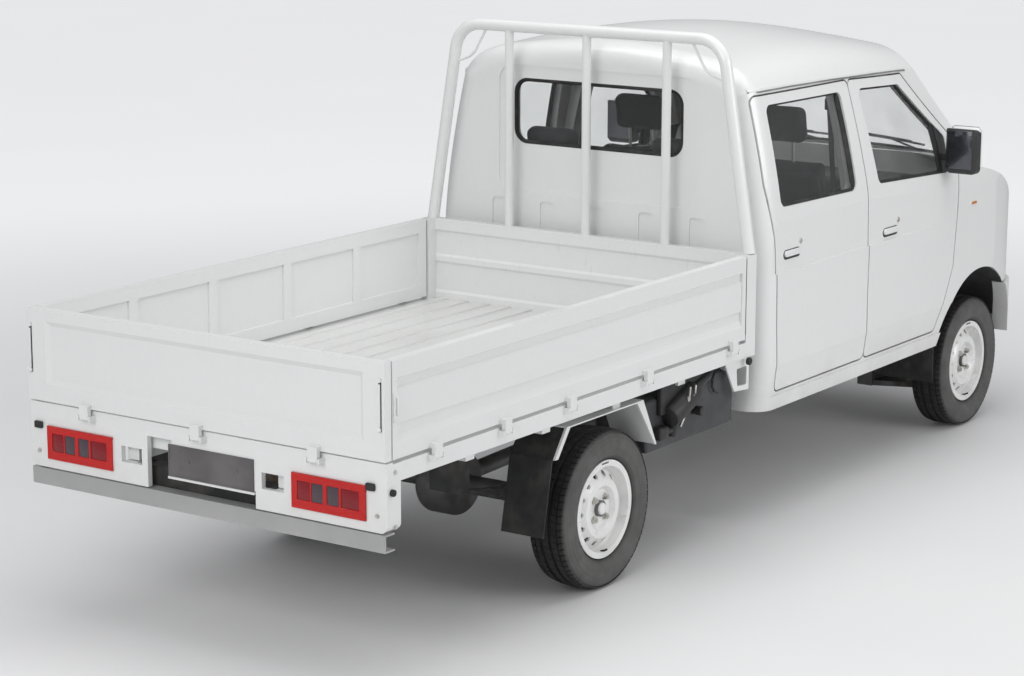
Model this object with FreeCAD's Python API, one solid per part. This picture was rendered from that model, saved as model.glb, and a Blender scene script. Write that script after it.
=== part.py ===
# Double-cab pickup truck with a flat drop-side bed, built as separate solids in millimetres.
# Stations run forward from the tailgate's rear face, and the whole part is moved at export
# so that its origin lies on the ground under the middle of its length.
import FreeCAD, Part
import math
import os

V = FreeCAD.Vector
AXIS_X = V(1, 0, 0)
AXIS_Y = V(0, 1, 0)
AXIS_Z = V(0, 0, 1)

# Driving dimensions
BED_LENGTH = 2360.0
BED_WIDTH = 1550.0
CAB_LENGTH = 2600.0
CAB_WIDTH = 1580.0
CAB_TOP = 1900.0
SILL_BOTTOM = 460.0
WHEELBASE = 3050.0
REAR_OVERHANG = 1410.0
CAB_GAP = 60.0
OVERRUN = 60.0
RUN_GAP = 0.05
SEAT_GAP = 0.3
HALF_STEP_SHARE = 0.5

HALF_BED = BED_WIDTH / 2
HALF_CAB = CAB_WIDTH / 2
CAB_REAR = BED_LENGTH + CAB_GAP
NOSE_TIP = CAB_REAR + CAB_LENGTH
CAB_HEIGHT = CAB_TOP - SILL_BOTTOM
REAR_AXLE_X = REAR_OVERHANG
FRONT_AXLE_X = REAR_AXLE_X + WHEELBASE

# Wheels and tyres, 13 inch
TYRE_RADIUS = 296.0
TYRE_WIDTH = 165.0
SHOULDER_DROP = 14.0
SHOULDER_IN = 10.0
CROWN_DROP = 3.0
CROWN_IN = 26.0
CROWN_SHARE = 0.3
TRACK = 1270.0
FLANGE_RADIUS = 182.0
RIM_WIDTH = 130.0
RIM_WALL = 6.0
FLANGE_LIP = 8.0
RIM_WELL_RADIUS = 158.0
DISC_THICKNESS = 6.0
DISC_INSET = 26.0
HUB_RADIUS = 30.0
HUB_CAP_LENGTH = 12.0
DISC_CREST = 17.0
DISC_FOOT_SHARE = 0.16
SEAT_RADIUS = 74.0
CREST_INNER = 88.0
CREST_OUTER = 106.0
WELL_SHARES = (-0.55, -0.35, 0.25, 0.45)
VENT_RADIUS = 11.0
VENT_COUNT = 14
VENT_CIRCLE = 128.0
BOLT_CIRCLE = 52.0
BOLT_HOLE_RADIUS = 6.5
BOLT_COUNT = 4
WHEEL_Y = TRACK / 2

# Wheel arches
ARCH_RADIUS = 420.0
ARCH_BACK = 90.0
ARCH_UP = 34.0
ARCH_WALL = 25.0
ARCH_INNER_Y = 385.0

# Cab shell
SIDE_WALL = 55.0
FRAME_WALL = 42.0
ROOF_WALL = 32.0
FLOOR_WALL = 45.0
REAR_WALL = 45.0
SCREEN_WALL = 55.0
SKIN_WALL = 25.0
REAR_CORNER = 90.0
DOOR_GAP = 8.0
GLASS_DEPTH = 15.0
GLASS_THICKNESS = 5.0
SCREEN_DEPTH = 14.0
SCREEN_THICKNESS = 7.0
BOW_CENTRE = CAB_REAR + 780.0
FIREWALL_X = FRONT_AXLE_X - 30.0
DASH_TOP = 1130.0

# Bed
GATE_THICKNESS = 34.0
GATE_HEIGHT = 323.0
GATE_TOP = 1105.0
GATE_BOTTOM = GATE_TOP - GATE_HEIGHT
GATE_GAP = 7.0
HINGE_Z = 752.0
HINGE_OUT = 15.0
FLOOR_TOP = 769.0
DECK_THICKNESS = 14.0
DECK_MEMBER = 80.0
RAIL_FACE_BOTTOM = 708.0
POST_LENGTH = 72.0
POST_WIDTH = 44.0
HEADBOARD_THICKNESS = 30.0

# Ladder frame
RAIL_Y = 330.0
RAIL_WIDTH = 50.0
RAIL_HEIGHT = 100.0
RAIL_REAR_TOP = 620.0
RAIL_FRONT_TOP = SILL_BOTTOM
RAIL_REAR_END = 60.0
RAIL_DROP_START = 1960.0
RAIL_DROP_END = 2260.0
RAIL_FRONT_END = 4870.0


def box(x0, x1, y0, y1, z0, z1):
    return Part.makeBox(x1 - x0, y1 - y0, z1 - z0, V(x0, y0, z0))


def mirror_y(shape):
    return shape.mirror(V(0, 0, 0), AXIS_Y)


def join(shapes):
    first = shapes[0]
    if len(shapes) == 1:
        return first
    return first.fuse(shapes[1:]).removeSplitter()


def spline(points):
    curve = Part.BSplineCurve()
    curve.interpolate(points)
    return curve.toShape()


def rounded_wire(points, radius):
    # A closed outline of straight runs with an arc of the given radius at each corner.
    edges = []
    count = len(points)
    starts = []
    ends = []
    mids = []
    for i in range(count):
        here = points[i]
        back = (points[i - 1] - here).normalize()
        ahead = (points[(i + 1) % count] - here).normalize()
        half = back.getAngle(ahead) / 2
        reach = radius / math.tan(half)
        bisector = (back + ahead).normalize()
        starts.append(here + back * reach)
        ends.append(here + ahead * reach)
        mids.append(here + bisector * (radius / math.sin(half) - radius))
    for i in range(count):
        edges.append(Part.Arc(starts[i], mids[i], ends[i]).toShape())
        edges.append(Part.makeLine(ends[i], starts[(i + 1) % count]))
    return Part.Wire(edges)


def side_prism(outline, y0, y1, radius=0, offset=0):
    # A solid from an outline of (station, height) pairs, extruded across the truck.
    points = [V(x, y0, z) for x, z in outline]
    if radius > 0:
        wire = rounded_wire(points, radius)
    else:
        wire = Part.makePolygon(points + [points[0]])
    if offset != 0:
        wire = wire.makeOffset2D(offset, 2)
    return Part.Face(wire).extrude(V(0, y1 - y0, 0))


def front_prism(outline, x0, x1, radius=0, offset=0):
    # A solid from an outline of (side, height) pairs, extruded along the truck.
    points = [V(x0, y, z) for y, z in outline]
    if radius > 0:
        wire = rounded_wire(points, radius)
    else:
        wire = Part.makePolygon(points + [points[0]])
    if offset != 0:
        wire = wire.makeOffset2D(offset, 2)
    return Part.Face(wire).extrude(V(x1 - x0, 0, 0))


def plan_prism(outline, z0, z1, radius=0):
    # A solid from an outline of (station, side) pairs, extruded upward.
    points = [V(x, y, z0) for x, y in outline]
    if radius > 0:
        wire = rounded_wire(points, radius)
    else:
        wire = Part.makePolygon(points + [points[0]])
    return Part.Face(wire).extrude(V(0, 0, z1 - z0))


def tube(points, radius, bend):
    # A round bar along straight runs with an arc at each corner.
    edges = []
    last = points[0]
    for i in range(1, len(points) - 1):
        here = points[i]
        back = (points[i - 1] - here).normalize()
        ahead = (points[i + 1] - here).normalize()
        half = back.getAngle(ahead) / 2
        reach = bend / math.tan(half)
        start = here + back * reach
        end = here + ahead * reach
        middle = here + (back + ahead).normalize() * (bend / math.sin(half) - bend)
        edges.append(Part.makeLine(last, start))
        edges.append(Part.Arc(start, middle, end).toShape())
        last = end
    edges.append(Part.makeLine(last, points[-1]))
    path = Part.Wire(edges)
    ring = Part.Wire(Part.makeCircle(radius, points[0], points[1] - points[0]))
    return path.makePipeShell([ring], True, False)


def along(share):
    return CAB_REAR + CAB_LENGTH * share


def up(share):
    return SILL_BOTTOM + CAB_HEIGHT * share


# Cab form: cross-sections lofted along the cab, each row a station, the roof's crown height,
# the drip rail's height and the drip rail's half width.
CAB_SECTION_SHARES = (
    (0.0, 0.974, 0.869, 0.861),
    (0.108, 0.993, 0.868, 0.865),
    (0.242, 1.0, 0.865, 0.863),
    (0.504, 0.957, 0.849, 0.829),
    (0.665, 0.906, 0.823, 0.778),
    (0.819, 0.847, 0.785, 0.722),
    (1.03, 0.764, 0.722, 0.658),
)
SIDE_SHARES = ((0.981, 0.0), (0.994, 0.042), (1.0, 0.236), (1.0, 0.389), (0.981, 0.528))
FRAME_BULGE_SHARE = 0.01
ROOF_SHARES = ((0.93, 0.35), (0.62, 0.78))


def cab_section(row, side_in, frame_in, roof_in):
    x = along(row[0])
    crown = up(row[1]) - roof_in
    drip = up(row[2]) - roof_in
    drip_y = HALF_CAB * row[3] - frame_in
    lower = [V(x, HALF_CAB * y - side_in, up(z)) for y, z in SIDE_SHARES]
    knee = lower[-1]
    middle = V(x, (knee.y + drip_y) / 2 + HALF_CAB * FRAME_BULGE_SHARE, (knee.z + drip) / 2)
    left = lower + [middle, V(x, drip_y, drip)]
    rise = crown - drip
    half_roof = [left[-1]] + [V(x, drip_y * y, drip + rise * z) for y, z in ROOF_SHARES]
    roof = half_roof + [V(x, 0, crown)] + [V(x, -p.y, p.z) for p in reversed(half_roof)]
    right = [V(x, -p.y, p.z) for p in reversed(left)]
    edges = [spline(left), spline(roof), spline(right), Part.makeLine(right[-1], left[0])]
    return Part.Wire(edges)


def cab_loft(side_in, frame_in, roof_in):
    wires = [cab_section(row, side_in, frame_in, roof_in) for row in CAB_SECTION_SHARES]
    return Part.makeLoft(wires, True, False)


# The nose, bonnet and windscreen, seen from the side on the centre line, from the bumper up.
NOSE_SHARES = (
    (1.0, 0.02), (0.996, 0.14), (0.985, 0.29), (0.968, 0.385), (0.938, 0.442), (0.888, 0.49), (0.840, 0.514),
)
SCREEN_SHARES = ((0.840, 0.514), (0.771, 0.643), (0.722, 0.742), (0.660, 0.868), (0.560, 1.04))


def inset_profile(points, back):
    # Moves each point of a profile that runs upward by the given distance, square to the run.
    moved = []
    for i, here in enumerate(points):
        run = points[min(i + 1, len(points) - 1)] - points[max(i - 1, 0)]
        moved.append(here - V(run.z, 0, -run.x).normalize() * back)
    return moved


def front_limit(back):
    # The nose and screen turned about an upright axis, so that they bow across the cab.
    shares = NOSE_SHARES + SCREEN_SHARES[1:]
    profile = inset_profile([V(along(x), 0, up(z)) for x, z in shares], back)
    nose = profile[:len(NOSE_SHARES)]
    screen = profile[len(NOSE_SHARES) - 1:]
    low = V(nose[0].x, 0, SILL_BOTTOM - CAB_HEIGHT / 2)
    edges = [Part.makeLine(V(BOW_CENTRE, 0, low.z), low), Part.makeLine(low, nose[0])]
    edges += [spline(nose), spline(screen)]
    edges.append(Part.makeLine(screen[-1], V(BOW_CENTRE, 0, screen[-1].z)))
    edges.append(Part.makeLine(V(BOW_CENTRE, 0, screen[-1].z), V(BOW_CENTRE, 0, low.z)))
    face = Part.Face(Part.Wire(edges))
    turned = face.revolve(V(BOW_CENTRE, 0, 0), AXIS_Z, 360)
    rear = box(CAB_REAR - OVERRUN, BOW_CENTRE, -CAB_WIDTH, CAB_WIDTH, low.z, screen[-1].z)
    return turned.fuse(rear)


def even_loft(inset):
    return cab_loft(inset, inset, inset)


# The nose in plan: (station share, half width share).
CORNER_SHARES = (
    (0.765, 1.02), (0.838, 0.985), (0.900, 0.935), (0.946, 0.835), (0.977, 0.65), (0.994, 0.36), (1.003, 0.0),
)
CORNER_SLANT_SHARE = 0.6


def corner_limit(back):
    low = SILL_BOTTOM - CAB_HEIGHT / 2
    half = [V(along(x) - back * CORNER_SLANT_SHARE, HALF_CAB * y - back, low) for x, y in CORNER_SHARES]
    tip = half.pop()
    tip.y = 0
    right = [V(p.x, -p.y, p.z) for p in half]
    curve = spline(half + [tip] + list(reversed(right)))
    rear_x = CAB_REAR - OVERRUN
    wide = CAB_WIDTH
    start = half[0]
    edges = [curve]
    outer = [right[0], V(start.x, -wide, start.z), V(rear_x, -wide, start.z)]
    outer += [V(rear_x, wide, start.z), V(start.x, wide, start.z), start]
    for i in range(len(outer) - 1):
        edges.append(Part.makeLine(outer[i], outer[i + 1]))
    return Part.Face(Part.Wire(edges)).extrude(V(0, 0, CAB_HEIGHT * 2))


def nose_limit(back):
    return front_limit(back).common(corner_limit(back))


# Pressed lines: a ledge at the waist that fades out forward, and a fold that runs in to the sill.
WAIST_Z = 1006.0
WAIST_STEP = 7.0
WAIST_TOP_Z = 1215.0
WAIST_TOP_SHARE = 0.9835
WAIST_FADE_SHARES = ((-0.03, 1.0), (0.30, 1.0), (0.50, 0.6), (0.62, -0.3))
FOLD_Z = 636.0
FOLD_SHARE = 1.0008
SILL_LEDGE_Z = 516.0
SILL_STEP = 14.0
SILL_SPAN_SHARES = (-0.03, 0.75)
PRESS_REACH = 40.0
BACK_WINDOW_CORNER = 62.0
BACK_PANEL_DEPTH = 5.0
BACK_PANEL_HALF = 470.0
BACK_PANEL_BOTTOM = 1238.0
BACK_PANEL_TOP = 1752.0
BACK_RIB_COUNT = 5
BACK_RIB_HALF = 34.0
BACK_RIB_BOTTOM = 860.0
BACK_RIB_TOP = 1205.0


def side_presses():
    far = HALF_CAB + PRESS_REACH
    waist_wires = []
    for share, depth in WAIST_FADE_SHARES:
        x = along(share)
        low = V(x, HALF_CAB - WAIST_STEP * depth, WAIST_Z)
        high = V(x, HALF_CAB * WAIST_TOP_SHARE + WAIST_STEP * (1 - depth), WAIST_TOP_Z)
        ring = [low, V(x, far, WAIST_Z), V(x, far, WAIST_TOP_Z), high, low]
        waist_wires.append(Part.makePolygon(ring))
    waist = Part.makeLoft(waist_wires, True, True)
    x0, x1 = [along(share) for share in SILL_SPAN_SHARES]
    fold = [V(x0, HALF_CAB * FOLD_SHARE, FOLD_Z), V(x0, far, FOLD_Z), V(x0, far, SILL_LEDGE_Z)]
    fold.append(V(x0, HALF_CAB - SILL_STEP, SILL_LEDGE_Z))
    sill = Part.Face(Part.makePolygon(fold + [fold[0]])).extrude(V(x1 - x0, 0, 0))
    return [waist, sill]


def rear_presses():
    half = BACK_PANEL_HALF
    x0 = CAB_REAR - OVERRUN
    x1 = CAB_REAR + BACK_PANEL_DEPTH
    corners = [(half, BACK_PANEL_BOTTOM), (half, BACK_PANEL_TOP)]
    corners += [(-half, BACK_PANEL_TOP), (-half, BACK_PANEL_BOTTOM)]
    presses = [front_prism(corners, x0, x1, BACK_WINDOW_CORNER)]
    for i in range(BACK_RIB_COUNT):
        y = -half + half * 2 * i / (BACK_RIB_COUNT - 1)
        rib = [(y + BACK_RIB_HALF, BACK_RIB_BOTTOM), (y + BACK_RIB_HALF, BACK_RIB_TOP)]
        rib += [(y - BACK_RIB_HALF, BACK_RIB_TOP), (y - BACK_RIB_HALF, BACK_RIB_BOTTOM)]
        presses.append(front_prism(rib, x0, x1, BACK_RIB_HALF / 2))
    return presses


def cab_form():
    loft = cab_loft(0, 0, 0)
    rear_edges = []
    for edge in loft.Edges:
        bounds = edge.BoundBox
        if bounds.XMax < CAB_REAR + OVERRUN and bounds.ZMax > SILL_BOTTOM + OVERRUN:
            rear_edges.append(edge)
    rounded = loft.makeFillet(REAR_CORNER, rear_edges)
    presses = side_presses()
    presses += [mirror_y(press) for press in presses] + rear_presses()
    return rounded.common(nose_limit(0)).cut(presses)


# Openings in the cab's side, as (station, height) shares of the cab.
DOOR_BOTTOM_SHARE = 0.050
SHUT_LINE_SHARES = ((0.326, DOOR_BOTTOM_SHARE), (0.331, 0.540), (0.314, 0.853))
FRONT_DOOR_SHARES = SHUT_LINE_SHARES + (
    (0.520, 0.836), (0.656, 0.630), (0.658, 0.514), (0.640, 0.236), (0.604, 0.125),
    (0.580, DOOR_BOTTOM_SHARE),
)
REAR_DOOR_SHARES = (
    (0.035, DOOR_BOTTOM_SHARE), (0.029, 0.445), (0.016, 0.620), (0.014, 0.857),
) + SHUT_LINE_SHARES[::-1]
FRONT_WINDOW_SHARES = ((0.371, 0.547), (0.345, 0.822), (0.500, 0.808), (0.634, 0.630), (0.624, 0.526))
REAR_WINDOW_SHARES = ((0.052, 0.554), (0.046, 0.828), (0.285, 0.824), (0.296, 0.546))
DOOR_CORNER = 30.0
DOOR_REACH_Y = 450.0
WINDOW_CORNER = 34.0
DOOR_SHARES = {"front": FRONT_DOOR_SHARES, "rear": REAR_DOOR_SHARES}
WINDOW_SHARES = {"front": FRONT_WINDOW_SHARES, "rear": REAR_WINDOW_SHARES}
SCREEN_OPENING_SHARES = ((0.80, 0.535), (0.655, 0.852), (-0.655, 0.852), (-0.80, 0.535))
SCREEN_CORNER = 60.0
BACK_WINDOW_HALF = 400.0
BACK_WINDOW_BOTTOM = 1435.0
BACK_WINDOW_TOP = 1702.0
BONNET_SHARES = ((0.846, 0.70), (0.975, 0.70), (0.975, -0.70), (0.846, -0.70))
BONNET_BOTTOM = 905.0
BONNET_GAP = 9.0
BONNET_CORNER = 60.0


def outline(shares):
    return [(along(x), up(z)) for x, z in shares]


def left_prism(shares, radius, offset=0):
    return side_prism(outline(shares), DOOR_REACH_Y, CAB_WIDTH, radius, offset)


def screen_prism(offset=0):
    points = [(HALF_CAB * y, up(z)) for y, z in SCREEN_OPENING_SHARES]
    return front_prism(points, BOW_CENTRE, NOSE_TIP, SCREEN_CORNER, offset)


def back_window_prism(offset=0):
    half = BACK_WINDOW_HALF
    points = [(half, BACK_WINDOW_BOTTOM), (half, BACK_WINDOW_TOP)]
    points += [(-half, BACK_WINDOW_TOP), (-half, BACK_WINDOW_BOTTOM)]
    return front_prism(points, CAB_REAR - OVERRUN, CAB_REAR + REAR_WALL * 2, BACK_WINDOW_CORNER, offset)


def bonnet_prism(grow=0):
    x0 = along(BONNET_SHARES[0][0]) - grow
    x1 = along(BONNET_SHARES[1][0]) + grow
    half = HALF_CAB * BONNET_SHARES[0][1] + grow
    corners = [(x0, half), (x1, half), (x1, -half), (x0, -half)]
    return plan_prism(corners, BONNET_BOTTOM - grow, CAB_TOP, BONNET_CORNER)


def arch_cylinder(radius, inner_y, outer_y):
    centre = V(FRONT_AXLE_X - ARCH_BACK, inner_y, TYRE_RADIUS + ARCH_UP)
    return Part.makeCylinder(radius, outer_y - inner_y, centre, AXIS_Y)


# Seat plinth over the engine, inside the cabin
PLINTH_REAR = 3190.0
PLINTH_FRONT = 3760.0
PLINTH_TOP = 690.0
PLINTH_WALL = 20.0
FLOOR_TOP_Z = SILL_BOTTOM + FLOOR_WALL
TOE_X = 3900.0
TOE_TOP = 800.0
BAY_HALF = 350.0
BAY_TOP_HALF = 600.0
BAY_SHELF = 800.0
BAY_FRONT = NOSE_TIP - 110.0
LAMP_DEPTH = 60.0
LAMP_INNER_Y = 400.0
LAMP_KNEE_Y = 520.0
LAMP_SLANT = 30.0
LAMP_CORNER = 18.0
LAMP_REAR = NOSE_TIP - 200.0
LAMP_BOTTOM = 705.0
LAMP_TOP = 888.0
GRILLE_HALF = 380.0
GRILLE_BOTTOM = 790.0
GRILLE_TOP = 888.0
GRILLE_FRAME = 14.0
GRILLE_BARS = 3
BUMPER_BOTTOM = 385.0
BUMPER_TOP = 640.0
BUMPER_DEPTH = 45.0
BUMPER_PROUD = 14.0
INTAKE_HALF = 330.0
INTAKE_BOTTOM = 448.0
INTAKE_TOP = 530.0
INTAKE_DEPTH = 22.0
INTAKE_CORNER = 22.0
FOG_Y = 520.0
FOG_Z = 490.0
FOG_RADIUS = 42.0


def cabin_cavity():
    inner = cab_loft(SIDE_WALL, FRAME_WALL, ROOF_WALL)
    inner = inner.common(front_limit(SCREEN_WALL)).common(corner_limit(SIDE_WALL))
    side = [
        (CAB_REAR + REAR_WALL, FLOOR_TOP_Z), (TOE_X, FLOOR_TOP_Z), (FIREWALL_X, TOE_TOP),
        (FIREWALL_X, CAB_TOP), (CAB_REAR + REAR_WALL, CAB_TOP),
    ]
    cavity = inner.common(side_prism(side, -CAB_WIDTH, CAB_WIDTH))
    arch = arch_cylinder(ARCH_RADIUS + ARCH_WALL, ARCH_INNER_Y - ARCH_WALL, CAB_WIDTH)
    plinth = box(PLINTH_REAR, PLINTH_FRONT, -BAY_HALF, BAY_HALF, SILL_BOTTOM, PLINTH_TOP)
    return cavity.cut([arch, mirror_y(arch), plinth])


def bay_cavity():
    inner = even_loft(SKIN_WALL).common(nose_limit(SKIN_WALL))
    x0 = FIREWALL_X + SKIN_WALL
    low = box(x0, BAY_FRONT, -BAY_HALF, BAY_HALF, SILL_BOTTOM - OVERRUN, CAB_TOP)
    high = box(x0, BAY_FRONT + SKIN_WALL, -BAY_TOP_HALF, BAY_TOP_HALF, BAY_SHELF, CAB_TOP)
    return inner.common(low.fuse(high))


def engine_cavity():
    inset = PLINTH_WALL
    return box(
        PLINTH_REAR + inset, PLINTH_FRONT - inset, -BAY_HALF + inset, BAY_HALF - inset,
        SILL_BOTTOM - OVERRUN, PLINTH_TOP - inset,
    )


def lamp_region():
    outline = [(LAMP_INNER_Y, LAMP_BOTTOM + LAMP_SLANT), (LAMP_INNER_Y, LAMP_TOP - LAMP_SLANT / 2)]
    outline += [(LAMP_KNEE_Y, LAMP_TOP), (HALF_CAB + OVERRUN, LAMP_TOP)]
    outline += [(HALF_CAB + OVERRUN, LAMP_BOTTOM), (LAMP_KNEE_Y, LAMP_BOTTOM)]
    return front_prism(outline, LAMP_REAR, NOSE_TIP + OVERRUN, LAMP_CORNER)


def bumper_region(z0, z1):
    return box(FRONT_AXLE_X, NOSE_TIP + OVERRUN * 2, -CAB_WIDTH, CAB_WIDTH, z0, z1)


def bumper_intakes():
    half = INTAKE_HALF
    corners = [(half, INTAKE_BOTTOM), (half, INTAKE_TOP), (-half, INTAKE_TOP), (-half, INTAKE_BOTTOM)]
    x0 = NOSE_TIP - BUMPER_DEPTH * 4
    length = BUMPER_DEPTH * 6
    intake = front_prism(corners, x0, x0 + length, INTAKE_CORNER)
    fog = Part.makeCylinder(FOG_RADIUS, length, V(x0, FOG_Y, FOG_Z), AXIS_X)
    return [intake, fog, mirror_y(fog)]


# Hinges of the doors and the bonnet: a bent arm on the cab carries a pin that runs in the lid or door
PIN_SIZE = 3.0
PIN_DEPTH = 6.0
PIN_SETBACK = 8.0
PIN_END = 8.0
LUG_HALF = 14.0
LUG_CLEAR = 6.0
ARM_BACK = 4.5
ARM_AHEAD = 2.0
ARM_DROP = 38.0
ARM_LEG = 11.0
NOTCH_BACK = 12.0
FRONT_HINGE_X = 4087.0
REAR_HINGE_X = 3258.0
FRONT_HINGE_HEIGHTS = (930.0, 1040.0)
REAR_HINGE_HEIGHTS = (700.0, 970.0)
DOOR_PIN_Y = HALF_CAB - PIN_DEPTH
BONNET_PIN_Y = 150.0
BONNET_PIN_Z = 1186.0
BONNET_PIN_X = CAB_REAR + CAB_LENGTH * BONNET_SHARES[0][0] + PIN_SETBACK
PILLAR_HALF = 45.0
PILLAR_DEPTH = 42.0
PILLAR_GAP = 6.0


def door_hinges(x, heights):
    # The pins of one door, each with the room that it and its arm need in the door.
    pins = []
    spaces = []
    y = DOOR_PIN_Y
    for z in heights:
        notch_half = LUG_HALF + LUG_CLEAR
        pin_half = notch_half + PIN_END
        pins.append(Part.makeCylinder(PIN_SIZE, pin_half * 2, V(x, y, z - pin_half), AXIS_Z))
        outer_y = y + PIN_SIZE + RUN_GAP
        spaces.append(box(x - NOTCH_BACK, x + OVERRUN, DOOR_REACH_Y, outer_y, z - notch_half, z + notch_half))
        hole_half = pin_half + RUN_GAP
        spaces.append(Part.makeCylinder(PIN_SIZE + RUN_GAP, hole_half * 2, V(x, y, z - hole_half), AXIS_Z))
    return pins, spaces


def front_hinge_arms():
    arms = []
    x = FRONT_HINGE_X
    low = DOOR_PIN_Y - ARM_DROP
    for z in FRONT_HINGE_HEIGHTS:
        arms.append(box(x - ARM_BACK, x + ARM_AHEAD, low, DOOR_PIN_Y, z - LUG_HALF, z + LUG_HALF))
        arms.append(box(x - ARM_BACK, x + OVERRUN, low, low + ARM_LEG, z - LUG_HALF, z + LUG_HALF))
    return arms


def rear_hinge_arms():
    x = REAR_HINGE_X
    low = HALF_CAB - SIDE_WALL - PILLAR_GAP * 3
    return [
        box(x - ARM_BACK, x + ARM_AHEAD, low, DOOR_PIN_Y, z - LUG_HALF, z + LUG_HALF) for z in REAR_HINGE_HEIGHTS
    ]


def bonnet_hinges():
    arms = []
    spaces = []
    x = BONNET_PIN_X
    z = BONNET_PIN_Z
    low = z - ARM_DROP
    for y in (-BONNET_PIN_Y, BONNET_PIN_Y):
        arms.append(box(x - ARM_AHEAD, x + ARM_BACK, y - LUG_HALF, y + LUG_HALF, low, z))
        arms.append(box(x - OVERRUN, x + ARM_BACK, y - LUG_HALF, y + LUG_HALF, low, low + ARM_LEG))
        arms.append(box(x - OVERRUN, x - OVERRUN + SKIN_WALL, y - LUG_HALF, y + LUG_HALF, low, z))
        notch_half = LUG_HALF + LUG_CLEAR
        pin_half = notch_half + PIN_END
        arms.append(Part.makeCylinder(PIN_SIZE, pin_half * 2, V(x, y - pin_half, z), AXIS_Y))
        top = z + PIN_SIZE + RUN_GAP
        spaces.append(box(x - OVERRUN, x + NOTCH_BACK, y - notch_half, y + notch_half, z - OVERRUN, top))
        hole_half = pin_half + RUN_GAP
        spaces.append(Part.makeCylinder(PIN_SIZE + RUN_GAP, hole_half * 2, V(x, y - hole_half, z), AXIS_Y))
    return arms, spaces


def centre_pillar():
    # The post behind the line where the two doors of a side meet, with the arms of the rear door's hinges.
    out = PILLAR_GAP
    outer = cab_loft(SIDE_WALL + out, FRAME_WALL + out, ROOF_WALL - out)
    deep = out + PILLAR_DEPTH
    inner = cab_loft(SIDE_WALL + deep, FRAME_WALL + deep, ROOF_WALL + deep)
    x = along(SHUT_LINE_SHARES[1][0])
    band = box(x - PILLAR_HALF, x + PILLAR_HALF, DOOR_REACH_Y, CAB_WIDTH, FLOOR_TOP_Z - out, CAB_TOP)
    return join([outer.common(band).cut(inner)] + rear_hinge_arms())


def make_cab(form, inner_skin, bumper_core):
    shell = form.cut([cabin_cavity(), bay_cavity(), engine_cavity()])
    cuts = []
    for name in ("front", "rear"):
        door = left_prism(DOOR_SHARES[name], DOOR_CORNER, DOOR_GAP / 2)
        cuts += [door, mirror_y(door)]
    arch = arch_cylinder(ARCH_RADIUS, ARCH_INNER_Y, CAB_WIDTH)
    cuts += [arch, mirror_y(arch), screen_prism(), back_window_prism(), bonnet_prism(BONNET_GAP)]
    cuts.append(lamp_region().cut(inner_skin))
    cuts.append(mirror_y(lamp_region()).cut(inner_skin))
    grille = box(BAY_FRONT - OVERRUN, NOSE_TIP + OVERRUN, -GRILLE_HALF, GRILLE_HALF, GRILLE_BOTTOM, GRILLE_TOP)
    cuts.append(grille)
    cuts.append(bumper_region(SILL_BOTTOM - OVERRUN * 2, BUMPER_TOP).cut(bumper_core))
    shell = shell.cut(cuts)
    side_fittings = front_hinge_arms() + [centre_pillar()]
    side_fittings += door_hinges(FRONT_HINGE_X, FRONT_HINGE_HEIGHTS)[0]
    side_fittings += door_hinges(REAR_HINGE_X, REAR_HINGE_HEIGHTS)[0]
    fittings = side_fittings + [mirror_y(piece) for piece in side_fittings] + bonnet_hinges()[0]
    return shell.fuse(fittings)


def make_door(wall, name):
    door = wall.common(left_prism(DOOR_SHARES[name], DOOR_CORNER, -DOOR_GAP / 2))
    if name == "front":
        spaces = door_hinges(FRONT_HINGE_X, FRONT_HINGE_HEIGHTS)[1]
    else:
        spaces = door_hinges(REAR_HINGE_X, REAR_HINGE_HEIGHTS)[1]
    return door.cut([left_prism(WINDOW_SHARES[name], WINDOW_CORNER)] + spaces)


def make_glass(layer, name):
    glass = layer.common(left_prism(WINDOW_SHARES[name], WINDOW_CORNER, -SEAT_GAP))
    if name == "front":
        glass = glass.cut(sail_space(SEAT_GAP))
    return glass


def sail_space(gap):
    return box(SAIL_REAR - gap, FIREWALL_X, DOOR_REACH_Y, CAB_WIDTH, SILL_BOTTOM, CAB_TOP)


# Door mirror
SAIL_REAR = 3988.0
SAIL_DEPTH = 4.0
SAIL_THICKNESS = 22.0
MIRROR_X = 3994.0
MIRROR_ARM_X = 4010.0
MIRROR_Z = 1320.0
MIRROR_HEIGHT = 190.0
MIRROR_WIDTH = 140.0
MIRROR_DEPTH = 80.0
MIRROR_GAP_Y = 2.0
MIRROR_CORNER = 22.0
MIRROR_ARM = 28.0


def make_mirror():
    deep = SAIL_DEPTH + SAIL_THICKNESS
    layer = even_loft(SAIL_DEPTH).cut(even_loft(deep))
    sail = layer.common(left_prism(WINDOW_SHARES["front"], WINDOW_CORNER, -SEAT_GAP)).common(sail_space(0))
    inner_y = HALF_CAB + MIRROR_GAP_Y
    shell = box(
        MIRROR_X - MIRROR_DEPTH / 2, MIRROR_X + MIRROR_DEPTH / 2, inner_y, inner_y + MIRROR_WIDTH,
        MIRROR_Z - MIRROR_HEIGHT / 2, MIRROR_Z + MIRROR_HEIGHT / 2,
    )
    shell = shell.makeFillet(MIRROR_CORNER, shell.Edges)
    arm_z = MIRROR_Z - MIRROR_HEIGHT / 6
    arm = box(
        MIRROR_ARM_X - MIRROR_ARM / 2, MIRROR_ARM_X + MIRROR_ARM / 2, HALF_CAB - SIDE_WALL + SAIL_DEPTH,
        inner_y + MIRROR_CORNER, arm_z - MIRROR_ARM / 2, arm_z + MIRROR_ARM / 2,
    )
    return join([sail, shell, arm])


# Chassis frame
CROSS_SHARES = (0.0, 0.16, 0.36, 0.50, 0.86, 1.0)
CROSS_WIDTH = 60.0
CROSS_DEPTH = 70.0


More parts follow.
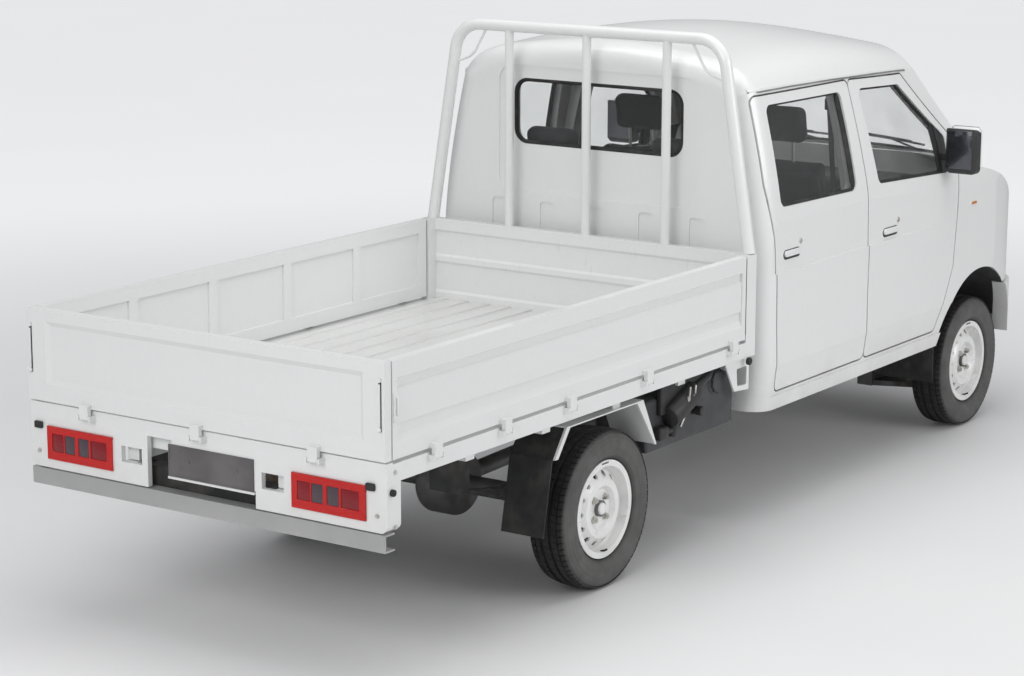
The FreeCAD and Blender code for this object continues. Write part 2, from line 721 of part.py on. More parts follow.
def rail_top(x):
    if x <= RAIL_DROP_START:
        return RAIL_REAR_TOP
    if x >= RAIL_DROP_END:
        return RAIL_FRONT_TOP
    share = (x - RAIL_DROP_START) / (RAIL_DROP_END - RAIL_DROP_START)
    return RAIL_REAR_TOP + (RAIL_FRONT_TOP - RAIL_REAR_TOP) * share


def make_chassis():
    low_rear = RAIL_REAR_TOP - RAIL_HEIGHT
    low_front = RAIL_FRONT_TOP - RAIL_HEIGHT
    side = [
        (RAIL_REAR_END, low_rear), (RAIL_DROP_START, low_rear), (RAIL_DROP_END, low_front),
        (RAIL_FRONT_END, low_front), (RAIL_FRONT_END, RAIL_FRONT_TOP), (RAIL_DROP_END, RAIL_FRONT_TOP),
        (RAIL_DROP_START, RAIL_REAR_TOP), (RAIL_REAR_END, RAIL_REAR_TOP),
    ]
    rail = side_prism(side, RAIL_Y - RAIL_WIDTH / 2, RAIL_Y + RAIL_WIDTH / 2)
    pieces = [rail, mirror_y(rail)]
    length = RAIL_FRONT_END - RAIL_REAR_END - CROSS_WIDTH
    for share in CROSS_SHARES:
        x = RAIL_REAR_END + length * share
        top = min(rail_top(x), rail_top(x + CROSS_WIDTH)) - RAIL_WIDTH / 4
        pieces.append(box(x, x + CROSS_WIDTH, -RAIL_Y, RAIL_Y, top - CROSS_DEPTH, top))
    for end in SPRING_ENDS:
        x = REAR_AXLE_X + end
        hanger = box(
            x - HANGER_LENGTH / 2, x + HANGER_LENGTH / 2, RAIL_Y, SPRING_Y + SPRING_WIDTH / 2,
            SPRING_EYE_Z, low_rear + RAIL_HEIGHT / 2,
        )
        pieces += [hanger, mirror_y(hanger)]
    return join(pieces)


# Rear suspension
AXLE_RADIUS = 36.0
DIFF_RADIUS = 125.0
DIFF_LENGTH = 170.0
DRUM_RADIUS = 118.0
DRUM_WIDTH = 60.0
SPRING_Y = 430.0
SPRING_WIDTH = 60.0
SPRING_REACH = 540.0
SPRING_ENDS = (-SPRING_REACH, SPRING_REACH)
SPRING_LEAF = 9.0
SPRING_EYE_Z = 440.0
SPRING_PAD = 12.0
SPRING_SEAT_Z = TYRE_RADIUS + AXLE_RADIUS + SPRING_PAD
HANGER_LENGTH = 60.0
LEAF_REACH_SHARES = (1.0, 0.8, 0.6, 0.4)
SHAFT_RADIUS = 32.0
SHAFT_FRONT_X = 2850.0
SHAFT_FRONT_Z = 340.0
SHAFT_CLEAR = 1.8
HUB_SEAT_Y = WHEEL_Y + RIM_WIDTH / 2 - DISC_INSET - DISC_THICKNESS
DRUM_INNER_Y = HUB_SEAT_Y - DRUM_WIDTH


def make_rear_axle():
    pieces = [Part.makeCylinder(AXLE_RADIUS, DRUM_INNER_Y * 2, V(REAR_AXLE_X, -DRUM_INNER_Y, TYRE_RADIUS), AXIS_Y)]
    diff = Part.makeCylinder(DIFF_RADIUS, DIFF_LENGTH, V(REAR_AXLE_X, -DIFF_LENGTH / 2, TYRE_RADIUS), AXIS_Y)
    diff = diff.makeFillet(DIFF_LENGTH / 4, diff.Edges[0:1] + diff.Edges[2:3])
    pieces.append(diff)
    for side in (1, -1):
        start = V(REAR_AXLE_X, side * DRUM_INNER_Y, TYRE_RADIUS)
        pieces.append(hub(start, side))
        seat = box(
            REAR_AXLE_X - SPRING_WIDTH, REAR_AXLE_X + SPRING_WIDTH, SPRING_Y - SPRING_WIDTH / 2,
            SPRING_Y + SPRING_WIDTH / 2, TYRE_RADIUS, SPRING_SEAT_Z,
        )
        pieces.append(seat if side > 0 else mirror_y(seat))
    shaft_start = V(REAR_AXLE_X, 0, TYRE_RADIUS)
    shaft_end = V(SHAFT_FRONT_X - SHAFT_CLEAR, 0, SHAFT_FRONT_Z)
    run = shaft_end - shaft_start
    pieces.append(Part.makeCylinder(SHAFT_RADIUS, run.Length, shaft_start, run))
    return join(pieces)


def hub(start, side):
    # A brake drum with the spindle that carries the wheel.
    outward = V(0, side, 0)
    drum = Part.makeCylinder(DRUM_RADIUS, DRUM_WIDTH - GATE_GAP, start, outward)
    spindle_length = DRUM_WIDTH + DISC_THICKNESS + HUB_CAP_LENGTH
    spindle = Part.makeCylinder(HUB_RADIUS, spindle_length, start, outward)
    return drum.fuse(spindle)


def make_leaf_springs():
    leaves = []
    camber = SPRING_EYE_Z - SPRING_SEAT_Z
    for i, share in enumerate(LEAF_REACH_SHARES):
        reach = SPRING_REACH * share
        level = (len(LEAF_REACH_SHARES) - 1 - i) * SPRING_LEAF
        low = SPRING_SEAT_Z + level
        rise = camber * share * share - level * share
        x0, x1 = REAR_AXLE_X - reach, REAR_AXLE_X + reach
        lower = Part.Arc(V(x0, 0, low + rise), V(REAR_AXLE_X, 0, low), V(x1, 0, low + rise))
        top = low + SPRING_LEAF
        upper = Part.Arc(V(x1, 0, top + rise), V(REAR_AXLE_X, 0, top), V(x0, 0, top + rise))
        ends = [
            Part.makeLine(V(REAR_AXLE_X + reach, 0, low + rise), V(REAR_AXLE_X + reach, 0, top + rise)),
            Part.makeLine(V(REAR_AXLE_X - reach, 0, top + rise), V(REAR_AXLE_X - reach, 0, low + rise)),
        ]
        wire = Part.Wire([lower.toShape(), ends[0], upper.toShape(), ends[1]])
        leaf = Part.Face(wire).extrude(V(0, SPRING_WIDTH, 0))
        leaf.translate(V(0, SPRING_Y - SPRING_WIDTH / 2, 0))
        leaves.append(leaf)
    pack = join(leaves)
    pack = pack.cut(make_hanger_space())
    return Part.makeCompound([pack, mirror_y(pack)])


def make_hanger_space():
    spaces = []
    for end in SPRING_ENDS:
        x = REAR_AXLE_X + end
        spaces.append(box(
            x - HANGER_LENGTH / 2, x + HANGER_LENGTH / 2, RAIL_Y, SPRING_Y + SPRING_WIDTH,
            SPRING_EYE_Z, RAIL_REAR_TOP,
        ))
    return spaces[0].fuse(spaces[1])


# Front suspension
KINGPIN_Y = 560.0
BALL_RADIUS = 10.0
BALL_Z = 178.0
BALL_REACH = 30.0
ARM_THICKNESS = 24.0
ARM_HALF = 26.0
ARM_ROOT_HALF = 150.0
ARM_ROOT_Y = 300.0
KNUCKLE_HALF = 28.0
NECK_RADIUS = 42.0
KNUCKLE_BOTTOM = 205.0
KNUCKLE_TOP = 412.0
LUG_Z = 420.0
LUG_THICKNESS = 16.0
STRUT_FOOT_Y = 500.0
STRUT_HEAD_Y = 462.0
STRUT_HEAD_Z = 770.0
STRUT_RADIUS = 23.0
COIL_RADIUS = 46.0
COIL_BOTTOM = 615.0
CROSSBEAM_BOTTOM = 300.0


def make_front_suspension():
    x = FRONT_AXLE_X
    top = RAIL_FRONT_TOP - RAIL_HEIGHT
    beam = box(x - ARM_ROOT_HALF, x + ARM_ROOT_HALF, -RAIL_Y, RAIL_Y, CROSSBEAM_BOTTOM, top)
    arm_low = BALL_Z - ARM_THICKNESS
    root_y = ARM_ROOT_Y - ARM_ROOT_HALF / 2
    root = box(x - ARM_ROOT_HALF, x + ARM_ROOT_HALF, root_y, ARM_ROOT_Y, arm_low, top)
    arm = plan_prism(
        [(x - ARM_ROOT_HALF, ARM_ROOT_Y - ARM_HALF), (x + ARM_ROOT_HALF, ARM_ROOT_Y - ARM_HALF),
         (x + ARM_HALF, KINGPIN_Y + ARM_HALF), (x - ARM_HALF, KINGPIN_Y + ARM_HALF)],
        arm_low, BALL_Z,
    )
    ball = Part.makeCylinder(BALL_RADIUS, KNUCKLE_BOTTOM - BALL_Z + BALL_REACH, V(x, KINGPIN_Y, BALL_Z), AXIS_Z)
    lug = box(
        x - ARM_HALF, x + ARM_HALF, STRUT_FOOT_Y - STRUT_RADIUS, KINGPIN_Y + BALL_RADIUS * 2,
        LUG_Z, LUG_Z + LUG_THICKNESS,
    )
    lug = lug.cut(Part.makeCylinder(BALL_RADIUS + RUN_GAP, CAB_HEIGHT, V(x, KINGPIN_Y, 0), AXIS_Z))
    foot = V(x, STRUT_FOOT_Y, LUG_Z + LUG_THICKNESS / 2)
    head = V(x, STRUT_HEAD_Y, STRUT_HEAD_Z)
    run = head - foot
    strut = Part.makeCylinder(STRUT_RADIUS, run.Length, foot, run)
    share = (COIL_BOTTOM - foot.z) / (head.z - foot.z)
    coil_start = foot + run * share
    coil = Part.makeCylinder(COIL_RADIUS, (head - coil_start).Length, coil_start, run)
    side = join([arm, ball, lug, strut, coil, root])
    above = box(x - ARM_ROOT_HALF, x + ARM_ROOT_HALF, 0, CAB_WIDTH, COIL_BOTTOM, CAB_TOP)
    side = side.cut(above.cut(arch_cylinder(ARCH_RADIUS - SEAT_GAP, 0, CAB_WIDTH)))
    return join([beam, side, mirror_y(side)])


def make_knuckle():
    x = FRONT_AXLE_X
    upright = box(
        x - KNUCKLE_HALF, x + KNUCKLE_HALF, KINGPIN_Y - KNUCKLE_HALF, KINGPIN_Y + KNUCKLE_HALF,
        KNUCKLE_BOTTOM, KNUCKLE_TOP,
    )
    socket = Part.makeCylinder(BALL_RADIUS + RUN_GAP, BALL_REACH + RUN_GAP, V(x, KINGPIN_Y, KNUCKLE_BOTTOM), AXIS_Z)
    upright = upright.cut(socket)
    pin = Part.makeCylinder(BALL_RADIUS, LUG_Z + LUG_THICKNESS - KNUCKLE_TOP, V(x, KINGPIN_Y, KNUCKLE_TOP), AXIS_Z)
    neck = Part.makeCylinder(NECK_RADIUS, DRUM_INNER_Y - KINGPIN_Y, V(x, KINGPIN_Y, TYRE_RADIUS), AXIS_Y)
    neck = neck.cut(socket)
    return join([upright, pin, neck, hub(V(x, DRUM_INNER_Y, TYRE_RADIUS), 1)])


def make_wheel():
    # The rim and its disc, turned about the wheel's own axis, then moved out to the side.
    half = RIM_WIDTH / 2
    wall = RIM_WALL
    seat = FLANGE_RADIUS - FLANGE_LIP * 2
    well = RIM_WELL_RADIUS
    face = half - DISC_INSET
    step_in, well_in, well_out, step_out = [half * share for share in WELL_SHARES]
    outer = [
        (FLANGE_RADIUS, half), (FLANGE_RADIUS, half - wall), (seat, half - wall * 2), (seat, step_out),
        (well, well_out), (well, well_in), (seat, step_in), (seat, -half + wall * 2),
        (FLANGE_RADIUS, -half + wall), (FLANGE_RADIUS, -half),
    ]
    inner = [
        (seat - wall, -half), (seat - wall, step_in), (well - wall, well_in),
        (well - wall, well_out), (seat - wall, step_out), (seat - wall, half),
    ]
    points = [V(r, y, 0) for r, y in outer + inner]
    barrel = Part.Face(Part.makePolygon(points + [points[0]])).revolve(V(0, 0, 0), AXIS_Y, 360)
    hub_bore = HUB_RADIUS + RUN_GAP
    crest = face + DISC_CREST
    foot = half * DISC_FOOT_SHARE
    edge = well - wall / 2
    thick = DISC_THICKNESS
    dish = [
        (hub_bore, face - thick), (SEAT_RADIUS, face - thick), (CREST_INNER, crest - thick),
        (CREST_OUTER, crest - thick), (edge - thick, foot), (edge, foot), (edge, foot + thick),
        (CREST_OUTER + thick / 2, crest), (CREST_INNER - thick / 2, crest), (SEAT_RADIUS - thick / 2, face),
        (hub_bore, face),
    ]
    points = [V(r, y, 0) for r, y in dish]
    disc = Part.Face(Part.makePolygon(points + [points[0]])).revolve(V(0, 0, 0), AXIS_Y, 360)
    wheel = barrel.fuse(disc)
    holes = []
    for i in range(VENT_COUNT):
        angle = 2 * math.pi * i / VENT_COUNT
        at = V(VENT_CIRCLE * math.cos(angle), 0, VENT_CIRCLE * math.sin(angle))
        holes.append(Part.makeCylinder(VENT_RADIUS, half + wall, at, AXIS_Y))
    for i in range(BOLT_COUNT):
        angle = 2 * math.pi * (i + HALF_STEP_SHARE) / BOLT_COUNT
        at = V(BOLT_CIRCLE * math.cos(angle), 0, BOLT_CIRCLE * math.sin(angle))
        holes.append(Part.makeCylinder(BOLT_HOLE_RADIUS, half + wall, at, AXIS_Y))
    return wheel.cut(holes)


def make_tyre():
    half = TYRE_WIDTH / 2
    bead = RIM_WIDTH / 2 - RIM_WALL - SEAT_GAP
    seat = FLANGE_RADIUS - FLANGE_LIP * 2 + SEAT_GAP
    bead_out = FLANGE_RADIUS + SEAT_GAP
    crown = TYRE_RADIUS
    right = [
        (seat, RIM_WIDTH / 2 - RIM_WALL * 2 - SEAT_GAP), (bead_out, bead), (bead_out, RIM_WIDTH / 2),
        ((bead_out + crown) / 2, half), (crown - SHOULDER_DROP, half - SHOULDER_IN),
        (crown - CROWN_DROP, half - CROWN_IN), (crown, half * CROWN_SHARE),
    ]
    left = [(r, -y) for r, y in reversed(right)]
    points = [V(r, y, 0) for r, y in right + left]
    return Part.Face(Part.makePolygon(points + [points[0]])).revolve(V(0, 0, 0), AXIS_Y, 360)


def at_wheel(shape, x, side):
    placed = shape if side > 0 else mirror_y(shape)
    placed = placed.copy()
    placed.translate(V(x, side * WHEEL_Y, TYRE_RADIUS))
    return placed


# Engine, tank and exhaust
ENGINE_REAR = 3240.0
ENGINE_FRONT = 3700.0
ENGINE_HALF = 240.0
ENGINE_BOTTOM = 285.0
ENGINE_TOP = 630.0
GEARBOX_REAR = SHAFT_FRONT_X
GEARBOX_HALF = 130.0
GEARBOX_BOTTOM = 300.0
MOUNT_HALF = 30.0
TANK_REAR = 1692.0
TANK_FRONT = 2330.0
TANK_INNER_Y = -475.0
TANK_OUTER_Y = -700.0
TANK_BOTTOM = 440.0
TANK_TOP = 640.0
TANK_CORNER = 14.0
FILLER_X = 2190.0
FILLER_Z = 628.0
FILLER_RADIUS = 52.0
FILLER_LENGTH = 110.0
TANK_STRAP = 36.0
TANK_STRAP_SHARES = (0.10, 0.56)
MUFFLER_RADIUS = 72.0
MUFFLER_REAR = 480.0
MUFFLER_FRONT = 800.0
MUFFLER_Y = 180.0
MUFFLER_Z = 440.0
TAIL_PIPE_X = 300.0
PIPE_RADIUS = 19.0
PIPE_FRONT_Z = 335.0
PIPE_BEND = 120.0


def make_engine():
    block = box(ENGINE_REAR, ENGINE_FRONT, -ENGINE_HALF, ENGINE_HALF, ENGINE_BOTTOM, ENGINE_TOP)
    gearbox_top = RAIL_FRONT_TOP - RAIL_WIDTH / 4
    gearbox = box(GEARBOX_REAR, ENGINE_REAR, -GEARBOX_HALF, GEARBOX_HALF, GEARBOX_BOTTOM, gearbox_top)
    middle = (ENGINE_REAR + ENGINE_FRONT) / 2
    mount = box(
        middle - MOUNT_HALF, middle + MOUNT_HALF, -RAIL_Y + RAIL_WIDTH / 2, RAIL_Y - RAIL_WIDTH / 2,
        RAIL_FRONT_TOP - RAIL_HEIGHT, RAIL_FRONT_TOP,
    )
    return join([block, gearbox, mount])


def make_tank():
    tank = box(TANK_REAR, TANK_FRONT, TANK_OUTER_Y, TANK_INNER_Y, TANK_BOTTOM, TANK_TOP)
    tank = tank.makeFillet(TANK_CORNER, tank.Edges)
    neck = Part.makeCylinder(FILLER_RADIUS, FILLER_LENGTH, V(FILLER_X, TANK_OUTER_Y, FILLER_Z), AXIS_Y)
    pieces = [tank, neck]
    for share in TANK_STRAP_SHARES:
        x = TANK_REAR + (TANK_FRONT - TANK_REAR) * share
        top = rail_top(x + TANK_STRAP) - TANK_CORNER
        pieces.append(box(x, x + TANK_STRAP, TANK_INNER_Y, -RAIL_Y - RAIL_WIDTH / 2, top - TANK_STRAP, top))
    return join(pieces)


def make_exhaust():
    muffler_end = V(MUFFLER_REAR, MUFFLER_Y, MUFFLER_Z)
    muffler = Part.makeCylinder(MUFFLER_RADIUS, MUFFLER_FRONT - MUFFLER_REAR, muffler_end, AXIS_X)
    route = [
        V(TAIL_PIPE_X, MUFFLER_Y, MUFFLER_Z), V(RAIL_DROP_START - PIPE_BEND, MUFFLER_Y, MUFFLER_Z),
        V(RAIL_DROP_END, MUFFLER_Y, PIPE_FRONT_Z), V(ENGINE_REAR, MUFFLER_Y, PIPE_FRONT_Z),
    ]
    pipe = tube(route, PIPE_RADIUS, PIPE_BEND)
    x = deck_member_x(1)
    hanger = box(
        x, x + DECK_CROSS_WIDTH / 2, MUFFLER_Y - PIPE_RADIUS / 2, MUFFLER_Y + PIPE_RADIUS / 2,
        MUFFLER_Z, FLOOR_TOP - DECK_THICKNESS - DECK_MEMBER,
    )
    return join([muffler, pipe, hanger])


# Bed deck and its members
DECK_CROSS_COUNT = 6
DECK_CROSS_WIDTH = 50.0
RIB_COUNT = 14
RIB_WIDTH = 34.0
RIB_HEIGHT = 7.0
SIDE_RAIL_THICKNESS = 22.0


# The bracket under the bed's right front corner, seen from the side: its outline and its window.
BRACKET_OUTLINE = ((2150.0, 725.0), (2352.0, 725.0), (2352.0, 572.0), (2242.0, 582.0), (2170.0, 700.0))
BRACKET_WINDOW = ((2256.0, 668.0), (2334.0, 668.0), (2334.0, 594.0), (2264.0, 600.0))
BRACKET_CORNER = 8.0
BRACKET_SHEET = 7.0
BRACKET_LAP = 2.0


def bed_bracket():
    outer = HALF_BED - SIDE_RAIL_THICKNESS + BRACKET_LAP
    inner = outer - BRACKET_SHEET
    window = side_prism(BRACKET_WINDOW, inner - OVERRUN, outer + OVERRUN, BRACKET_CORNER)
    return mirror_y(side_prism(BRACKET_OUTLINE, inner, outer).cut(window))


def deck_member_x(index):
    rear = GATE_THICKNESS + GATE_GAP
    return rear + (BED_LENGTH - rear - DECK_CROSS_WIDTH) * index / (DECK_CROSS_COUNT - 1)


def make_deck():
    half = HALF_BED - GATE_THICKNESS - GATE_GAP
    front = BED_LENGTH
    rear = GATE_THICKNESS + GATE_GAP
    low = FLOOR_TOP - DECK_THICKNESS
    sheet = box(rear, front, -half, half, low, FLOOR_TOP)
    pieces = [sheet]
    rib_step = (half * 2) / RIB_COUNT
    for i in range(RIB_COUNT):
        y = -half + rib_step * (i + HALF_STEP_SHARE) - RIB_WIDTH / 2
        pieces.append(box(rear, front - HEADBOARD_THICKNESS, y, y + RIB_WIDTH, FLOOR_TOP, FLOOR_TOP + RIB_HEIGHT))
    rail_outer = HALF_BED
    rail = box(rear, front, rail_outer - SIDE_RAIL_THICKNESS, rail_outer, RAIL_FACE_BOTTOM, FLOOR_TOP)
    ledge = box(rear, front, half, rail_outer, low, FLOOR_TOP)
    pieces += [rail, mirror_y(rail), ledge, mirror_y(ledge)]
    runner_low = RAIL_REAR_TOP
    runner = box(rear, RAIL_DROP_START, RAIL_Y - RAIL_WIDTH / 2, RAIL_Y + RAIL_WIDTH / 2, runner_low, low)
    pieces += [runner, mirror_y(runner), bed_bracket()]
    for i in range(DECK_CROSS_COUNT):
        x = deck_member_x(i)
        pieces.append(box(x, x + DECK_CROSS_WIDTH, -half, half, low - DECK_MEMBER, low))
    for x in side_hinge_stations():
        lugs = side_lugs(x)
        pieces += [lugs, mirror_y(lugs)]
    return join(pieces)


# The headboard's face towards the load: (inset share, height share), from the floor up.
HEADBOARD_SHARES = (
    (0, 0), (0, 0.08), (0.24, 0.11), (0.24, 0.44), (0, 0.47), (0, 0.53), (0.24, 0.56), (0.24, 0.83), (0, 0.86), (0, 1),
)


def make_headboard():
    x1 = BED_LENGTH
    x0 = x1 - HEADBOARD_THICKNESS
    half = HALF_BED - POST_WIDTH
    height = GATE_TOP - FLOOR_TOP
    face = [(x0 + HEADBOARD_THICKNESS * inset, FLOOR_TOP + height * z) for inset, z in HEADBOARD_SHARES]
    board = side_prism([(x1, FLOOR_TOP)] + face + [(x1, GATE_TOP)], -half, half)
    post = box(x1 - POST_LENGTH, x1, half, HALF_BED, FLOOR_TOP, GATE_TOP)
    return join([board, post, mirror_y(post)])


GUARD_RADIUS = 24.0
GUARD_BAR_RADIUS = 18.0
GUARD_TOP_Z = 1916.0
GUARD_FOOT_Y = 750.0
GUARD_KNEE_Y = 672.0
GUARD_KNEE_Z = 1760.0
GUARD_LEAN_SHARE = 0.35
GUARD_BAR_Y = 370.0
ROPE_ROD_RADIUS = 5.0
ROPE_ROD_ROUTE = ((655.0, 1750.0), (548.0, 1788.0), (475.0, 1912.0))
ROPE_ROD_TURN = 90.0
GUARD_BEND = 120.0


def make_guard():
    x = BED_LENGTH - HEADBOARD_THICKNESS / 2
    corner_y = GUARD_KNEE_Y - (GUARD_TOP_Z - GUARD_KNEE_Z) * GUARD_LEAN_SHARE
    points = [
        V(x, GUARD_FOOT_Y, GATE_TOP), V(x, corner_y, GUARD_TOP_Z), V(x, -corner_y, GUARD_TOP_Z),
        V(x, -GUARD_FOOT_Y, GATE_TOP),
    ]
    hoop = tube(points, GUARD_RADIUS, GUARD_BEND)
    route = [V(x, y, z) for y, z in ROPE_ROD_ROUTE]
    rod = tube(route, ROPE_ROD_RADIUS, ROPE_ROD_TURN)
    pieces = [hoop, rod, mirror_y(rod)]
    for y in (-GUARD_BAR_Y, 0, GUARD_BAR_Y):
        pieces.append(Part.makeCylinder(GUARD_BAR_RADIUS, GUARD_TOP_Z - GATE_TOP, V(x, y, GATE_TOP), AXIS_Z))
    guard = join(pieces)
    below = box(x - CAB_GAP, x + CAB_GAP, -CAB_WIDTH, CAB_WIDTH, GATE_TOP - CAB_GAP, GATE_TOP)
    return guard.cut(below)


GATE_HINGE_SHARES = (0.09, 0.27, 0.45, 0.68, 0.96)
TAILGATE_HINGE_SHARES = (0.17, 0.5, 0.83)
KNUCKLE_RADIUS = 8.0
KNUCKLE_LENGTH = 40.0
PIN_RADIUS = 4.0
LUG_GAP = 2.0
LUG_PLATE = 8.0
LUG_REACH = 9.0


def side_gate_span():
    return GATE_THICKNESS + GATE_GAP, BED_LENGTH - POST_LENGTH - GATE_GAP


# The side gate's pressed outer face: (inset share, height share), from the bottom up.
GATE_SHARES = (
    (0, 0), (0, 0.161), (0.353, 0.241), (0.353, 0.328), (0.147, 0.356), (0.147, 0.697), (0.353, 0.718),
    (0.353, 0.799), (0, 0.817), (0, 1),
)
GATE_END = 26.0
GATE_BORDER = 52.0
GATE_POCKET = 8.0
GATE_RIB = 46.0
SIDE_RIB_COUNT = 4
TAIL_RIB_COUNT = 3
TAIL_PRESS_DEPTH = 12.0
TAIL_PRESS_HALF = 690.0
TAIL_PRESS_BOTTOM = 843.0
TAIL_PRESS_TOP = 1066.0
TAIL_PRESS_SLOPE = 18.0


def rib_bays(start, end, ribs):
    # The bays between a number of ribs of equal spacing.
    bay = (end - start - GATE_RIB * ribs) / (ribs + 1)
    step = bay + GATE_RIB
    return [(start + step * i, start + step * i + bay) for i in range(ribs + 1)]


def make_side_gate():
    x0, x1 = side_gate_span()
    inner = HALF_BED - GATE_THICKNESS
    outer = [(HALF_BED - GATE_THICKNESS * inset, GATE_BOTTOM + GATE_HEIGHT * z) for inset, z in GATE_SHARES]
    face = [(inner, GATE_BOTTOM)] + outer + [(inner, GATE_TOP)]
    gate = front_prism(face, x0 + GATE_END, x1 - GATE_END)
    ends = [box(x0, x0 + GATE_END, inner, HALF_BED, GATE_BOTTOM, GATE_TOP)]
    ends.append(box(x1 - GATE_END, x1, inner, HALF_BED, GATE_BOTTOM, GATE_TOP))
    low = GATE_BOTTOM + GATE_BORDER
    high = GATE_TOP - GATE_BORDER
    pockets = []
    for start, end in rib_bays(x0 + GATE_BORDER, x1 - GATE_BORDER, SIDE_RIB_COUNT):
        pockets.append(box(start, end, inner - OVERRUN, inner + GATE_POCKET, low, high))
    return join([gate] + ends + side_hinges()).cut(pockets)


def side_hinge_stations():
    x0, x1 = side_gate_span()
    return [x0 + (x1 - x0 - KNUCKLE_LENGTH) * share for share in GATE_HINGE_SHARES]


def hinge_strap():
    # One strap of a gate hinge, lying along +X from the origin on the pivot line, the gate at -Y.
    low = box(0, KNUCKLE_LENGTH, -KNUCKLE_RADIUS, KNUCKLE_RADIUS, 0, GATE_BOTTOM - HINGE_Z + KNUCKLE_RADIUS)
    rise = GATE_BOTTOM - HINGE_Z
    foot = box(0, KNUCKLE_LENGTH, -HINGE_OUT, KNUCKLE_RADIUS, rise, rise + KNUCKLE_RADIUS * 2)
    eye = Part.makeCylinder(KNUCKLE_RADIUS, KNUCKLE_LENGTH, V(0, 0, 0), AXIS_X)
    bore = Part.makeCylinder(PIN_RADIUS + RUN_GAP, KNUCKLE_LENGTH + OVERRUN * 2, V(-OVERRUN, 0, 0), AXIS_X)
    return join([low, foot, eye]).cut(bore)


def hinge_lugs(depth):
    # The two lugs and the pin that carry a strap, with the fixed rail at -Y by the given depth.
    first = box(-LUG_GAP - LUG_PLATE, -LUG_GAP, -depth, LUG_REACH, -LUG_REACH, LUG_REACH)
    second = first.copy()
    second.translate(V(KNUCKLE_LENGTH + LUG_GAP * 2 + LUG_PLATE, 0, 0))
    pin_end = V(-LUG_GAP - LUG_PLATE / 2, 0, 0)
    pin = Part.makeCylinder(PIN_RADIUS, KNUCKLE_LENGTH + LUG_GAP * 2 + LUG_PLATE, pin_end, AXIS_X)
    return join([first, second, pin])


def side_hinges():
    straps = []
    for x in side_hinge_stations():
        strap = hinge_strap()
        strap.translate(V(x, HALF_BED + HINGE_OUT, HINGE_Z))
        straps.append(strap)
    return straps


def side_lugs(x):
    lugs = hinge_lugs(HINGE_OUT)
    lugs.translate(V(x, HALF_BED + HINGE_OUT, HINGE_Z))
    return lugs


def tail_hinge_sides():
    return [-HALF_BED + (BED_WIDTH - KNUCKLE_LENGTH) * share for share in TAILGATE_HINGE_SHARES]


def face_rear(shape, y):
    # Turns a hinge piece so that it lies across the truck and faces the rear.
    turned = shape.copy()
    turned.rotate(V(0, 0, 0), AXIS_Z, 90)
    turned.translate(V(-HINGE_OUT, y, HINGE_Z))
    return turned


def make_tailgate():
    gate = box(0, GATE_THICKNESS, -HALF_BED, HALF_BED, GATE_BOTTOM, GATE_TOP)
    slope = TAIL_PRESS_SLOPE
    depth = TAIL_PRESS_DEPTH
    rings = []
    for turn in (-1, 1):
        half = TAIL_PRESS_HALF - slope * turn
        low = TAIL_PRESS_BOTTOM + slope * turn
        high = TAIL_PRESS_TOP - slope * turn
        corners = [V(depth * turn, half, low), V(depth * turn, half, high)]
        corners += [V(depth * turn, -half, high), V(depth * turn, -half, low)]
        rings.append(Part.makePolygon(corners + [corners[0]]))
    cuts = [Part.makeLoft(rings, True, True)]
    reach = HALF_BED - GATE_THICKNESS - GATE_BORDER
    for start, end in rib_bays(-reach, reach, TAIL_RIB_COUNT):
        cuts.append(box(
            GATE_THICKNESS - GATE_POCKET, GATE_THICKNESS + OVERRUN, start, end,
            GATE_BOTTOM + GATE_BORDER, GATE_TOP - GATE_BORDER,
        ))
    return join([gate] + [face_rear(hinge_strap(), y) for y in tail_hinge_sides()]).cut(cuts)


# Lamp panel under the tailgate
PANEL_BOTTOM = 545.0
PANEL_TOP = GATE_BOTTOM - GATE_GAP
PANEL_THICKNESS = 20.0
PANEL_WRAP = 75.0
PANEL_CORNER = 25.0
LAMP_OUT = 695.0
LAMP_IN = 392.0
TAIL_LAMP_TOP = 696.0
TAIL_LAMP_BOTTOM = 578.0
TAIL_LAMP_PROUD = 8.0
PORT_INNER = 262.0
PORT_OUTER = 355.0
PORT_BOTTOM = 617.0
PORT_TOP = 673.0
PLATE_INNER_Y = 128.0
PLATE_HOLDER = 6.0
PLATE_HOLE_SPACING = 210.0
PLATE_HOLE_RADIUS = 3.5
PLATE_TOP = 716.0
PLATE_BOTTOM = 603.0
NOTCH_HALF = 236.0
NOTCH_TOP = 724.0
BAR_REAR = 3.0
BAR_TOP = 541.0
BAR_BOTTOM = 482.0
BAR_DEPTH = 50.0
BAR_WALL = 5.0
BAR_HALF = 771.0


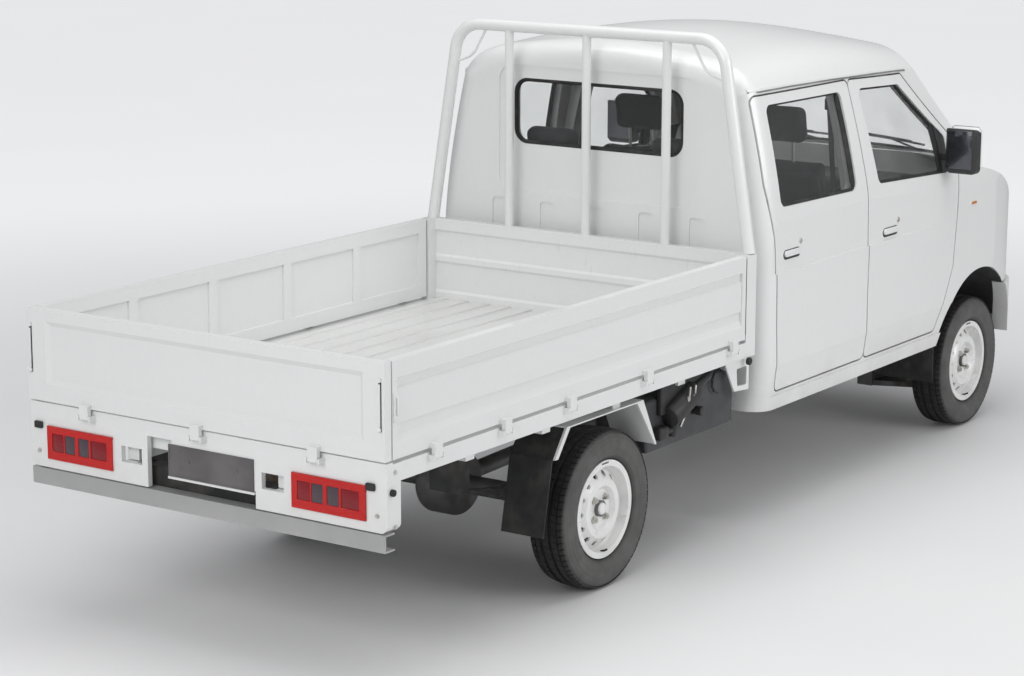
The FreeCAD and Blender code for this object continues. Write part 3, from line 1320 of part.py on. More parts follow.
def make_lamp_panel():
    x0 = GATE_GAP
    x1 = x0 + PANEL_THICKNESS
    panel = box(x0, x1, -HALF_BED, HALF_BED, PANEL_BOTTOM, PANEL_TOP)
    rear = GATE_THICKNESS + GATE_GAP
    wing = box(x0, rear, HALF_BED - PANEL_THICKNESS, HALF_BED, PANEL_BOTTOM, PANEL_TOP)
    low_wing = box(x0, x0 + PANEL_WRAP, HALF_BED - PANEL_THICKNESS, HALF_BED, PANEL_BOTTOM, RAIL_FACE_BOTTOM)
    panel = join([panel, wing, mirror_y(wing), low_wing, mirror_y(low_wing)])
    cuts = []
    lamp = box(-OVERRUN, x1 + OVERRUN, LAMP_IN, LAMP_OUT, TAIL_LAMP_BOTTOM, TAIL_LAMP_TOP)
    port = box(-OVERRUN, x1 + OVERRUN, PORT_INNER, PORT_OUTER, PORT_BOTTOM, PORT_TOP)
    cuts += [lamp, mirror_y(lamp), port, mirror_y(port)]
    cuts.append(box(-OVERRUN, x1 + OVERRUN, -NOTCH_HALF, NOTCH_HALF, PANEL_BOTTOM - OVERRUN, NOTCH_TOP))
    corner_y = HALF_BED - PANEL_CORNER
    corner_z = PANEL_BOTTOM + PANEL_CORNER
    reach = PANEL_WRAP + OVERRUN * 2
    corner = box(-OVERRUN, reach - OVERRUN, corner_y, HALF_BED + OVERRUN, PANEL_BOTTOM - OVERRUN, corner_z)
    corner = corner.cut(Part.makeCylinder(PANEL_CORNER, reach, V(-OVERRUN, corner_y, corner_z), AXIS_X))
    cuts += [corner, mirror_y(corner)]
    tie = box(
        x0 + PLATE_HOLDER, RAIL_REAR_END - SEAT_GAP, RAIL_Y - RAIL_WIDTH / 2, RAIL_Y + RAIL_WIDTH / 2,
        PANEL_BOTTOM, RAIL_REAR_TOP - SEAT_GAP,
    ).cut(port)
    lugs = [face_rear(hinge_lugs(HINGE_OUT + GATE_GAP + PLATE_HOLDER), y) for y in tail_hinge_sides()]
    edge = OVERRUN / 4
    holder = box(x0 + SEAT_GAP, x0 + PLATE_HOLDER, -NOTCH_HALF - edge, PLATE_INNER_Y, PLATE_BOTTOM, NOTCH_TOP + edge)
    middle = (PLATE_INNER_Y - NOTCH_HALF) / 2
    height = (PLATE_BOTTOM + PLATE_TOP) / 2
    for side in (-1, 1):
        at = V(-OVERRUN, middle + side * PLATE_HOLE_SPACING / 2, height)
        holder = holder.cut(Part.makeCylinder(PLATE_HOLE_RADIUS, OVERRUN * 2, at, AXIS_X))
    return join([panel.cut(cuts), holder, tie, mirror_y(tie)] + lugs)


def make_tail_lamps():
    x0 = GATE_GAP - TAIL_LAMP_PROUD
    x1 = GATE_GAP + PANEL_THICKNESS
    gap = SEAT_GAP
    lamp = box(x0, x1, LAMP_IN + gap, LAMP_OUT - gap, TAIL_LAMP_BOTTOM + gap, TAIL_LAMP_TOP - gap)
    return Part.makeCompound([lamp, mirror_y(lamp)])


def make_under_bar():
    x0 = BAR_REAR
    x1 = x0 + BAR_DEPTH
    outer = box(x0, x1, -BAR_HALF, BAR_HALF, BAR_BOTTOM, BAR_TOP)
    low = BAR_BOTTOM + BAR_WALL
    hollow = box(x0 + BAR_WALL, x1 + OVERRUN, -BAR_HALF - OVERRUN, BAR_HALF + OVERRUN, low, BAR_TOP - BAR_WALL)
    bar = outer.cut(hollow)
    half = RAIL_WIDTH / 2
    stay = box(
        x0 + BAR_WALL, RAIL_REAR_END + RAIL_HEIGHT, RAIL_Y - half, RAIL_Y + half, low, RAIL_REAR_TOP - RAIL_HEIGHT,
    )
    return join([bar, stay, mirror_y(stay)])


# Mudguards of the rear wheels, as outlines seen from the side
GUARD_SHEET = 5.0
FLAP_X = 950.0
FLAP_INNER_Y = 560.0
FLAP_OUTER_Y = 738.0
FLAP_BOTTOM = 300.0
FLAP_THICKNESS = 6.0
FENDER_REAR_X = 1010.0
FENDER_TOP_X = 1090.0
FENDER_FRONT_X = 1585.0
FENDER_FRONT_LOW = 1680.0
FENDER_LOW_Z = 570.0
FENDER_FRONT_LOW_Z = 490.0
EDGE_STRIP = 20.0
EDGE_OUTER_Y = 748.0
FRONT_FLAP_X = 3950.0
FRONT_FLAP_INNER_Y = 480.0
FRONT_FLAP_OUTER_Y = 772.0


def make_mudguards():
    low = FLOOR_TOP - DECK_THICKNESS - DECK_MEMBER
    sheet = GUARD_SHEET
    top = box(FENDER_TOP_X - sheet, FENDER_FRONT_X + sheet, FLAP_INNER_Y, EDGE_OUTER_Y, low - sheet, low)
    strip = side_prism(
        [(FENDER_REAR_X, FENDER_LOW_Z), (FENDER_REAR_X + EDGE_STRIP, FENDER_LOW_Z),
         (FENDER_TOP_X + EDGE_STRIP, low), (FENDER_TOP_X - sheet, low)],
        FLAP_OUTER_Y + SEAT_GAP, EDGE_OUTER_Y,
    )
    front = side_prism(
        [(FENDER_FRONT_LOW, FENDER_FRONT_LOW_Z), (FENDER_FRONT_LOW + sheet, FENDER_FRONT_LOW_Z),
         (FENDER_FRONT_X + sheet, low), (FENDER_FRONT_X, low)],
        FLAP_INNER_Y, EDGE_OUTER_Y,
    )
    flange = side_prism(
        [(FENDER_FRONT_LOW - sheet, FENDER_FRONT_LOW_Z), (FENDER_FRONT_LOW + sheet, FENDER_FRONT_LOW_Z),
         (FENDER_FRONT_X + sheet, low), (FENDER_FRONT_X - EDGE_STRIP * 2, low)],
        FLAP_OUTER_Y, EDGE_OUTER_Y,
    )
    side = join([top, strip, front, flange])
    return Part.makeCompound([side, mirror_y(side)])


def make_mud_flaps():
    top = FLOOR_TOP - DECK_THICKNESS - DECK_MEMBER - GUARD_SHEET - SEAT_GAP
    sheet = GUARD_SHEET
    rear = side_prism(
        [(FLAP_X, FLAP_BOTTOM), (FLAP_X + FLAP_THICKNESS, FLAP_BOTTOM), (FENDER_REAR_X, FENDER_LOW_Z),
         (FENDER_TOP_X, top), (FENDER_TOP_X - sheet, top), (FENDER_REAR_X - sheet, FENDER_LOW_Z)],
        FLAP_INNER_Y, FLAP_OUTER_Y,
    )
    cab_flap = box(
        FRONT_FLAP_X, FRONT_FLAP_X + FLAP_THICKNESS, FRONT_FLAP_INNER_Y, FRONT_FLAP_OUTER_Y,
        FLAP_BOTTOM, SILL_BOTTOM - SEAT_GAP,
    )
    flaps = [rear, cab_flap]
    return Part.makeCompound(flaps + [mirror_y(flap) for flap in flaps])


# Cabin fittings
DASH_REAR = 4130.0
DASH_BOTTOM = 850.0
DASH_HALF = 640.0
DASH_CORNER = 35.0
SEAT_Y = 345.0
SEAT_HALF = 240.0
SEAT_REAR = 3250.0
SEAT_FRONT = 3740.0
SEAT_TOP = 850.0
SEAT_BACK_TOP = 1370.0
SEAT_BACK_DEPTH = 130.0
SEAT_RAKE = 110.0
HEADREST_TOP = 1560.0
HEADREST_HALF = 125.0
HEADREST_DEPTH = 90.0
SEAT_CORNER = 28.0
BENCH_GAP = 40.0
BENCH_REAR = CAB_REAR + REAR_WALL + BENCH_GAP
BENCH_HALF = 620.0
BENCH_TOP = 800.0
BENCH_DEPTH = 480.0
BENCH_BACK_TOP = 1300.0
BENCH_HEADREST_TOP = 1500.0


def seat_form(rear, front, y0, y1, base, top, back_top, rest_top, rests):
    side = [
        (rear + SEAT_RAKE, base), (front, base), (front, top), (rear + SEAT_RAKE + SEAT_BACK_DEPTH, top),
        (rear + SEAT_BACK_DEPTH, back_top), (rear, back_top),
    ]
    pieces = [side_prism(side, y0, y1, SEAT_CORNER)]
    for y in rests:
        pieces.append(box(
            rear + SEAT_CORNER / 2, rear + HEADREST_DEPTH, y - HEADREST_HALF, y + HEADREST_HALF,
            back_top - SEAT_CORNER, rest_top,
        ))
    return join(pieces)


def make_front_seats():
    seat = seat_form(
        SEAT_REAR, SEAT_FRONT, SEAT_Y - SEAT_HALF, SEAT_Y + SEAT_HALF, PLINTH_TOP + SEAT_GAP,
        SEAT_TOP, SEAT_BACK_TOP, HEADREST_TOP, (SEAT_Y,),
    )
    return Part.makeCompound([seat, mirror_y(seat)])


def make_bench():
    return seat_form(
        BENCH_REAR, BENCH_REAR + SEAT_RAKE + BENCH_DEPTH, -BENCH_HALF, BENCH_HALF, FLOOR_TOP_Z + SEAT_GAP,
        BENCH_TOP, BENCH_BACK_TOP, BENCH_HEADREST_TOP, (-BENCH_HALF / 2, BENCH_HALF / 2),
    )


def make_dashboard():
    dash = box(DASH_REAR, FIREWALL_X, -DASH_HALF, DASH_HALF, DASH_BOTTOM, DASH_TOP)
    rear_edges = [e for e in dash.Edges if e.BoundBox.XMax < DASH_REAR + SEAT_GAP and e.Length > DASH_HALF]
    dash = dash.makeFillet(DASH_CORNER, rear_edges)
    column = column_cylinder(COLUMN_RADIUS, COLUMN_START, COLUMN_LENGTH)
    bore = column_cylinder(SHAFT_PIN + RUN_GAP, 0, COLUMN_LENGTH)
    return dash.fuse(column).cut(bore)


HELM_X = 3960.0
HELM_Z = 1080.0
WHEEL_CENTRE = V(HELM_X, SEAT_Y, HELM_Z)
COLUMN_TILT = 32.0
COLUMN_RADIUS = 34.0
COLUMN_START = 60.0
COLUMN_LENGTH = 330.0
SHAFT_PIN = 12.0
HELM_RADIUS = 185.0
HELM_RIM = 14.0
HELM_HUB = 48.0
HELM_HUB_DEPTH = 30.0
SPOKE_HALF = 18.0
SPOKE_THICKNESS = 14.0


def column_axis():
    angle = math.radians(COLUMN_TILT)
    return V(math.cos(angle), 0, -math.sin(angle))


def column_cylinder(radius, start, length):
    axis = column_axis()
    return Part.makeCylinder(radius, length, WHEEL_CENTRE + axis * start, axis)


def make_helm():
    axis = column_axis()
    rim = Part.makeTorus(HELM_RADIUS, HELM_RIM)
    cap = Part.makeCylinder(HELM_HUB, HELM_HUB_DEPTH, V(0, 0, 0), AXIS_Z)
    spoke = box(0, HELM_RADIUS, -SPOKE_HALF, SPOKE_HALF, 0, SPOKE_THICKNESS)
    pieces = [rim, cap]
    for turn in (0, 120, 240):
        arm = spoke.copy()
        arm.rotate(V(0, 0, 0), AXIS_Z, turn)
        pieces.append(arm)
    pin = Part.makeCylinder(SHAFT_PIN, COLUMN_START * 2, V(0, 0, 0), AXIS_Z)
    pieces.append(pin)
    helm = join(pieces)
    helm.rotate(V(0, 0, 0), AXIS_Y, 90 + COLUMN_TILT)
    helm.translate(WHEEL_CENTRE)
    return helm


def make_grille(form, back):
    gap = SEAT_GAP
    wall = GRILLE_FRAME
    x0 = BAY_FRONT - OVERRUN
    x1 = NOSE_TIP + OVERRUN
    frame = box(x0, x1, -GRILLE_HALF + gap, GRILLE_HALF - gap, GRILLE_BOTTOM + gap, GRILLE_TOP - gap)
    hole = box(x0, x1, -GRILLE_HALF + wall, GRILLE_HALF - wall, GRILLE_BOTTOM + wall, GRILLE_TOP - wall)
    bars = [frame.cut(hole)]
    for i in range(GRILLE_BARS):
        z = GRILLE_BOTTOM + (GRILLE_TOP - GRILLE_BOTTOM) * (i + 1) / (GRILLE_BARS + 1)
        bars.append(box(x0, x1, -GRILLE_HALF + wall / 2, GRILLE_HALF - wall / 2, z - wall / 3, z + wall / 3))
    return join(bars).common(form).cut(back)


def build():
    form = cab_form()
    skin = even_loft(LAMP_DEPTH).common(nose_limit(LAMP_DEPTH))
    core = nose_limit(BUMPER_DEPTH)
    cab = make_cab(form, skin, core)
    inner = cab_loft(SIDE_WALL, FRAME_WALL, ROOF_WALL)
    wall = form.cut(inner)
    layer = even_loft(GLASS_DEPTH).cut(even_loft(GLASS_DEPTH + GLASS_THICKNESS))
    parts = {}
    parts["cab_body"] = cab
    for name in ("front", "rear"):
        door = make_door(wall, name)
        glass = make_glass(layer, name)
        parts["door_" + name + "_left"] = door
        parts["door_" + name + "_right"] = mirror_y(door)
        parts["glass_" + name + "_left"] = glass
        parts["glass_" + name + "_right"] = mirror_y(glass)
    mirror = make_mirror()
    parts["mirror_left"] = mirror
    parts["mirror_right"] = mirror_y(mirror)
    screen_layer = even_loft(0).common(front_limit(SCREEN_DEPTH))
    screen_layer = screen_layer.cut(front_limit(SCREEN_DEPTH + SCREEN_THICKNESS))
    screen = screen_layer.common(screen_prism(-SEAT_GAP))
    back_x = CAB_REAR + GLASS_DEPTH
    back_layer = box(back_x, back_x + GLASS_THICKNESS, -CAB_WIDTH, CAB_WIDTH, SILL_BOTTOM, CAB_TOP)
    back = back_window_prism(-SEAT_GAP).common(back_layer)
    parts["cab_glass"] = Part.makeCompound([screen, back])
    under = even_loft(SKIN_WALL).common(nose_limit(SKIN_WALL))
    parts["bonnet"] = form.common(bonnet_prism()).cut([under] + bonnet_hinges()[1])
    lamp = form.common(lamp_region()).cut(skin)
    parts["headlamps"] = Part.makeCompound([lamp, mirror_y(lamp)])
    parts["grille"] = make_grille(form, core)
    bumper_outer = nose_limit(-BUMPER_PROUD)
    bumper = bumper_outer.common(bumper_region(BUMPER_BOTTOM, BUMPER_TOP - GATE_GAP)).cut(core)
    arch = arch_cylinder(ARCH_RADIUS, 0, CAB_WIDTH)
    intakes = [piece.cut(nose_limit(INTAKE_DEPTH)) for piece in bumper_intakes()]
    parts["front_bumper"] = bumper.cut([arch, mirror_y(arch)] + intakes)
    parts["dashboard"] = make_dashboard()
    parts["steering_wheel"] = make_helm()
    parts["front_seats"] = make_front_seats()
    parts["rear_bench"] = make_bench()
    parts["chassis_frame"] = make_chassis()
    parts["rear_axle"] = make_rear_axle()
    parts["leaf_springs"] = make_leaf_springs()
    parts["front_suspension"] = make_front_suspension()
    knuckle = make_knuckle()
    parts["knuckle_left"] = knuckle
    parts["knuckle_right"] = mirror_y(knuckle)
    wheel = make_wheel()
    tyre = make_tyre()
    for end, x in (("front", FRONT_AXLE_X), ("rear", REAR_AXLE_X)):
        for side, label in ((1, "left"), (-1, "right")):
            parts["wheel_" + end + "_" + label] = at_wheel(wheel, x, side)
            parts["tyre_" + end + "_" + label] = at_wheel(tyre, x, side)
    parts["engine_block"] = make_engine()
    parts["fuel_tank"] = make_tank()
    parts["exhaust"] = make_exhaust()
    parts["bed_deck"] = make_deck()
    parts["headboard"] = make_headboard()
    parts["guard_frame"] = make_guard()
    gate = make_side_gate()
    parts["side_gate_left"] = gate
    parts["side_gate_right"] = mirror_y(gate)
    parts["tailgate"] = make_tailgate()
    parts["lamp_panel"] = make_lamp_panel()
    parts["tail_lamps"] = make_tail_lamps()
    parts["under_run_bar"] = make_under_bar()
    parts["mudguards"] = make_mudguards()
    parts["mud_flaps"] = make_mud_flaps()
    return parts


def export(parts):
    os.makedirs("parts", exist_ok=True)
    rear_tip = -HINGE_OUT - LUG_REACH
    front_tip = NOSE_TIP + BUMPER_PROUD
    middle = (rear_tip + front_tip) / 2
    for name, shape in parts.items():
        moved = shape.copy()
        moved.translate(V(-middle, 0, 0))
        moved.exportStep("parts/" + name + ".step")


export(build())
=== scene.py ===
# %% [markdown]
# # A double-cab pickup with a drop-side bed
#
# This notebook dresses a small double-cab pickup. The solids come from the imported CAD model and
# stay where they are. Blender adds the finishes, the road tread, the seals and trim, the seats
# and the small hardware. Each cell does one thing, and the text before it says what the piece is
# on the real truck and why it is made this way.

# %% Load the fixed frame
import math
import bmesh
import bpy
from mathutils import Matrix, Vector
from mathutils.bvhtree import BVHTree


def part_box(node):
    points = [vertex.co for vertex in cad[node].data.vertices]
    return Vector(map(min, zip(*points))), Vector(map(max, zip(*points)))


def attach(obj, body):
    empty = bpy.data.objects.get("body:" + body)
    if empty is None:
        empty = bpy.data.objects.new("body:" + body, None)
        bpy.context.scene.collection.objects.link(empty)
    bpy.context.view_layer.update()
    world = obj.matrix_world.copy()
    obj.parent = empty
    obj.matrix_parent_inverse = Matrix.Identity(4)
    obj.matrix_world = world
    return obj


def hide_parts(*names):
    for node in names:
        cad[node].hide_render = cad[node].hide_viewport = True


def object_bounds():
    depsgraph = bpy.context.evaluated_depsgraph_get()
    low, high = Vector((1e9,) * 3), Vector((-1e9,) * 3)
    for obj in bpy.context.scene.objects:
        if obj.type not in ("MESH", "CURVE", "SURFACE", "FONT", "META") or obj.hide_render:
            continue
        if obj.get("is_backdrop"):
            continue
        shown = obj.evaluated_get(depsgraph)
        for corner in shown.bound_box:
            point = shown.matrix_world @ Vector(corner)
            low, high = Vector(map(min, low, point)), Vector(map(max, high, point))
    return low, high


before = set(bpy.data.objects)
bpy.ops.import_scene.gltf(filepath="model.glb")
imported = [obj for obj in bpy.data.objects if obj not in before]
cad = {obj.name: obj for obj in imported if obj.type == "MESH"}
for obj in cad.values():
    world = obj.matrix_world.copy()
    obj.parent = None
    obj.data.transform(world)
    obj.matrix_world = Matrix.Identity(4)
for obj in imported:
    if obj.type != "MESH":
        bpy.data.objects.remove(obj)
cad_low, cad_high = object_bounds()
print("truck", [round(c, 3) for c in cad_high - cad_low], "m")

# %% [markdown]
# ## Places read from the frame
#
# Every piece that is added sits on a solid of the frame. Where a solid's box gives its place, the
# box is read, and elsewhere a ray finds the skin. The truck faces +X, its left side is +Y, and the
# ground is at Z = 0.

# %% Boxes and sizes
MM = 0.001
CAB_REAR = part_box("cab_body")[0].x
PANEL_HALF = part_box("lamp_panel")[1].y
tyre_boxes = {name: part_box(name) for name in cad if name.startswith("tyre_")}
wheel_radius = tyre_boxes["tyre_rear_left"][1].z / 2
print("wheel radius", round(wheel_radius, 4), "cab rear", round(CAB_REAR, 3))

# %% [markdown]
# ## Helpers for meshes
#
# A finished piece is one mesh whose object sits at the origin. These helpers turn a bmesh into
# such an object, give it a finish, mark edges that should look sharp, and let it ride on the body
# that carries it.


# %% Mesh helpers
def sharpen(bm, limit=35):
    angle = math.radians(limit)
    for face in bm.faces:
        face.smooth = True
    for edge in bm.edges:
        if len(edge.link_faces) == 2:
            edge.smooth = edge.calc_face_angle(0) < angle


def make_object(name, bm, finish, body, limit=35):
    sharpen(bm, limit)
    mesh = bpy.data.meshes.new(name)
    bm.to_mesh(mesh)
    bm.free()
    mesh.materials.append(finish)
    piece = bpy.data.objects.new(name, mesh)
    bpy.context.scene.collection.objects.link(piece)
    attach(piece, body)
    return piece


# %% [markdown]
# ### Boxes, rods and bolts
#
# Pressed pieces start as a box with rounded edges, bars as a rod, and a bolt head as a six-sided
# rod on a washer. They are drawn into a bmesh that may hold other shapes already.


# %% Boxes, rods and bolts
def plate(bm, x0, x1, y0, y1, z0, z1, bevel=0.0, segments=2):
    # A box with rounded edges, the usual start of a pressed or moulded piece.
    made = bmesh.ops.create_cube(bm, size=1.0)["verts"]
    size = Vector((abs(x1 - x0), abs(y1 - y0), abs(z1 - z0)))
    centre = Vector(((x0 + x1) / 2, (y0 + y1) / 2, (z0 + z1) / 2))
    bmesh.ops.scale(bm, vec=size, verts=made)
    bmesh.ops.translate(bm, vec=centre, verts=made)
    if bevel > 0:
        edges = list({edge for vert in made for edge in vert.link_edges})
        bmesh.ops.bevel(bm, geom=edges, offset=bevel, segments=segments, affect="EDGES", profile=0.5)


def rod(bm, start, end, radius, segments=16, end_radius=None, bevel=0.0):
    # A closed round bar between two points.
    start = Vector(start)
    run = Vector(end) - start
    turn = run.to_track_quat("Z", "Y").to_matrix().to_4x4()
    place = Matrix.Translation(start + run / 2) @ turn
    tip = radius if end_radius is None else end_radius
    made = bmesh.ops.create_cone(
        bm, cap_ends=True, segments=segments, radius1=radius, radius2=tip, depth=run.length, matrix=place
    )["verts"]
    if bevel > 0:
        rims = [e for e in {e for v in made for e in v.link_edges} if e.calc_face_angle(0) > math.radians(60)]
        bmesh.ops.bevel(bm, geom=rims, offset=bevel, segments=2, affect="EDGES", profile=0.5)


def hexagon(bm, centre, axis, across, height):
    # A bolt head or nut on its washer face, which is a quarter of the height.
    centre = Vector(centre)
    axis = Vector(axis).normalized()
    washer_top = centre + axis * height * 0.25
    rod(bm, centre, washer_top, across * 0.62, 20)
    rod(bm, washer_top, centre + axis * height, across * 0.56, 6, across * 0.52)


trial = bmesh.new()
hexagon(trial, (0, 0, 0), (0, 0, 1), 13 * MM, 6 * MM)
print("faces of a bolt head", len(trial.faces))
trial.free()

# %% [markdown]
# ### Prisms and strips
#
# A rounded flap is an outline pulled out along one direction. A gutter or a belt is a flat band
# that follows points: a section is set at each point and the sections are joined.


# %% Prisms and strips
def closed_prism(bm, points, shift):
    # A flat outline pulled out along a vector, with both ends closed.
    shift = Vector(shift)
    front = [bm.verts.new(Vector(p)) for p in points]
    back = [bm.verts.new(Vector(p) + shift) for p in points]
    bm.faces.new(front)
    bm.faces.new(list(reversed(back)))
    count = len(points)
    for i in range(count):
        j = (i + 1) % count
        bm.faces.new((front[j], front[i], back[i], back[j]))
    bmesh.ops.recalc_face_normals(bm, faces=bm.faces)


def strip_along(bm, points, width, height, out):
    # A band of rectangular section that follows points; `out` gives the outward side at each point.
    rings = []
    count = len(points)
    for i, here in enumerate(points):
        here = Vector(here)
        ahead = Vector(points[min(i + 1, count - 1)]) - Vector(points[max(i - 1, 0)])
        ahead.normalize()
        side = out(here).normalized() if callable(out) else Vector(out).normalized()
        across = ahead.cross(side).normalized()
        rings.append([
            bm.verts.new(here + across * (width / 2) * a + side * height * b)
            for a, b in ((-1, 0), (-0.85, 1), (0.85, 1), (1, 0))
        ])
    for first, second in zip(rings, rings[1:]):
        for k in range(4):
            j = (k + 1) % 4
            bm.faces.new((first[k], first[j], second[j], second[k]))
    bm.faces.new(list(reversed(rings[0])))
    bm.faces.new(rings[-1])
    bmesh.ops.recalc_face_normals(bm, faces=bm.faces)


trial = bmesh.new()
strip_along(trial, [(0, 0, 0), (0.1, 0, 0), (0.2, 0.02, 0)], 9 * MM, 7 * MM, Vector((0, 0, 1)))
print("faces of a strip of two spans", len(trial.faces))
trial.free()

# %% [markdown]
# ## Rays onto the frame
#
# Handles, seals and rails follow curved panels. A ray cast onto a solid of the frame finds the
# exact skin point and its outward direction, so a trim piece always touches what carries it.

# %% Ray helpers
trees = {}


def tree_of(*names):
    # One search tree over the triangles of one or more solids.
    if names not in trees:
        points, faces = [], []
        for name in names:
            mesh = cad[name].data
            first = len(points)
            points += [v.co.copy() for v in mesh.vertices]
            faces += [tuple(first + i for i in p.vertices) for p in mesh.polygons]
        trees[names] = BVHTree.FromPolygons(points, faces)
    return trees[names]


def skin(names, start, direction):
    # Where a ray first meets the named solids: the point and the outward normal, or nothing.
    direction = Vector(direction).normalized()
    point, normal, _, _ = tree_of(*names).ray_cast(Vector(start), direction)
    if point is None:
        return None, None
    if normal.dot(direction) > 0:
        normal = -normal
    return point, normal


ASIDE, AHEAD = 1.2, 0.3


def side_skin(names, side, x, z):
    # The outer skin at a station and height, on the left for 1 and on the right for -1.
    return skin(names, (x, side * ASIDE, z), (0, -side, 0))


def front_skin(names, y, z):
    # The skin that a ray from ahead of the nose meets.
    return skin(names, (cad_high.x + AHEAD, y, z), (-1, 0, 0))


print("nose at", round(front_skin(("front_bumper",), 0, 0.585)[0].x, 3))

# %% [markdown]
# ### Stations along the truck
#
# Places along the truck are given as a distance from the tailgate's outer face, as on a drawing of
# the bed, and turned into the frame's X where they are used.

# %% Stations
LUG_REACH = 24 * MM
ZERO = cad_low.x + LUG_REACH


def station(x):
    # Distance from the tailgate's outer face, turned into the frame's X. The hinge lugs stand out
    # behind that face, so the frame starts a lug's reach before it.
    return ZERO + x


waist_point, _ = side_skin(("cab_body", "door_front_left", "door_rear_left"), 1, station(3.0), 1.0)
print("side skin at the waist", round(waist_point.y, 4))

# %% [markdown]
# ## Finishes
#
# Each finish is a small node tree on object coordinates. Colour and roughness drift a little, as
# paint, rubber and metal do, and a fine relief breaks up the highlights. Anything that is the same
# all over, such as the metal share or the coat, is set on the shader itself.


# %% Finish helpers
class Finish:
    # A material with one principled shader, to which patterns are added one by one.
    def __init__(self, name, colour, roughness, **sockets):
        self.material = bpy.data.materials.new(name)
        self.material.use_nodes = True
        self.nodes = self.material.node_tree.nodes
        self.links = self.material.node_tree.links
        self.shader = self.nodes["Principled BSDF"]
        self.coords = self.nodes.new("ShaderNodeTexCoord").outputs["Object"]
        self.normal = None
        self.shader.inputs["Base Color"].default_value = (*colour, 1)
        self.shader.inputs["Roughness"].default_value = roughness
        for key, value in sockets.items():
            self.shader.inputs[key.replace("_", " ")].default_value = value

    def noise(self, scale, detail=3.0, stretch=None):
        texture = self.nodes.new("ShaderNodeTexNoise")
        texture.inputs["Scale"].default_value = scale
        texture.inputs["Detail"].default_value = detail
        self.links.new(self.placed(stretch), texture.inputs["Vector"])
        return texture.outputs["Fac"]

    def cells(self, scale, feature="F1", stretch=None):
        texture = self.nodes.new("ShaderNodeTexVoronoi")
        texture.feature = feature
        texture.inputs["Scale"].default_value = scale
        self.links.new(self.placed(stretch), texture.inputs["Vector"])
        return texture.outputs["Distance"]

    def bands(self, scale, axis="X", distortion=0.0, profile="SIN"):
        texture = self.nodes.new("ShaderNodeTexWave")
        texture.bands_direction = axis
        texture.wave_profile = profile
        texture.inputs["Scale"].default_value = scale
        texture.inputs["Distortion"].default_value = distortion
        self.links.new(self.coords, texture.inputs["Vector"])
        return texture.outputs["Fac"]

    def placed(self, stretch):
        if stretch is None:
            return self.coords
        mapping = self.nodes.new("ShaderNodeMapping")
        mapping.inputs["Scale"].default_value = stretch
        self.links.new(self.coords, mapping.inputs["Vector"])
        return mapping.outputs["Vector"]

    def height(self, axis="Z"):
        split = self.nodes.new("ShaderNodeSeparateXYZ")
        self.links.new(self.coords, split.inputs["Vector"])
        return split.outputs[axis]

    def upward(self):
        # How far a surface faces up, for painted shade on faces that look up.
        split = self.nodes.new("ShaderNodeSeparateXYZ")
        self.links.new(self.coords.node.outputs["Normal"], split.inputs["Vector"])
        return split.outputs["Z"]

    def ramp(self, value, low, high, start=0.0, end=1.0):
        node = self.nodes.new("ShaderNodeMapRange")
        node.interpolation_type = "SMOOTHSTEP"
        node.inputs["From Min"].default_value = low
        node.inputs["From Max"].default_value = high
        node.inputs["To Min"].default_value = start
        node.inputs["To Max"].default_value = end
        self.links.new(value, node.inputs["Value"])
        return node.outputs["Result"]

    def both(self, first, second):
        node = self.nodes.new("ShaderNodeMath")
        node.operation = "MULTIPLY"
        self.links.new(first, node.inputs[0])
        self.links.new(second, node.inputs[1])
        return node.outputs["Value"]

    def colour(self, share, other):
        # Mixes another colour over what the base colour holds so far.
        socket = self.shader.inputs["Base Color"]
        node = self.nodes.new("ShaderNodeMix")
        node.data_type = "RGBA"
        if socket.is_linked:
            self.links.new(socket.links[0].from_socket, node.inputs[6])
        else:
            node.inputs[6].default_value = socket.default_value
        node.inputs[7].default_value = (*other, 1)
        self.links.new(share, node.inputs[0])
        self.links.new(node.outputs[2], socket)

    def rough(self, value, low, high):
        self.links.new(self.ramp(value, 0.3, 0.7, low, high), self.shader.inputs["Roughness"])

    def relief(self, height, distance, strength=1.0):
        bump = self.nodes.new("ShaderNodeBump")
        bump.inputs["Distance"].default_value = distance
        bump.inputs["Strength"].default_value = strength
        self.links.new(height, bump.inputs["Height"])
        if self.normal is not None:
            self.links.new(self.normal, bump.inputs["Normal"])
        self.normal = bump.outputs["Normal"]
        self.links.new(self.normal, self.shader.inputs["Normal"])


# %% [markdown]
# ## Paint
#
# The truck is sprayed gloss white outside and inside the bed. Spray paint has a faint orange peel,
# and road dust gathers low on the panels. The bed's floor is scuffed by loads, and its faces that look
# up carry painted shade, so it gets its own version.


# %% White paint
def white_finish(name, dust_top, scuffs_and_top_shade, base=(0.80, 0.805, 0.80)):
    paint = Finish(name, base, 0.30, Coat_Weight=0.5, Coat_Roughness=0.08)
    paint.colour(paint.ramp(paint.noise(45, 3), 0.2, 0.8), tuple(c * 0.985 for c in base))
    paint.rough(paint.noise(60, 3), 0.285, 0.325)
    low = paint.ramp(paint.height(), 0.40, dust_top, 0.5, 0.0)
    dust = paint.both(low, paint.ramp(paint.noise(7, 3), 0.2, 0.85))
    paint.colour(dust, (0.56, 0.545, 0.52))
    if scuffs_and_top_shade:
        # Painted shade: faces that look up are painted darker, in broad patches.
        top_shade_patches = paint.ramp(paint.noise(2.5, 3), 0.2, 0.8, 0.65, 1.0)
        top_shade = paint.ramp(paint.upward(), 0.6, 0.95, 0.0, 0.75)
        paint.colour(paint.both(top_shade, top_shade_patches), (0.57, 0.565, 0.555))
        marks = paint.ramp(paint.noise(16, 8, (0.2, 4.0, 1.0)), 0.60, 0.78, 0.0, 0.4)
        paint.colour(marks, (0.66, 0.66, 0.65))
        specks = paint.ramp(paint.cells(70), 0.0, 0.14, 0.2, 0.0)
        paint.colour(specks, (0.45, 0.44, 0.42))
    paint.relief(paint.noise(38, 1), 0.0004, 0.05)
    return paint.material


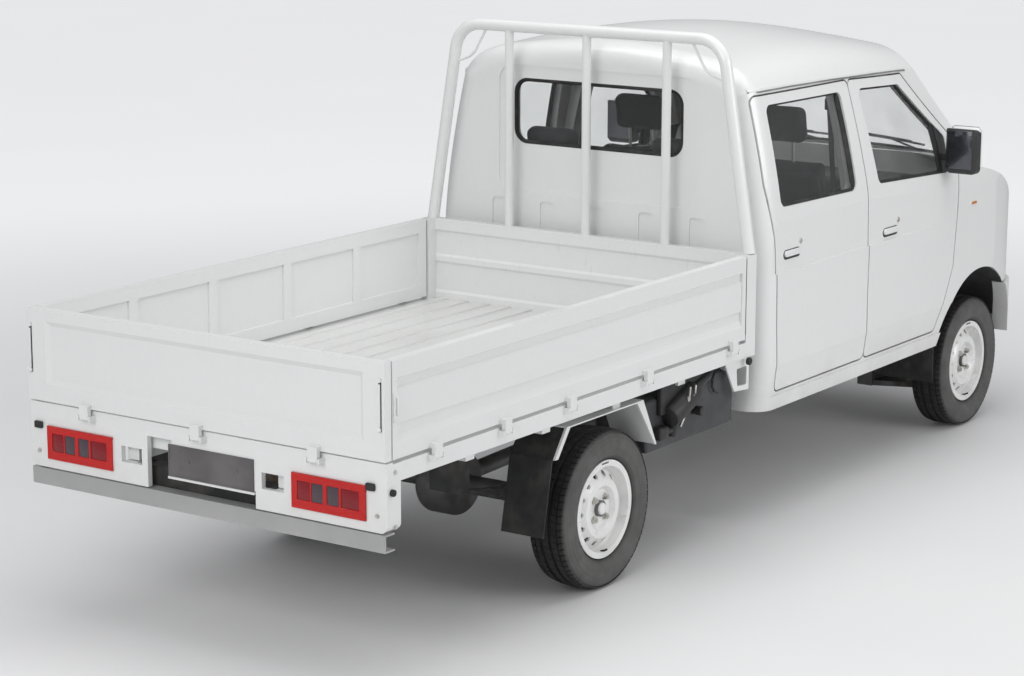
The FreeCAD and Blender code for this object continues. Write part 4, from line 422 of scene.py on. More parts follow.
white_paint = white_finish("white_paint", 0.72, False)
bed_paint = white_finish("bed_paint", 0.60, True)
# The under-run bar is a darker grey: partly its own grey paint, partly painted shade for its face that looks
# down.
bar_grey_and_shade = white_finish("bar_grey_and_shade", 0.60, False, (0.35, 0.355, 0.355))
print("paints", white_paint.name, bed_paint.name)

# %% [markdown]
# ## Glass and lamp lenses
#
# The windows are tinted. Real glass carries a thin dust film, which shows as uneven gloss. Lamp
# lenses are moulded with fine flutes on the inside that spread the light.


# %% Glass and lenses
def glass_finish(name, tint, roughness, transmission, refraction=1.45):
    pane = Finish(name, tint, roughness, IOR=refraction, Transmission_Weight=transmission)
    pane.colour(pane.ramp(pane.noise(3, 2), 0.3, 0.7), tuple(c * 0.9 for c in tint))
    pane.rough(pane.noise(11, 5), roughness, roughness + 0.035)
    return pane


def lens_finish(name, tint, transmission, pitch):
    lens = glass_finish(name, tint, 0.06, transmission)
    lens.relief(lens.bands(pitch, "Y"), 0.0006, 0.5)
    lens.relief(lens.bands(pitch * 0.6, "Z"), 0.0006, 0.35)
    return lens.material


tinted_glass = glass_finish("tinted_glass", (0.94, 0.95, 0.945), 0.01, 0.98, 1.13).material
lamp_clear = lens_finish("lamp_clear", (0.90, 0.91, 0.92), 0.95, 60)
lamp_red = lens_finish("lamp_red", (0.72, 0.012, 0.010), 0.25, 75)
lamp_amber = lens_finish("lamp_amber", (0.85, 0.28, 0.02), 0.4, 90)
print("glass", tinted_glass.name)

# %% [markdown]
# ## Plastics, rubber and cloth
#
# Moulded trim has a fine pebble grain, rubber is duller and holds dust, and the seat cloth is a
# plain weave.


# %% Soft and moulded finishes
def plastic_finish(name, colour, roughness, grain, depth):
    plastic = Finish(name, colour, roughness)
    lighter = tuple(min(1.0, c * 1.35 + 0.004) for c in colour)
    plastic.colour(plastic.ramp(plastic.noise(7, 5), 0.4, 0.75), lighter)
    plastic.rough(plastic.noise(16, 4), roughness - 0.07, roughness + 0.1)
    plastic.relief(plastic.cells(grain), depth, 0.35)
    return plastic.material


def rubber_finish(name, colour, dust, dust_share):
    rubber = Finish(name, colour, 0.72)
    cover = rubber.ramp(rubber.noise(12, 7), 0.42, 0.75, 0.0, dust_share)
    rubber.colour(cover, dust)
    rubber.rough(rubber.noise(20, 4), 0.6, 0.85)
    rubber.relief(rubber.noise(700, 2), 0.0003, 0.4)
    return rubber.material


def cloth_finish(name, colour, second, pitch):
    cloth = Finish(name, colour, 0.9, Sheen_Weight=0.08, Sheen_Roughness=0.5)
    cloth.colour(cloth.ramp(cloth.noise(45, 5), 0.35, 0.7), second)
    weave = cloth.both(cloth.bands(pitch, "X"), cloth.bands(pitch, "Z"))
    cloth.relief(weave, 0.0006, 0.6)
    cloth.relief(cloth.bands(pitch, "Y"), 0.0004, 0.4)
    cloth.rough(cloth.noise(30, 3), 0.82, 0.98)
    return cloth.material


black_plastic = plastic_finish("black_plastic", (0.022, 0.022, 0.023), 0.46, 900, 0.0003)
cabin_plastic = plastic_finish("cabin_plastic", (0.017, 0.018, 0.020), 0.55, 650, 0.0004)
pale_trim = plastic_finish("pale_trim", (0.34, 0.335, 0.32), 0.6, 500, 0.0004)
rubber = rubber_finish("rubber", (0.018, 0.018, 0.018), (0.10, 0.095, 0.085), 0.35)


print("soft finishes", black_plastic.name, rubber.name)

# %% [markdown]
# ### Tyre rubber
#
# A tyre's tread is scrubbed dark by the road, while dust stays on its sidewall, which is known by
# its distance from the middle of the truck.

# %% Tyre rubber and seat cloth
# The sidewall's dust fades in between these distances from the middle of the truck.
WALL_START, WALL_END = 0.695, 0.711


def tyre_finish():
    # Rubber whose outer sidewalls carry more dust than its tread.
    tyre = Finish("tyre_rubber", (0.020, 0.020, 0.021), 0.72)
    sideways = tyre.height("Y")
    grain = tyre.ramp(tyre.noise(9, 6), 0.2, 0.8, 0.7, 1.0)
    left_wall = tyre.ramp(sideways, WALL_START, WALL_END)
    right_wall = tyre.ramp(sideways, -WALL_END, -WALL_START, 1.0, 0.0)
    for wall in (left_wall, right_wall):
        tyre.colour(tyre.both(wall, grain), (0.115, 0.113, 0.11))
    tyre.colour(tyre.ramp(tyre.noise(14, 7), 0.5, 0.8, 0.0, 0.4), (0.05, 0.048, 0.045))
    tyre.rough(tyre.noise(20, 4), 0.6, 0.85)
    tyre.relief(tyre.noise(260, 2), 0.0003, 0.3)
    return tyre.material


tyre_rubber = tyre_finish()
seat_cloth = cloth_finish("seat_cloth", (0.018, 0.018, 0.021), (0.036, 0.037, 0.042), 380)
print("tyre and seats", tyre_rubber.name, seat_cloth.name)

# %% [markdown]
# ## Metals
#
# The frame is dipped in black paint that dust has dulled. The axle and engine are rough castings,
# the wheels are painted silver, and the exhaust is bare steel that rusts where it gets hot.


# %% Metal finishes
def metal_finish(name, colour, other, roughness, metallic, grain, depth):
    metal = Finish(name, colour, roughness, Metallic=metallic)
    metal.colour(metal.ramp(metal.noise(8, 7), 0.4, 0.72), other)
    metal.rough(metal.noise(18, 5), roughness - 0.08, roughness + 0.14)
    metal.relief(metal.noise(grain, 3), depth, 0.4)
    return metal.material


frame_paint = metal_finish("frame_paint", (0.030, 0.030, 0.031), (0.095, 0.088, 0.078), 0.5, 0.0, 60, 0.001)
cast_metal = metal_finish("cast_metal", (0.20, 0.20, 0.20), (0.12, 0.105, 0.09), 0.6, 0.75, 160, 0.0012)
wheel_silver = metal_finish("wheel_silver", (0.88, 0.88, 0.87), (0.78, 0.78, 0.77), 0.34, 0.15, 500, 0.0002)
exhaust_steel = metal_finish("exhaust_steel", (0.42, 0.40, 0.37), (0.26, 0.15, 0.09), 0.42, 0.9, 120, 0.0008)
bright_zinc = metal_finish("bright_zinc", (0.62, 0.61, 0.58), (0.48, 0.46, 0.42), 0.34, 0.9, 400, 0.0002)
mirror_silver = metal_finish("mirror_silver", (0.88, 0.89, 0.90), (0.84, 0.85, 0.86), 0.12, 1.0, 30, 0.0001)
tank_grey = plastic_finish("tank_grey", (0.046, 0.047, 0.051), 0.5, 260, 0.0004)
print("metals", frame_paint.name, cast_metal.name)

# %% [markdown]
# ## Dressing the solids
#
# The solids of the frame already have the truck's form, so most of them only need their finish.
# The list below says which solid gets which.

# %% Finishes for the frame
DRESSING = {
    white_paint: [
        "cab_body", "bonnet", "door_front_left", "door_front_right", "door_rear_left", "door_rear_right",
        "side_gate_left", "side_gate_right", "tailgate", "lamp_panel", "guard_frame",
        "front_bumper", "mudguards",
    ],
    bed_paint: ["bed_deck", "headboard"],
    bar_grey_and_shade: ["under_run_bar"],
    tinted_glass: [
        "cab_glass", "glass_front_left", "glass_front_right", "glass_rear_left", "glass_rear_right",
    ],
    lamp_clear: ["headlamps"],
    lamp_red: ["tail_lamps"],
    black_plastic: ["grille", "mirror_left", "mirror_right"],
    cabin_plastic: ["dashboard", "steering_wheel"],
    seat_cloth: ["front_seats", "rear_bench"],
    frame_paint: ["chassis_frame", "leaf_springs"],
    tank_grey: ["fuel_tank"],
    cast_metal: ["rear_axle", "front_suspension", "engine_block", "knuckle_left", "knuckle_right"],
    wheel_silver: ["wheel_front_left", "wheel_front_right", "wheel_rear_left", "wheel_rear_right"],
    tyre_rubber: ["tyre_front_left", "tyre_front_right", "tyre_rear_left", "tyre_rear_right"],
    rubber: ["mud_flaps"],
    exhaust_steel: ["exhaust"],
}
dressed = 0
for material, names in DRESSING.items():
    for name in names:
        solid = cad[name]
        if not solid.material_slots:
            solid.data.materials.append(material)
        for place in solid.material_slots:
            place.material = material
        dressed += 1
print("dressed", dressed, "of", len(cad), "solids")
# %% [markdown]
# ## Copies in a row and round a circle
#
# Tread blocks, nuts, vents, ribs and rivets are one small shape repeated. Geometry Nodes do this
# well: the tree takes the first shape in its real place and adds the others, each moved or turned
# by one step more. The tree ends in real geometry with its finish, so the result can be kept as a
# plain mesh.


# %% Trees that repeat a shape
def repeat_tree(name, turning):
    tree = bpy.data.node_groups.new(name, "GeometryNodeTree")
    tree.interface.new_socket("Geometry", in_out="INPUT", socket_type="NodeSocketGeometry")
    for key, kind in (
        ("Count", "NodeSocketInt"), ("Step", "NodeSocketFloat"), ("Direction", "NodeSocketVector"),
        ("Centre", "NodeSocketVector"), ("Finish", "NodeSocketMaterial"),
    ):
        tree.interface.new_socket(key, in_out="INPUT", socket_type=kind)
    tree.interface.new_socket("Geometry", in_out="OUTPUT", socket_type="NodeSocketGeometry")
    add, link = tree.nodes.new, tree.links.new
    given = add("NodeGroupInput").outputs
    centred = add("GeometryNodeTransform")
    back = add("ShaderNodeVectorMath")
    back.operation = "SCALE"
    back.inputs["Scale"].default_value = -1
    link(given["Centre"], back.inputs[0])
    link(given["Geometry"], centred.inputs["Geometry"])
    link(back.outputs["Vector"], centred.inputs["Translation"])
    points = add("GeometryNodePoints")
    link(given["Count"], points.inputs["Count"])
    amount = add("ShaderNodeMath")
    amount.operation = "MULTIPLY"
    link(add("GeometryNodeInputIndex").outputs["Index"], amount.inputs[0])
    link(given["Step"], amount.inputs[1])
    copies = add("GeometryNodeInstanceOnPoints")
    link(centred.outputs["Geometry"], copies.inputs["Instance"])
    if turning:
        spin = add("FunctionNodeAxisAngleToRotation")
        link(given["Direction"], spin.inputs["Axis"])
        link(amount.outputs["Value"], spin.inputs["Angle"])
        link(spin.outputs["Rotation"], copies.inputs["Rotation"])
        link(given["Centre"], points.inputs["Position"])
    else:
        shift = add("ShaderNodeVectorMath")
        shift.operation = "SCALE"
        link(given["Direction"], shift.inputs[0])
        link(amount.outputs["Value"], shift.inputs["Scale"])
        moved = add("ShaderNodeVectorMath")
        link(shift.outputs["Vector"], moved.inputs[0])
        link(given["Centre"], moved.inputs[1])
        link(moved.outputs["Vector"], points.inputs["Position"])
    link(points.outputs["Points"], copies.inputs["Points"])
    real = add("GeometryNodeRealizeInstances")
    link(copies.outputs["Instances"], real.inputs["Geometry"])
    finish = add("GeometryNodeSetMaterial")
    link(real.outputs["Geometry"], finish.inputs["Geometry"])
    link(given["Finish"], finish.inputs["Material"])
    link(finish.outputs["Geometry"], add("NodeGroupOutput").inputs["Geometry"])
    return tree


ROUND = repeat_tree("copies_round_a_circle", True)
IN_ROW = repeat_tree("copies_in_a_row", False)
print("trees", ROUND.name, IN_ROW.name)

# %% [markdown]
# ### From a tree to a plain mesh
#
# The shape to repeat is put into a holder object with the tree on it as a modifier. The evaluated
# result is kept as a mesh of its own, and the holder is removed with its modifier.


# %% Keeping what a tree makes
def grown(holder, tree, values):
    # The mesh that a tree makes of a holder, with the holder taken away again.
    modifier = holder.modifiers.new("tree", "NODES")
    modifier.node_group = tree
    for item in tree.interface.items_tree:
        if item.in_out == "INPUT" and item.name in values:
            modifier[item.identifier] = values[item.name]
    graph = bpy.context.evaluated_depsgraph_get()
    mesh = bpy.data.meshes.new_from_object(holder.evaluated_get(graph), depsgraph=graph)
    bpy.data.objects.remove(holder)
    return mesh


def repeated(bm, tree, finish, count, step, direction, centre=(0, 0, 0)):
    # All copies of the shape in bm, as a new bmesh.
    mesh = bpy.data.meshes.new("first")
    bm.to_mesh(mesh)
    bm.free()
    holder = bpy.data.objects.new("first", mesh)
    bpy.context.scene.collection.objects.link(holder)
    values = {
        "Count": count, "Step": float(step), "Direction": [float(c) for c in direction],
        "Centre": [float(c) for c in centre], "Finish": finish,
    }
    mesh = grown(holder, tree, values)
    copies = bmesh.new()
    copies.from_mesh(mesh)
    bpy.data.meshes.remove(mesh)
    return copies


def merged(target, *others):
    # Adds other bmeshes to the first one.
    for other in others:
        mesh = bpy.data.meshes.new("part")
        other.to_mesh(mesh)
        other.free()
        target.from_mesh(mesh)
        bpy.data.meshes.remove(mesh)
    return target


print("meshes so far", len(bpy.data.meshes))


# %% [markdown]
# ## Turned shapes
#
# Tyres, rims, caps, buffers and lamps are round about an axis. A section of radius and distance
# along the axis is turned once, and either closed on itself like a ring or capped at its ends.


# %% Lathe
def in_mm(section):
    # A section typed in millimetres, as metres.
    return [(radius * MM, along * MM) for radius, along in section]


def lathe(bm, centre, axis, section, segments=32, ring=False):
    axis = Vector(axis).normalized()
    side = axis.orthogonal().normalized()
    other = axis.cross(side)
    centre = Vector(centre)
    loops = []
    for radius, along in section:
        base = centre + axis * along
        if radius <= 0:
            loops.append([bm.verts.new(base)] * segments)
            continue
        loops.append([
            bm.verts.new(base + (side * math.cos(a) + other * math.sin(a)) * radius)
            for a in (2 * math.pi * i / segments for i in range(segments))
        ])
    pairs = list(zip(loops, loops[1:]))
    if ring:
        pairs.append((loops[-1], loops[0]))
    made = []
    for first, second in pairs:
        for i in range(segments):
            j = (i + 1) % segments
            corners = []
            for vert in (first[i], first[j], second[j], second[i]):
                if vert not in corners:
                    corners.append(vert)
            if len(corners) > 2:
                made.append(bm.faces.new(corners))
    if not ring:
        for loop in (loops[0], loops[-1]):
            if loop[0] is not loop[1]:
                made.append(bm.faces.new(loop))
    bmesh.ops.recalc_face_normals(bm, faces=made)
    return made


# %% [markdown]
# ## Tyres
#
# The truck stands on narrow light-truck tyres with a plain road tread: two rows of shoulder
# blocks and three zigzag ribs between them. The carcass is turned from a section with the bead
# filler, the fine rings that a mould leaves on the sidewall, and the rounded shoulder. The blocks
# stand on it. One slanted block of each row is drawn, and the circle tree repeats it.

# %% Tyre sections and tread
TYRE_SECTION = (
    (177, 54), (184, 57.5), (188, 65), (193, 69), (199, 72), (201, 74.2), (205, 74.8), (222, 78.6),
    (223, 79.6), (227, 80.1), (228, 79.6), (240, 80.8), (250, 81.2), (251, 80.4), (262, 79.2), (263, 79.8),
    (266, 79.4), (267, 78.2), (276, 74.8), (283, 69.5), (286.5, 64), (287.5, 58),
)
TREAD_ROWS = (
    # middle of the row, half width, half length, slant, top at its inner edge, top at its outer edge
    (-60.5, 10.5, 10.2, 5.0, 293.6, 288.2), (-36.0, 9.6, 11.6, -7.0, 295.2, 294.4),
    (0, 11.5, 11.8, 7.0, 296, 296),
    (36.0, 9.6, 11.6, -7.0, 295.2, 294.4), (60.5, 10.5, 10.2, 5.0, 293.6, 288.2),
)
TREAD_COUNT = 72
TREAD_FLOOR = 286.0
BLOCK_SLOPE = 1.2


def tread_row(middle, half_width, half_length, slant, inner_top, outer_top, centre, finish):
    # A slanted block with sloping sides: four corners at its foot and four at its top.
    bm = bmesh.new()
    outward = 1 if middle >= 0 else -1
    foot, top = [], []
    for across, along in ((-1, -1), (1, -1), (1, 1), (-1, 1)):
        y = middle + outward * across * half_width
        x = along * half_length + across * slant / 2
        radius = outer_top if across > 0 else inner_top
        if middle == 0:
            radius = inner_top
        foot.append(bm.verts.new((
            centre.x + (x + along * BLOCK_SLOPE) * MM, centre.y + (y + outward * across * BLOCK_SLOPE) * MM,
            centre.z + TREAD_FLOOR * MM,
        )))
        top.append(bm.verts.new((
            centre.x + x * MM, centre.y + y * MM, centre.z + math.sqrt(radius ** 2 - x ** 2) * MM,
        )))
    bm.faces.new(top)
    for i in range(4):
        j = (i + 1) % 4
        bm.faces.new((foot[i], foot[j], top[j], top[i]))
    bm.faces.new(list(reversed(foot)))
    bmesh.ops.recalc_face_normals(bm, faces=bm.faces)
    return repeated(bm, ROUND, finish, TREAD_COUNT, 2 * math.pi / TREAD_COUNT, (0, 1, 0), centre)


print("blocks", [row[0] for row in TREAD_ROWS])

# %% [markdown]
# ### One treaded tyre for each wheel
#
# The carcass and its rows of blocks become one mesh. It rides on its wheel and stands for the plain
# tyre of the frame.

# %% Treaded tyres
for name, (tyre_low, tyre_high) in tyre_boxes.items():
    centre = (tyre_low + tyre_high) / 2
    carcass = bmesh.new()
    right_half = in_mm(TYRE_SECTION)
    left_half = [(r, -y) for r, y in reversed(right_half)]
    lathe(carcass, centre, (0, 1, 0), left_half + right_half, 96, True)
    rows = [tread_row(*row, centre, tyre_rubber) for row in TREAD_ROWS]
    body = name.replace("tyre", "wheel")
    tyre = make_object(name + "_treaded", merged(carcass, *rows), tyre_rubber, body, 28)
    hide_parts(name)
print("tread blocks on a tyre", TREAD_COUNT * len(TREAD_ROWS))

# %% [markdown]
# ## Wheel hardware
#
# A pressed steel wheel is held by four nuts round a grease cap. A rubber valve comes through the
# rim, and a small lead weight is clipped to its edge. The nuts are one hexagon that the circle
# tree repeats.

# %% Nuts, caps and valves
BOLT_CIRCLE = 52 * MM
DISC_FACE = (65 - 26) * MM
NUT_ACROSS = 21 * MM
CAP_SECTION = ((24, -2), (24, 5), (22.5, 7), (22.5, 15), (20, 19), (11, 22), (0, 22.6))
NUT_COUNT = 4
VALVE_DOWN = 163 * MM

for name in tyre_boxes:
    wheel = name.replace("tyre", "wheel")
    side = 1 if "left" in name else -1
    low, high = tyre_boxes[name]
    centre = (low + high) / 2
    outward = Vector((0, side, 0))
    face = centre + outward * DISC_FACE
    first = bmesh.new()
    place = face + Vector((0, 0, BOLT_CIRCLE)) - outward * 2 * MM
    rod(first, place, place + outward * 5 * MM, 15 * MM, 20, 13 * MM)
    hexagon(first, place + outward * 4 * MM, outward, NUT_ACROSS, 13 * MM)
    rod(first, place, place + outward * 22 * MM, 5.5 * MM, 12, 5 * MM, 0.8 * MM)
    nuts = repeated(first, ROUND, bright_zinc, NUT_COUNT, 2 * math.pi / NUT_COUNT, (0, 1, 0), centre)
    eighth = Matrix.Rotation(math.pi / NUT_COUNT, 3, "Y")
    bmesh.ops.rotate(nuts, cent=centre, matrix=eighth, verts=nuts.verts)
    make_object(wheel + "_nuts", nuts, bright_zinc, wheel)
    cap = bmesh.new()
    lathe(cap, face, outward, in_mm(CAP_SECTION), 32)
    make_object(wheel + "_cap", cap, wheel_silver, wheel)
    valve = bmesh.new()
    foot = centre + outward * 50 * MM + Vector((0, 0, -VALVE_DOWN))
    tip = foot + outward * 26 * MM + Vector((0, 0, 13 * MM))
    rod(valve, foot, foot.lerp(tip, 0.55), 6.5 * MM, 12, 4 * MM)
    rod(valve, foot.lerp(tip, 0.5), tip, 3.8 * MM, 12, 3.8 * MM, 0.8 * MM)
    make_object(wheel + "_valve", valve, rubber, wheel)
    weight = bmesh.new()
    plate(
        weight, centre.x - 22 * MM, centre.x + 22 * MM, face.y + side * 17 * MM, face.y + side * 28 * MM,
        centre.z + 169 * MM, centre.z + 175 * MM, 2 * MM, 2,
    )
    make_object(wheel + "_weight", weight, cast_metal, wheel)
print("wheels finished", len(tyre_boxes))

# %% [markdown]
# ## Tail lamps
#
# Each tail lamp is a flat red moulding with four chambers: a deep red one at each side and two
# smoky ones between them for the turn and reversing lights. The red body is a slab whose front is
# divided into a grid, and the grid's cells for the chambers are pushed in. A fluted lens sits in
# each, just below the rim.


# %% Slabs with pockets
def pocketed(bm, x_front, x_back, ys, zs, pockets, floor_x):
    # A closed slab whose front, at x_front, has pockets at the grid cells named by (column, row).
    deep = x_front + floor_x
    verts = {}

    def vert(x, i, j):
        key = (x, i, j)
        if key not in verts:
            verts[key] = bm.verts.new((x, ys[i], zs[j]))
        return verts[key]

    made = []
    for i in range(len(ys) - 1):
        for j in range(len(zs) - 1):
            x = deep if (i, j) in pockets else x_front
            corners = [(i, j), (i + 1, j), (i + 1, j + 1), (i, j + 1)]
            made.append(bm.faces.new([vert(x, *c) for c in corners]))
            made.append(bm.faces.new([vert(x_back, *c) for c in reversed(corners)]))
            if (i, j) in pockets:
                for a, b in zip(corners, corners[1:] + corners[:1]):
                    wall = [vert(x_front, *a), vert(x_front, *b), vert(deep, *b), vert(deep, *a)]
                    made.append(bm.faces.new(wall))
    last_y, last_z = len(ys) - 1, len(zs) - 1
    rim = [(i, 0) for i in range(last_y + 1)] + [(last_y, j) for j in range(1, last_z + 1)]
    rim += [(i, last_z) for i in range(last_y - 1, -1, -1)] + [(0, j) for j in range(last_z - 1, -1, -1)]
    for a, b in zip(rim, rim[1:]):
        made.append(bm.faces.new([vert(x_front, *a), vert(x_back, *a), vert(x_back, *b), vert(x_front, *b)]))
    bmesh.ops.recalc_face_normals(bm, faces=made)


def soften(bm, offset, segments):
    # Rounds every edge that turns by more than a radian.
    edges = [e for e in bm.edges if e.calc_face_angle(0) > 1]
    bmesh.ops.bevel(bm, geom=edges, offset=offset, segments=segments, affect="EDGES")


# %% Lamp bodies and chambers
lamp_deep_red = lens_finish("lamp_deep_red", (0.30, 0.010, 0.016), 0.2, 75)
lamp_smoke = lens_finish("lamp_smoke", (0.115, 0.085, 0.105), 0.3, 75)
CHAMBERS = ((0.08, 0.255), (0.275, 0.43), (0.485, 0.645), (0.675, 0.915))
CHAMBER_ROW = (0.25, 0.79)
LENS_GAP = 0.6 * MM
LAMP_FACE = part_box("tail_lamps")[0].x
LAMP_INNER, LAMP_OUTER = 392 * MM, 695 * MM
LAMP_LOW, LAMP_TOP = 578 * MM, 696 * MM
bodies_of_lamps, deep_cells, smoke_cells = bmesh.new(), bmesh.new(), bmesh.new()
for left_edge, right_edge in ((LAMP_OUTER, LAMP_INNER), (-LAMP_INNER, -LAMP_OUTER)):
    width = left_edge - right_edge
    shares = [0] + [s for pair in CHAMBERS for s in pair] + [1]
    ys = sorted(left_edge - width * share for share in shares)
    zs = [LAMP_LOW + (LAMP_TOP - LAMP_LOW) * share for share in (0, *CHAMBER_ROW, 1)]
    pockets = {(i, 1) for i in (1, 3, 5, 7)}
    pocketed(bodies_of_lamps, LAMP_FACE, LAMP_FACE + 7 * MM, ys, zs, pockets, 4 * MM)
    for number, (start, end) in enumerate(CHAMBERS):
        target = deep_cells if number in (0, 3) else smoke_cells
        y0, y1 = left_edge - width * end, left_edge - width * start
        plate(
            target, LAMP_FACE + 1.2 * MM, LAMP_FACE + 4.5 * MM, y0 + LENS_GAP, y1 - LENS_GAP,
            zs[1] + LENS_GAP, zs[2] - LENS_GAP, 1.2 * MM, 2,
        )
soften(bodies_of_lamps, 0.8 * MM, 1)
lamp_body = make_object("tail_lamp_bodies", bodies_of_lamps, lamp_red, "chassis")
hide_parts("tail_lamps")
make_object("tail_lamp_side_lenses", deep_cells, lamp_deep_red, "chassis")
make_object("tail_lamp_middle_lenses", smoke_cells, lamp_smoke, "chassis")
print("lamp chambers", len(CHAMBERS) * 2)

# %% [markdown]
# ## Rear panel hardware
#
# Rubber stops keep the gates off the lamps when they hang down. Those on the sides are short
# mushrooms with a rounded face, so they are turned, and those on the rear are rounded blocks. The
# blank number plate is a thin pressed sheet with a raised rim, held by two screws in a tray whose
# pale lip shows below it.

# %% Stops, bolts and the blank plate
REAR_FACE = station(7 * MM)
stops = bmesh.new()
STOP_SECTION = ((11, -2), (12, 1), (12, 8), (11, 11.5), (8, 13.5), (0, 14))
STOP_PLACES = {1: 735 * MM, -1: -714 * MM}
for side, stop_y in STOP_PLACES.items():
    plate(
        stops, REAR_FACE - 12 * MM, REAR_FACE + 1 * MM, stop_y - 18 * MM, stop_y + 18 * MM,
        682 * MM, 707 * MM, 5 * MM, 3,
    )
    outer = side * PANEL_HALF
    side_place = Vector((station(34 * MM), outer, 677 * MM))
    lathe(stops, side_place, (0, side, 0), in_mm(STOP_SECTION), 24)
    front_place = Vector((station(2306 * MM), side * 779 * MM, 694 * MM))
    broader = [(radius * 1.25, along - 3) for radius, along in STOP_SECTION]
    lathe(stops, front_place, (0, side, 0), in_mm(broader), 24)
make_object("gate_stops", stops, rubber, "chassis")

bolts = bmesh.new()
for side in (1, -1):
    hexagon(bolts, (REAR_FACE, side * 738 * MM, 601 * MM), (-1, 0, 0), 13 * MM, 6 * MM)
    for z in (560 * MM, 740 * MM):
        hexagon(bolts, (station(52 * MM), side * PANEL_HALF, z), (0, side, 0), 13 * MM, 5 * MM)
make_object("panel_bolts", bolts, bright_zinc, "chassis")

print("stops and bolts", len(STOP_PLACES) * 3, 6)

# %% Blank plate and its tray
plate_grey = plastic_finish("plate_grey", (0.105, 0.098, 0.100), 0.5, 300, 0.0003)
blank = bmesh.new()
PLATE_LEFT, PLATE_RIGHT = 141 * MM, -231 * MM
PLATE_LOW, PLATE_TOP = 600 * MM, 711 * MM
plate_rim = 6 * MM
HOLDER_MIDDLE, SCREW_SPREAD, SCREW_HEIGHT = -54 * MM, 210 * MM, 659.5 * MM
pocketed(
    blank, REAR_FACE - 3.4 * MM, REAR_FACE + 0.2 * MM,
    [PLATE_RIGHT, PLATE_RIGHT + plate_rim, PLATE_LEFT - plate_rim, PLATE_LEFT],
    [PLATE_LOW, PLATE_LOW + plate_rim, PLATE_TOP - plate_rim, PLATE_TOP], {(1, 1)}, 1.2 * MM,
)
soften(blank, 0.5 * MM, 2)
make_object("blank_plate", blank, plate_grey, "chassis")
lip = bmesh.new()
plate(
    lip, REAR_FACE - 5 * MM, REAR_FACE + 4 * MM, PLATE_RIGHT - 2 * MM, PLATE_LEFT + 2 * MM,
    591 * MM, 599.4 * MM, 1.5 * MM,
)
make_object("plate_tray_lip", lip, white_paint, "chassis")
screws = bmesh.new()
for side in (-1, 1):
    y = HOLDER_MIDDLE + side * SCREW_SPREAD / 2
    head, foot = ((REAR_FACE - depth * MM, y, SCREW_HEIGHT) for depth in (4.6, 1.5))
    rod(screws, head, foot, 5 * MM, 20, 5.6 * MM, 0.6 * MM)
make_object("plate_screws", screws, plate_grey, "chassis")
print("plate height", round((PLATE_TOP - PLATE_LOW) / MM))

# %% [markdown]
# ## Gate latches
#
# A drop side is held at each corner by a lever in a pressed slot. The slot is a recess in the
# edge strip of the tailgate, drawn as a black strip of painted shadow, with the lever in front of it, and
# the keeper that the lever grips is on the side gate. A rubber strip on the front post keeps each side gate
# from rattling.


# %% Levers and strips
GRIP_SECTION = ((6, -3), (8, 0), (8, 5), (5, 8), (0, 8.5))


def latch(name, side, body):
    # The lever in the tailgate's edge strip, with its slot, pivot and grip.
    face = station(0)
    slot = bmesh.new()
    y = side * 757 * MM
    # Painted shadow: the slot is a black strip that stands in for the shade in the recess.
    plate(slot, face - 1.2 * MM, face + 3 * MM, y - 6 * MM, y + 6 * MM, 880 * MM, 1052 * MM, 1 * MM, 2)
    make_object(name + "_slot", slot, black_plastic, body)
    lever = bmesh.new()
    bar = [(face - 5 * MM, y, z * MM) for z in (895, 1035)]
    pivot = [(face + x * MM, y, 1046 * MM) for x in (-6, 2)]
    rod(lever, *bar, 4 * MM, 12, 4 * MM, 1 * MM)
    rod(lever, *pivot, 6.5 * MM, 16, 6.5 * MM, 1 * MM)
    lathe(lever, (face - 6 * MM, y, 888 * MM), (-1, 0, 0), in_mm(GRIP_SECTION), 16)
    make_object(name + "_lever", lever, white_paint, body)


latch("tailgate_latch_left", 1, "tailgate")
latch("tailgate_latch_right", -1, "tailgate")
strips = bmesh.new()
GATE_FACE = 775 * MM
for side, body in ((1, "side_gate_left"), (-1, "side_gate_right")):
    outer = side * GATE_FACE
    hook = bmesh.new()
    x0, x1 = station(44 * MM), station(70 * MM)
    middle = x0 + 13 * MM
    plate(hook, x0, x1, outer - side * 1 * MM, outer + side * 6 * MM, 905 * MM, 1000 * MM, 2.5 * MM, 2)
    pin = [(middle, outer + side * reach * MM, 985 * MM) for reach in (4, 13)]
    rod(hook, *pin, 5 * MM, 16, 5 * MM, 1 * MM)
    grip = [(middle, outer + side * 11 * MM, z * MM) for z in (987, 925)]
    rod(hook, *grip, 4 * MM, 12, 3.4 * MM, 1 * MM)
    make_object(body + "_lever", hook, white_paint, body)
    plate(
        strips, station(2282.5 * MM), station(2288.5 * MM), outer - side * 30 * MM, outer - side * 1 * MM,
        800 * MM, 1096 * MM, 1.5 * MM,
    )
make_object("gate_rattle_strips", strips, rubber, "chassis")
print("latches", 4)

# %% [markdown]
# ## Window rubbers
#
# Every pane sits in a black rubber that laps onto the glass, and the moving windows also have a
# broad black sash at their front edge. The rubber has to follow the pane exactly, so its path is
# read from the pane itself: the rim of the faces that look outwards. A section is then swept round
# that closed path, wider where the sash is.


# %% Rims of panes
def rims_of(name, outward, share=0.5):
    # Closed loops of points round the faces of a solid that look along `outward`.
    bm = bmesh.new()
    bm.from_mesh(cad[name].data)
    bmesh.ops.remove_doubles(bm, verts=bm.verts, dist=0.02 * MM)
    bm.normal_update()
    outward = Vector(outward)
    facing = {f for f in bm.faces if f.normal.dot(outward) > share}
    nexts = {}
    for edge in bm.edges:
        if sum(f in facing for f in edge.link_faces) == 1:
            a, b = edge.verts
            nexts.setdefault(a, []).append(b)
            nexts.setdefault(b, []).append(a)
    loops, seen = [], set()
    for start in nexts:
        if start in seen:
            continue
        loop, here, last = [], start, None
        while here is not None and here not in seen:
            seen.add(here)
            loop.append(here.co.copy())
            onward = [v for v in nexts[here] if v is not last and v not in seen]
            last, here = here, (onward[0] if onward else None)
        loops.append(loop)
    bm.free()
    return loops


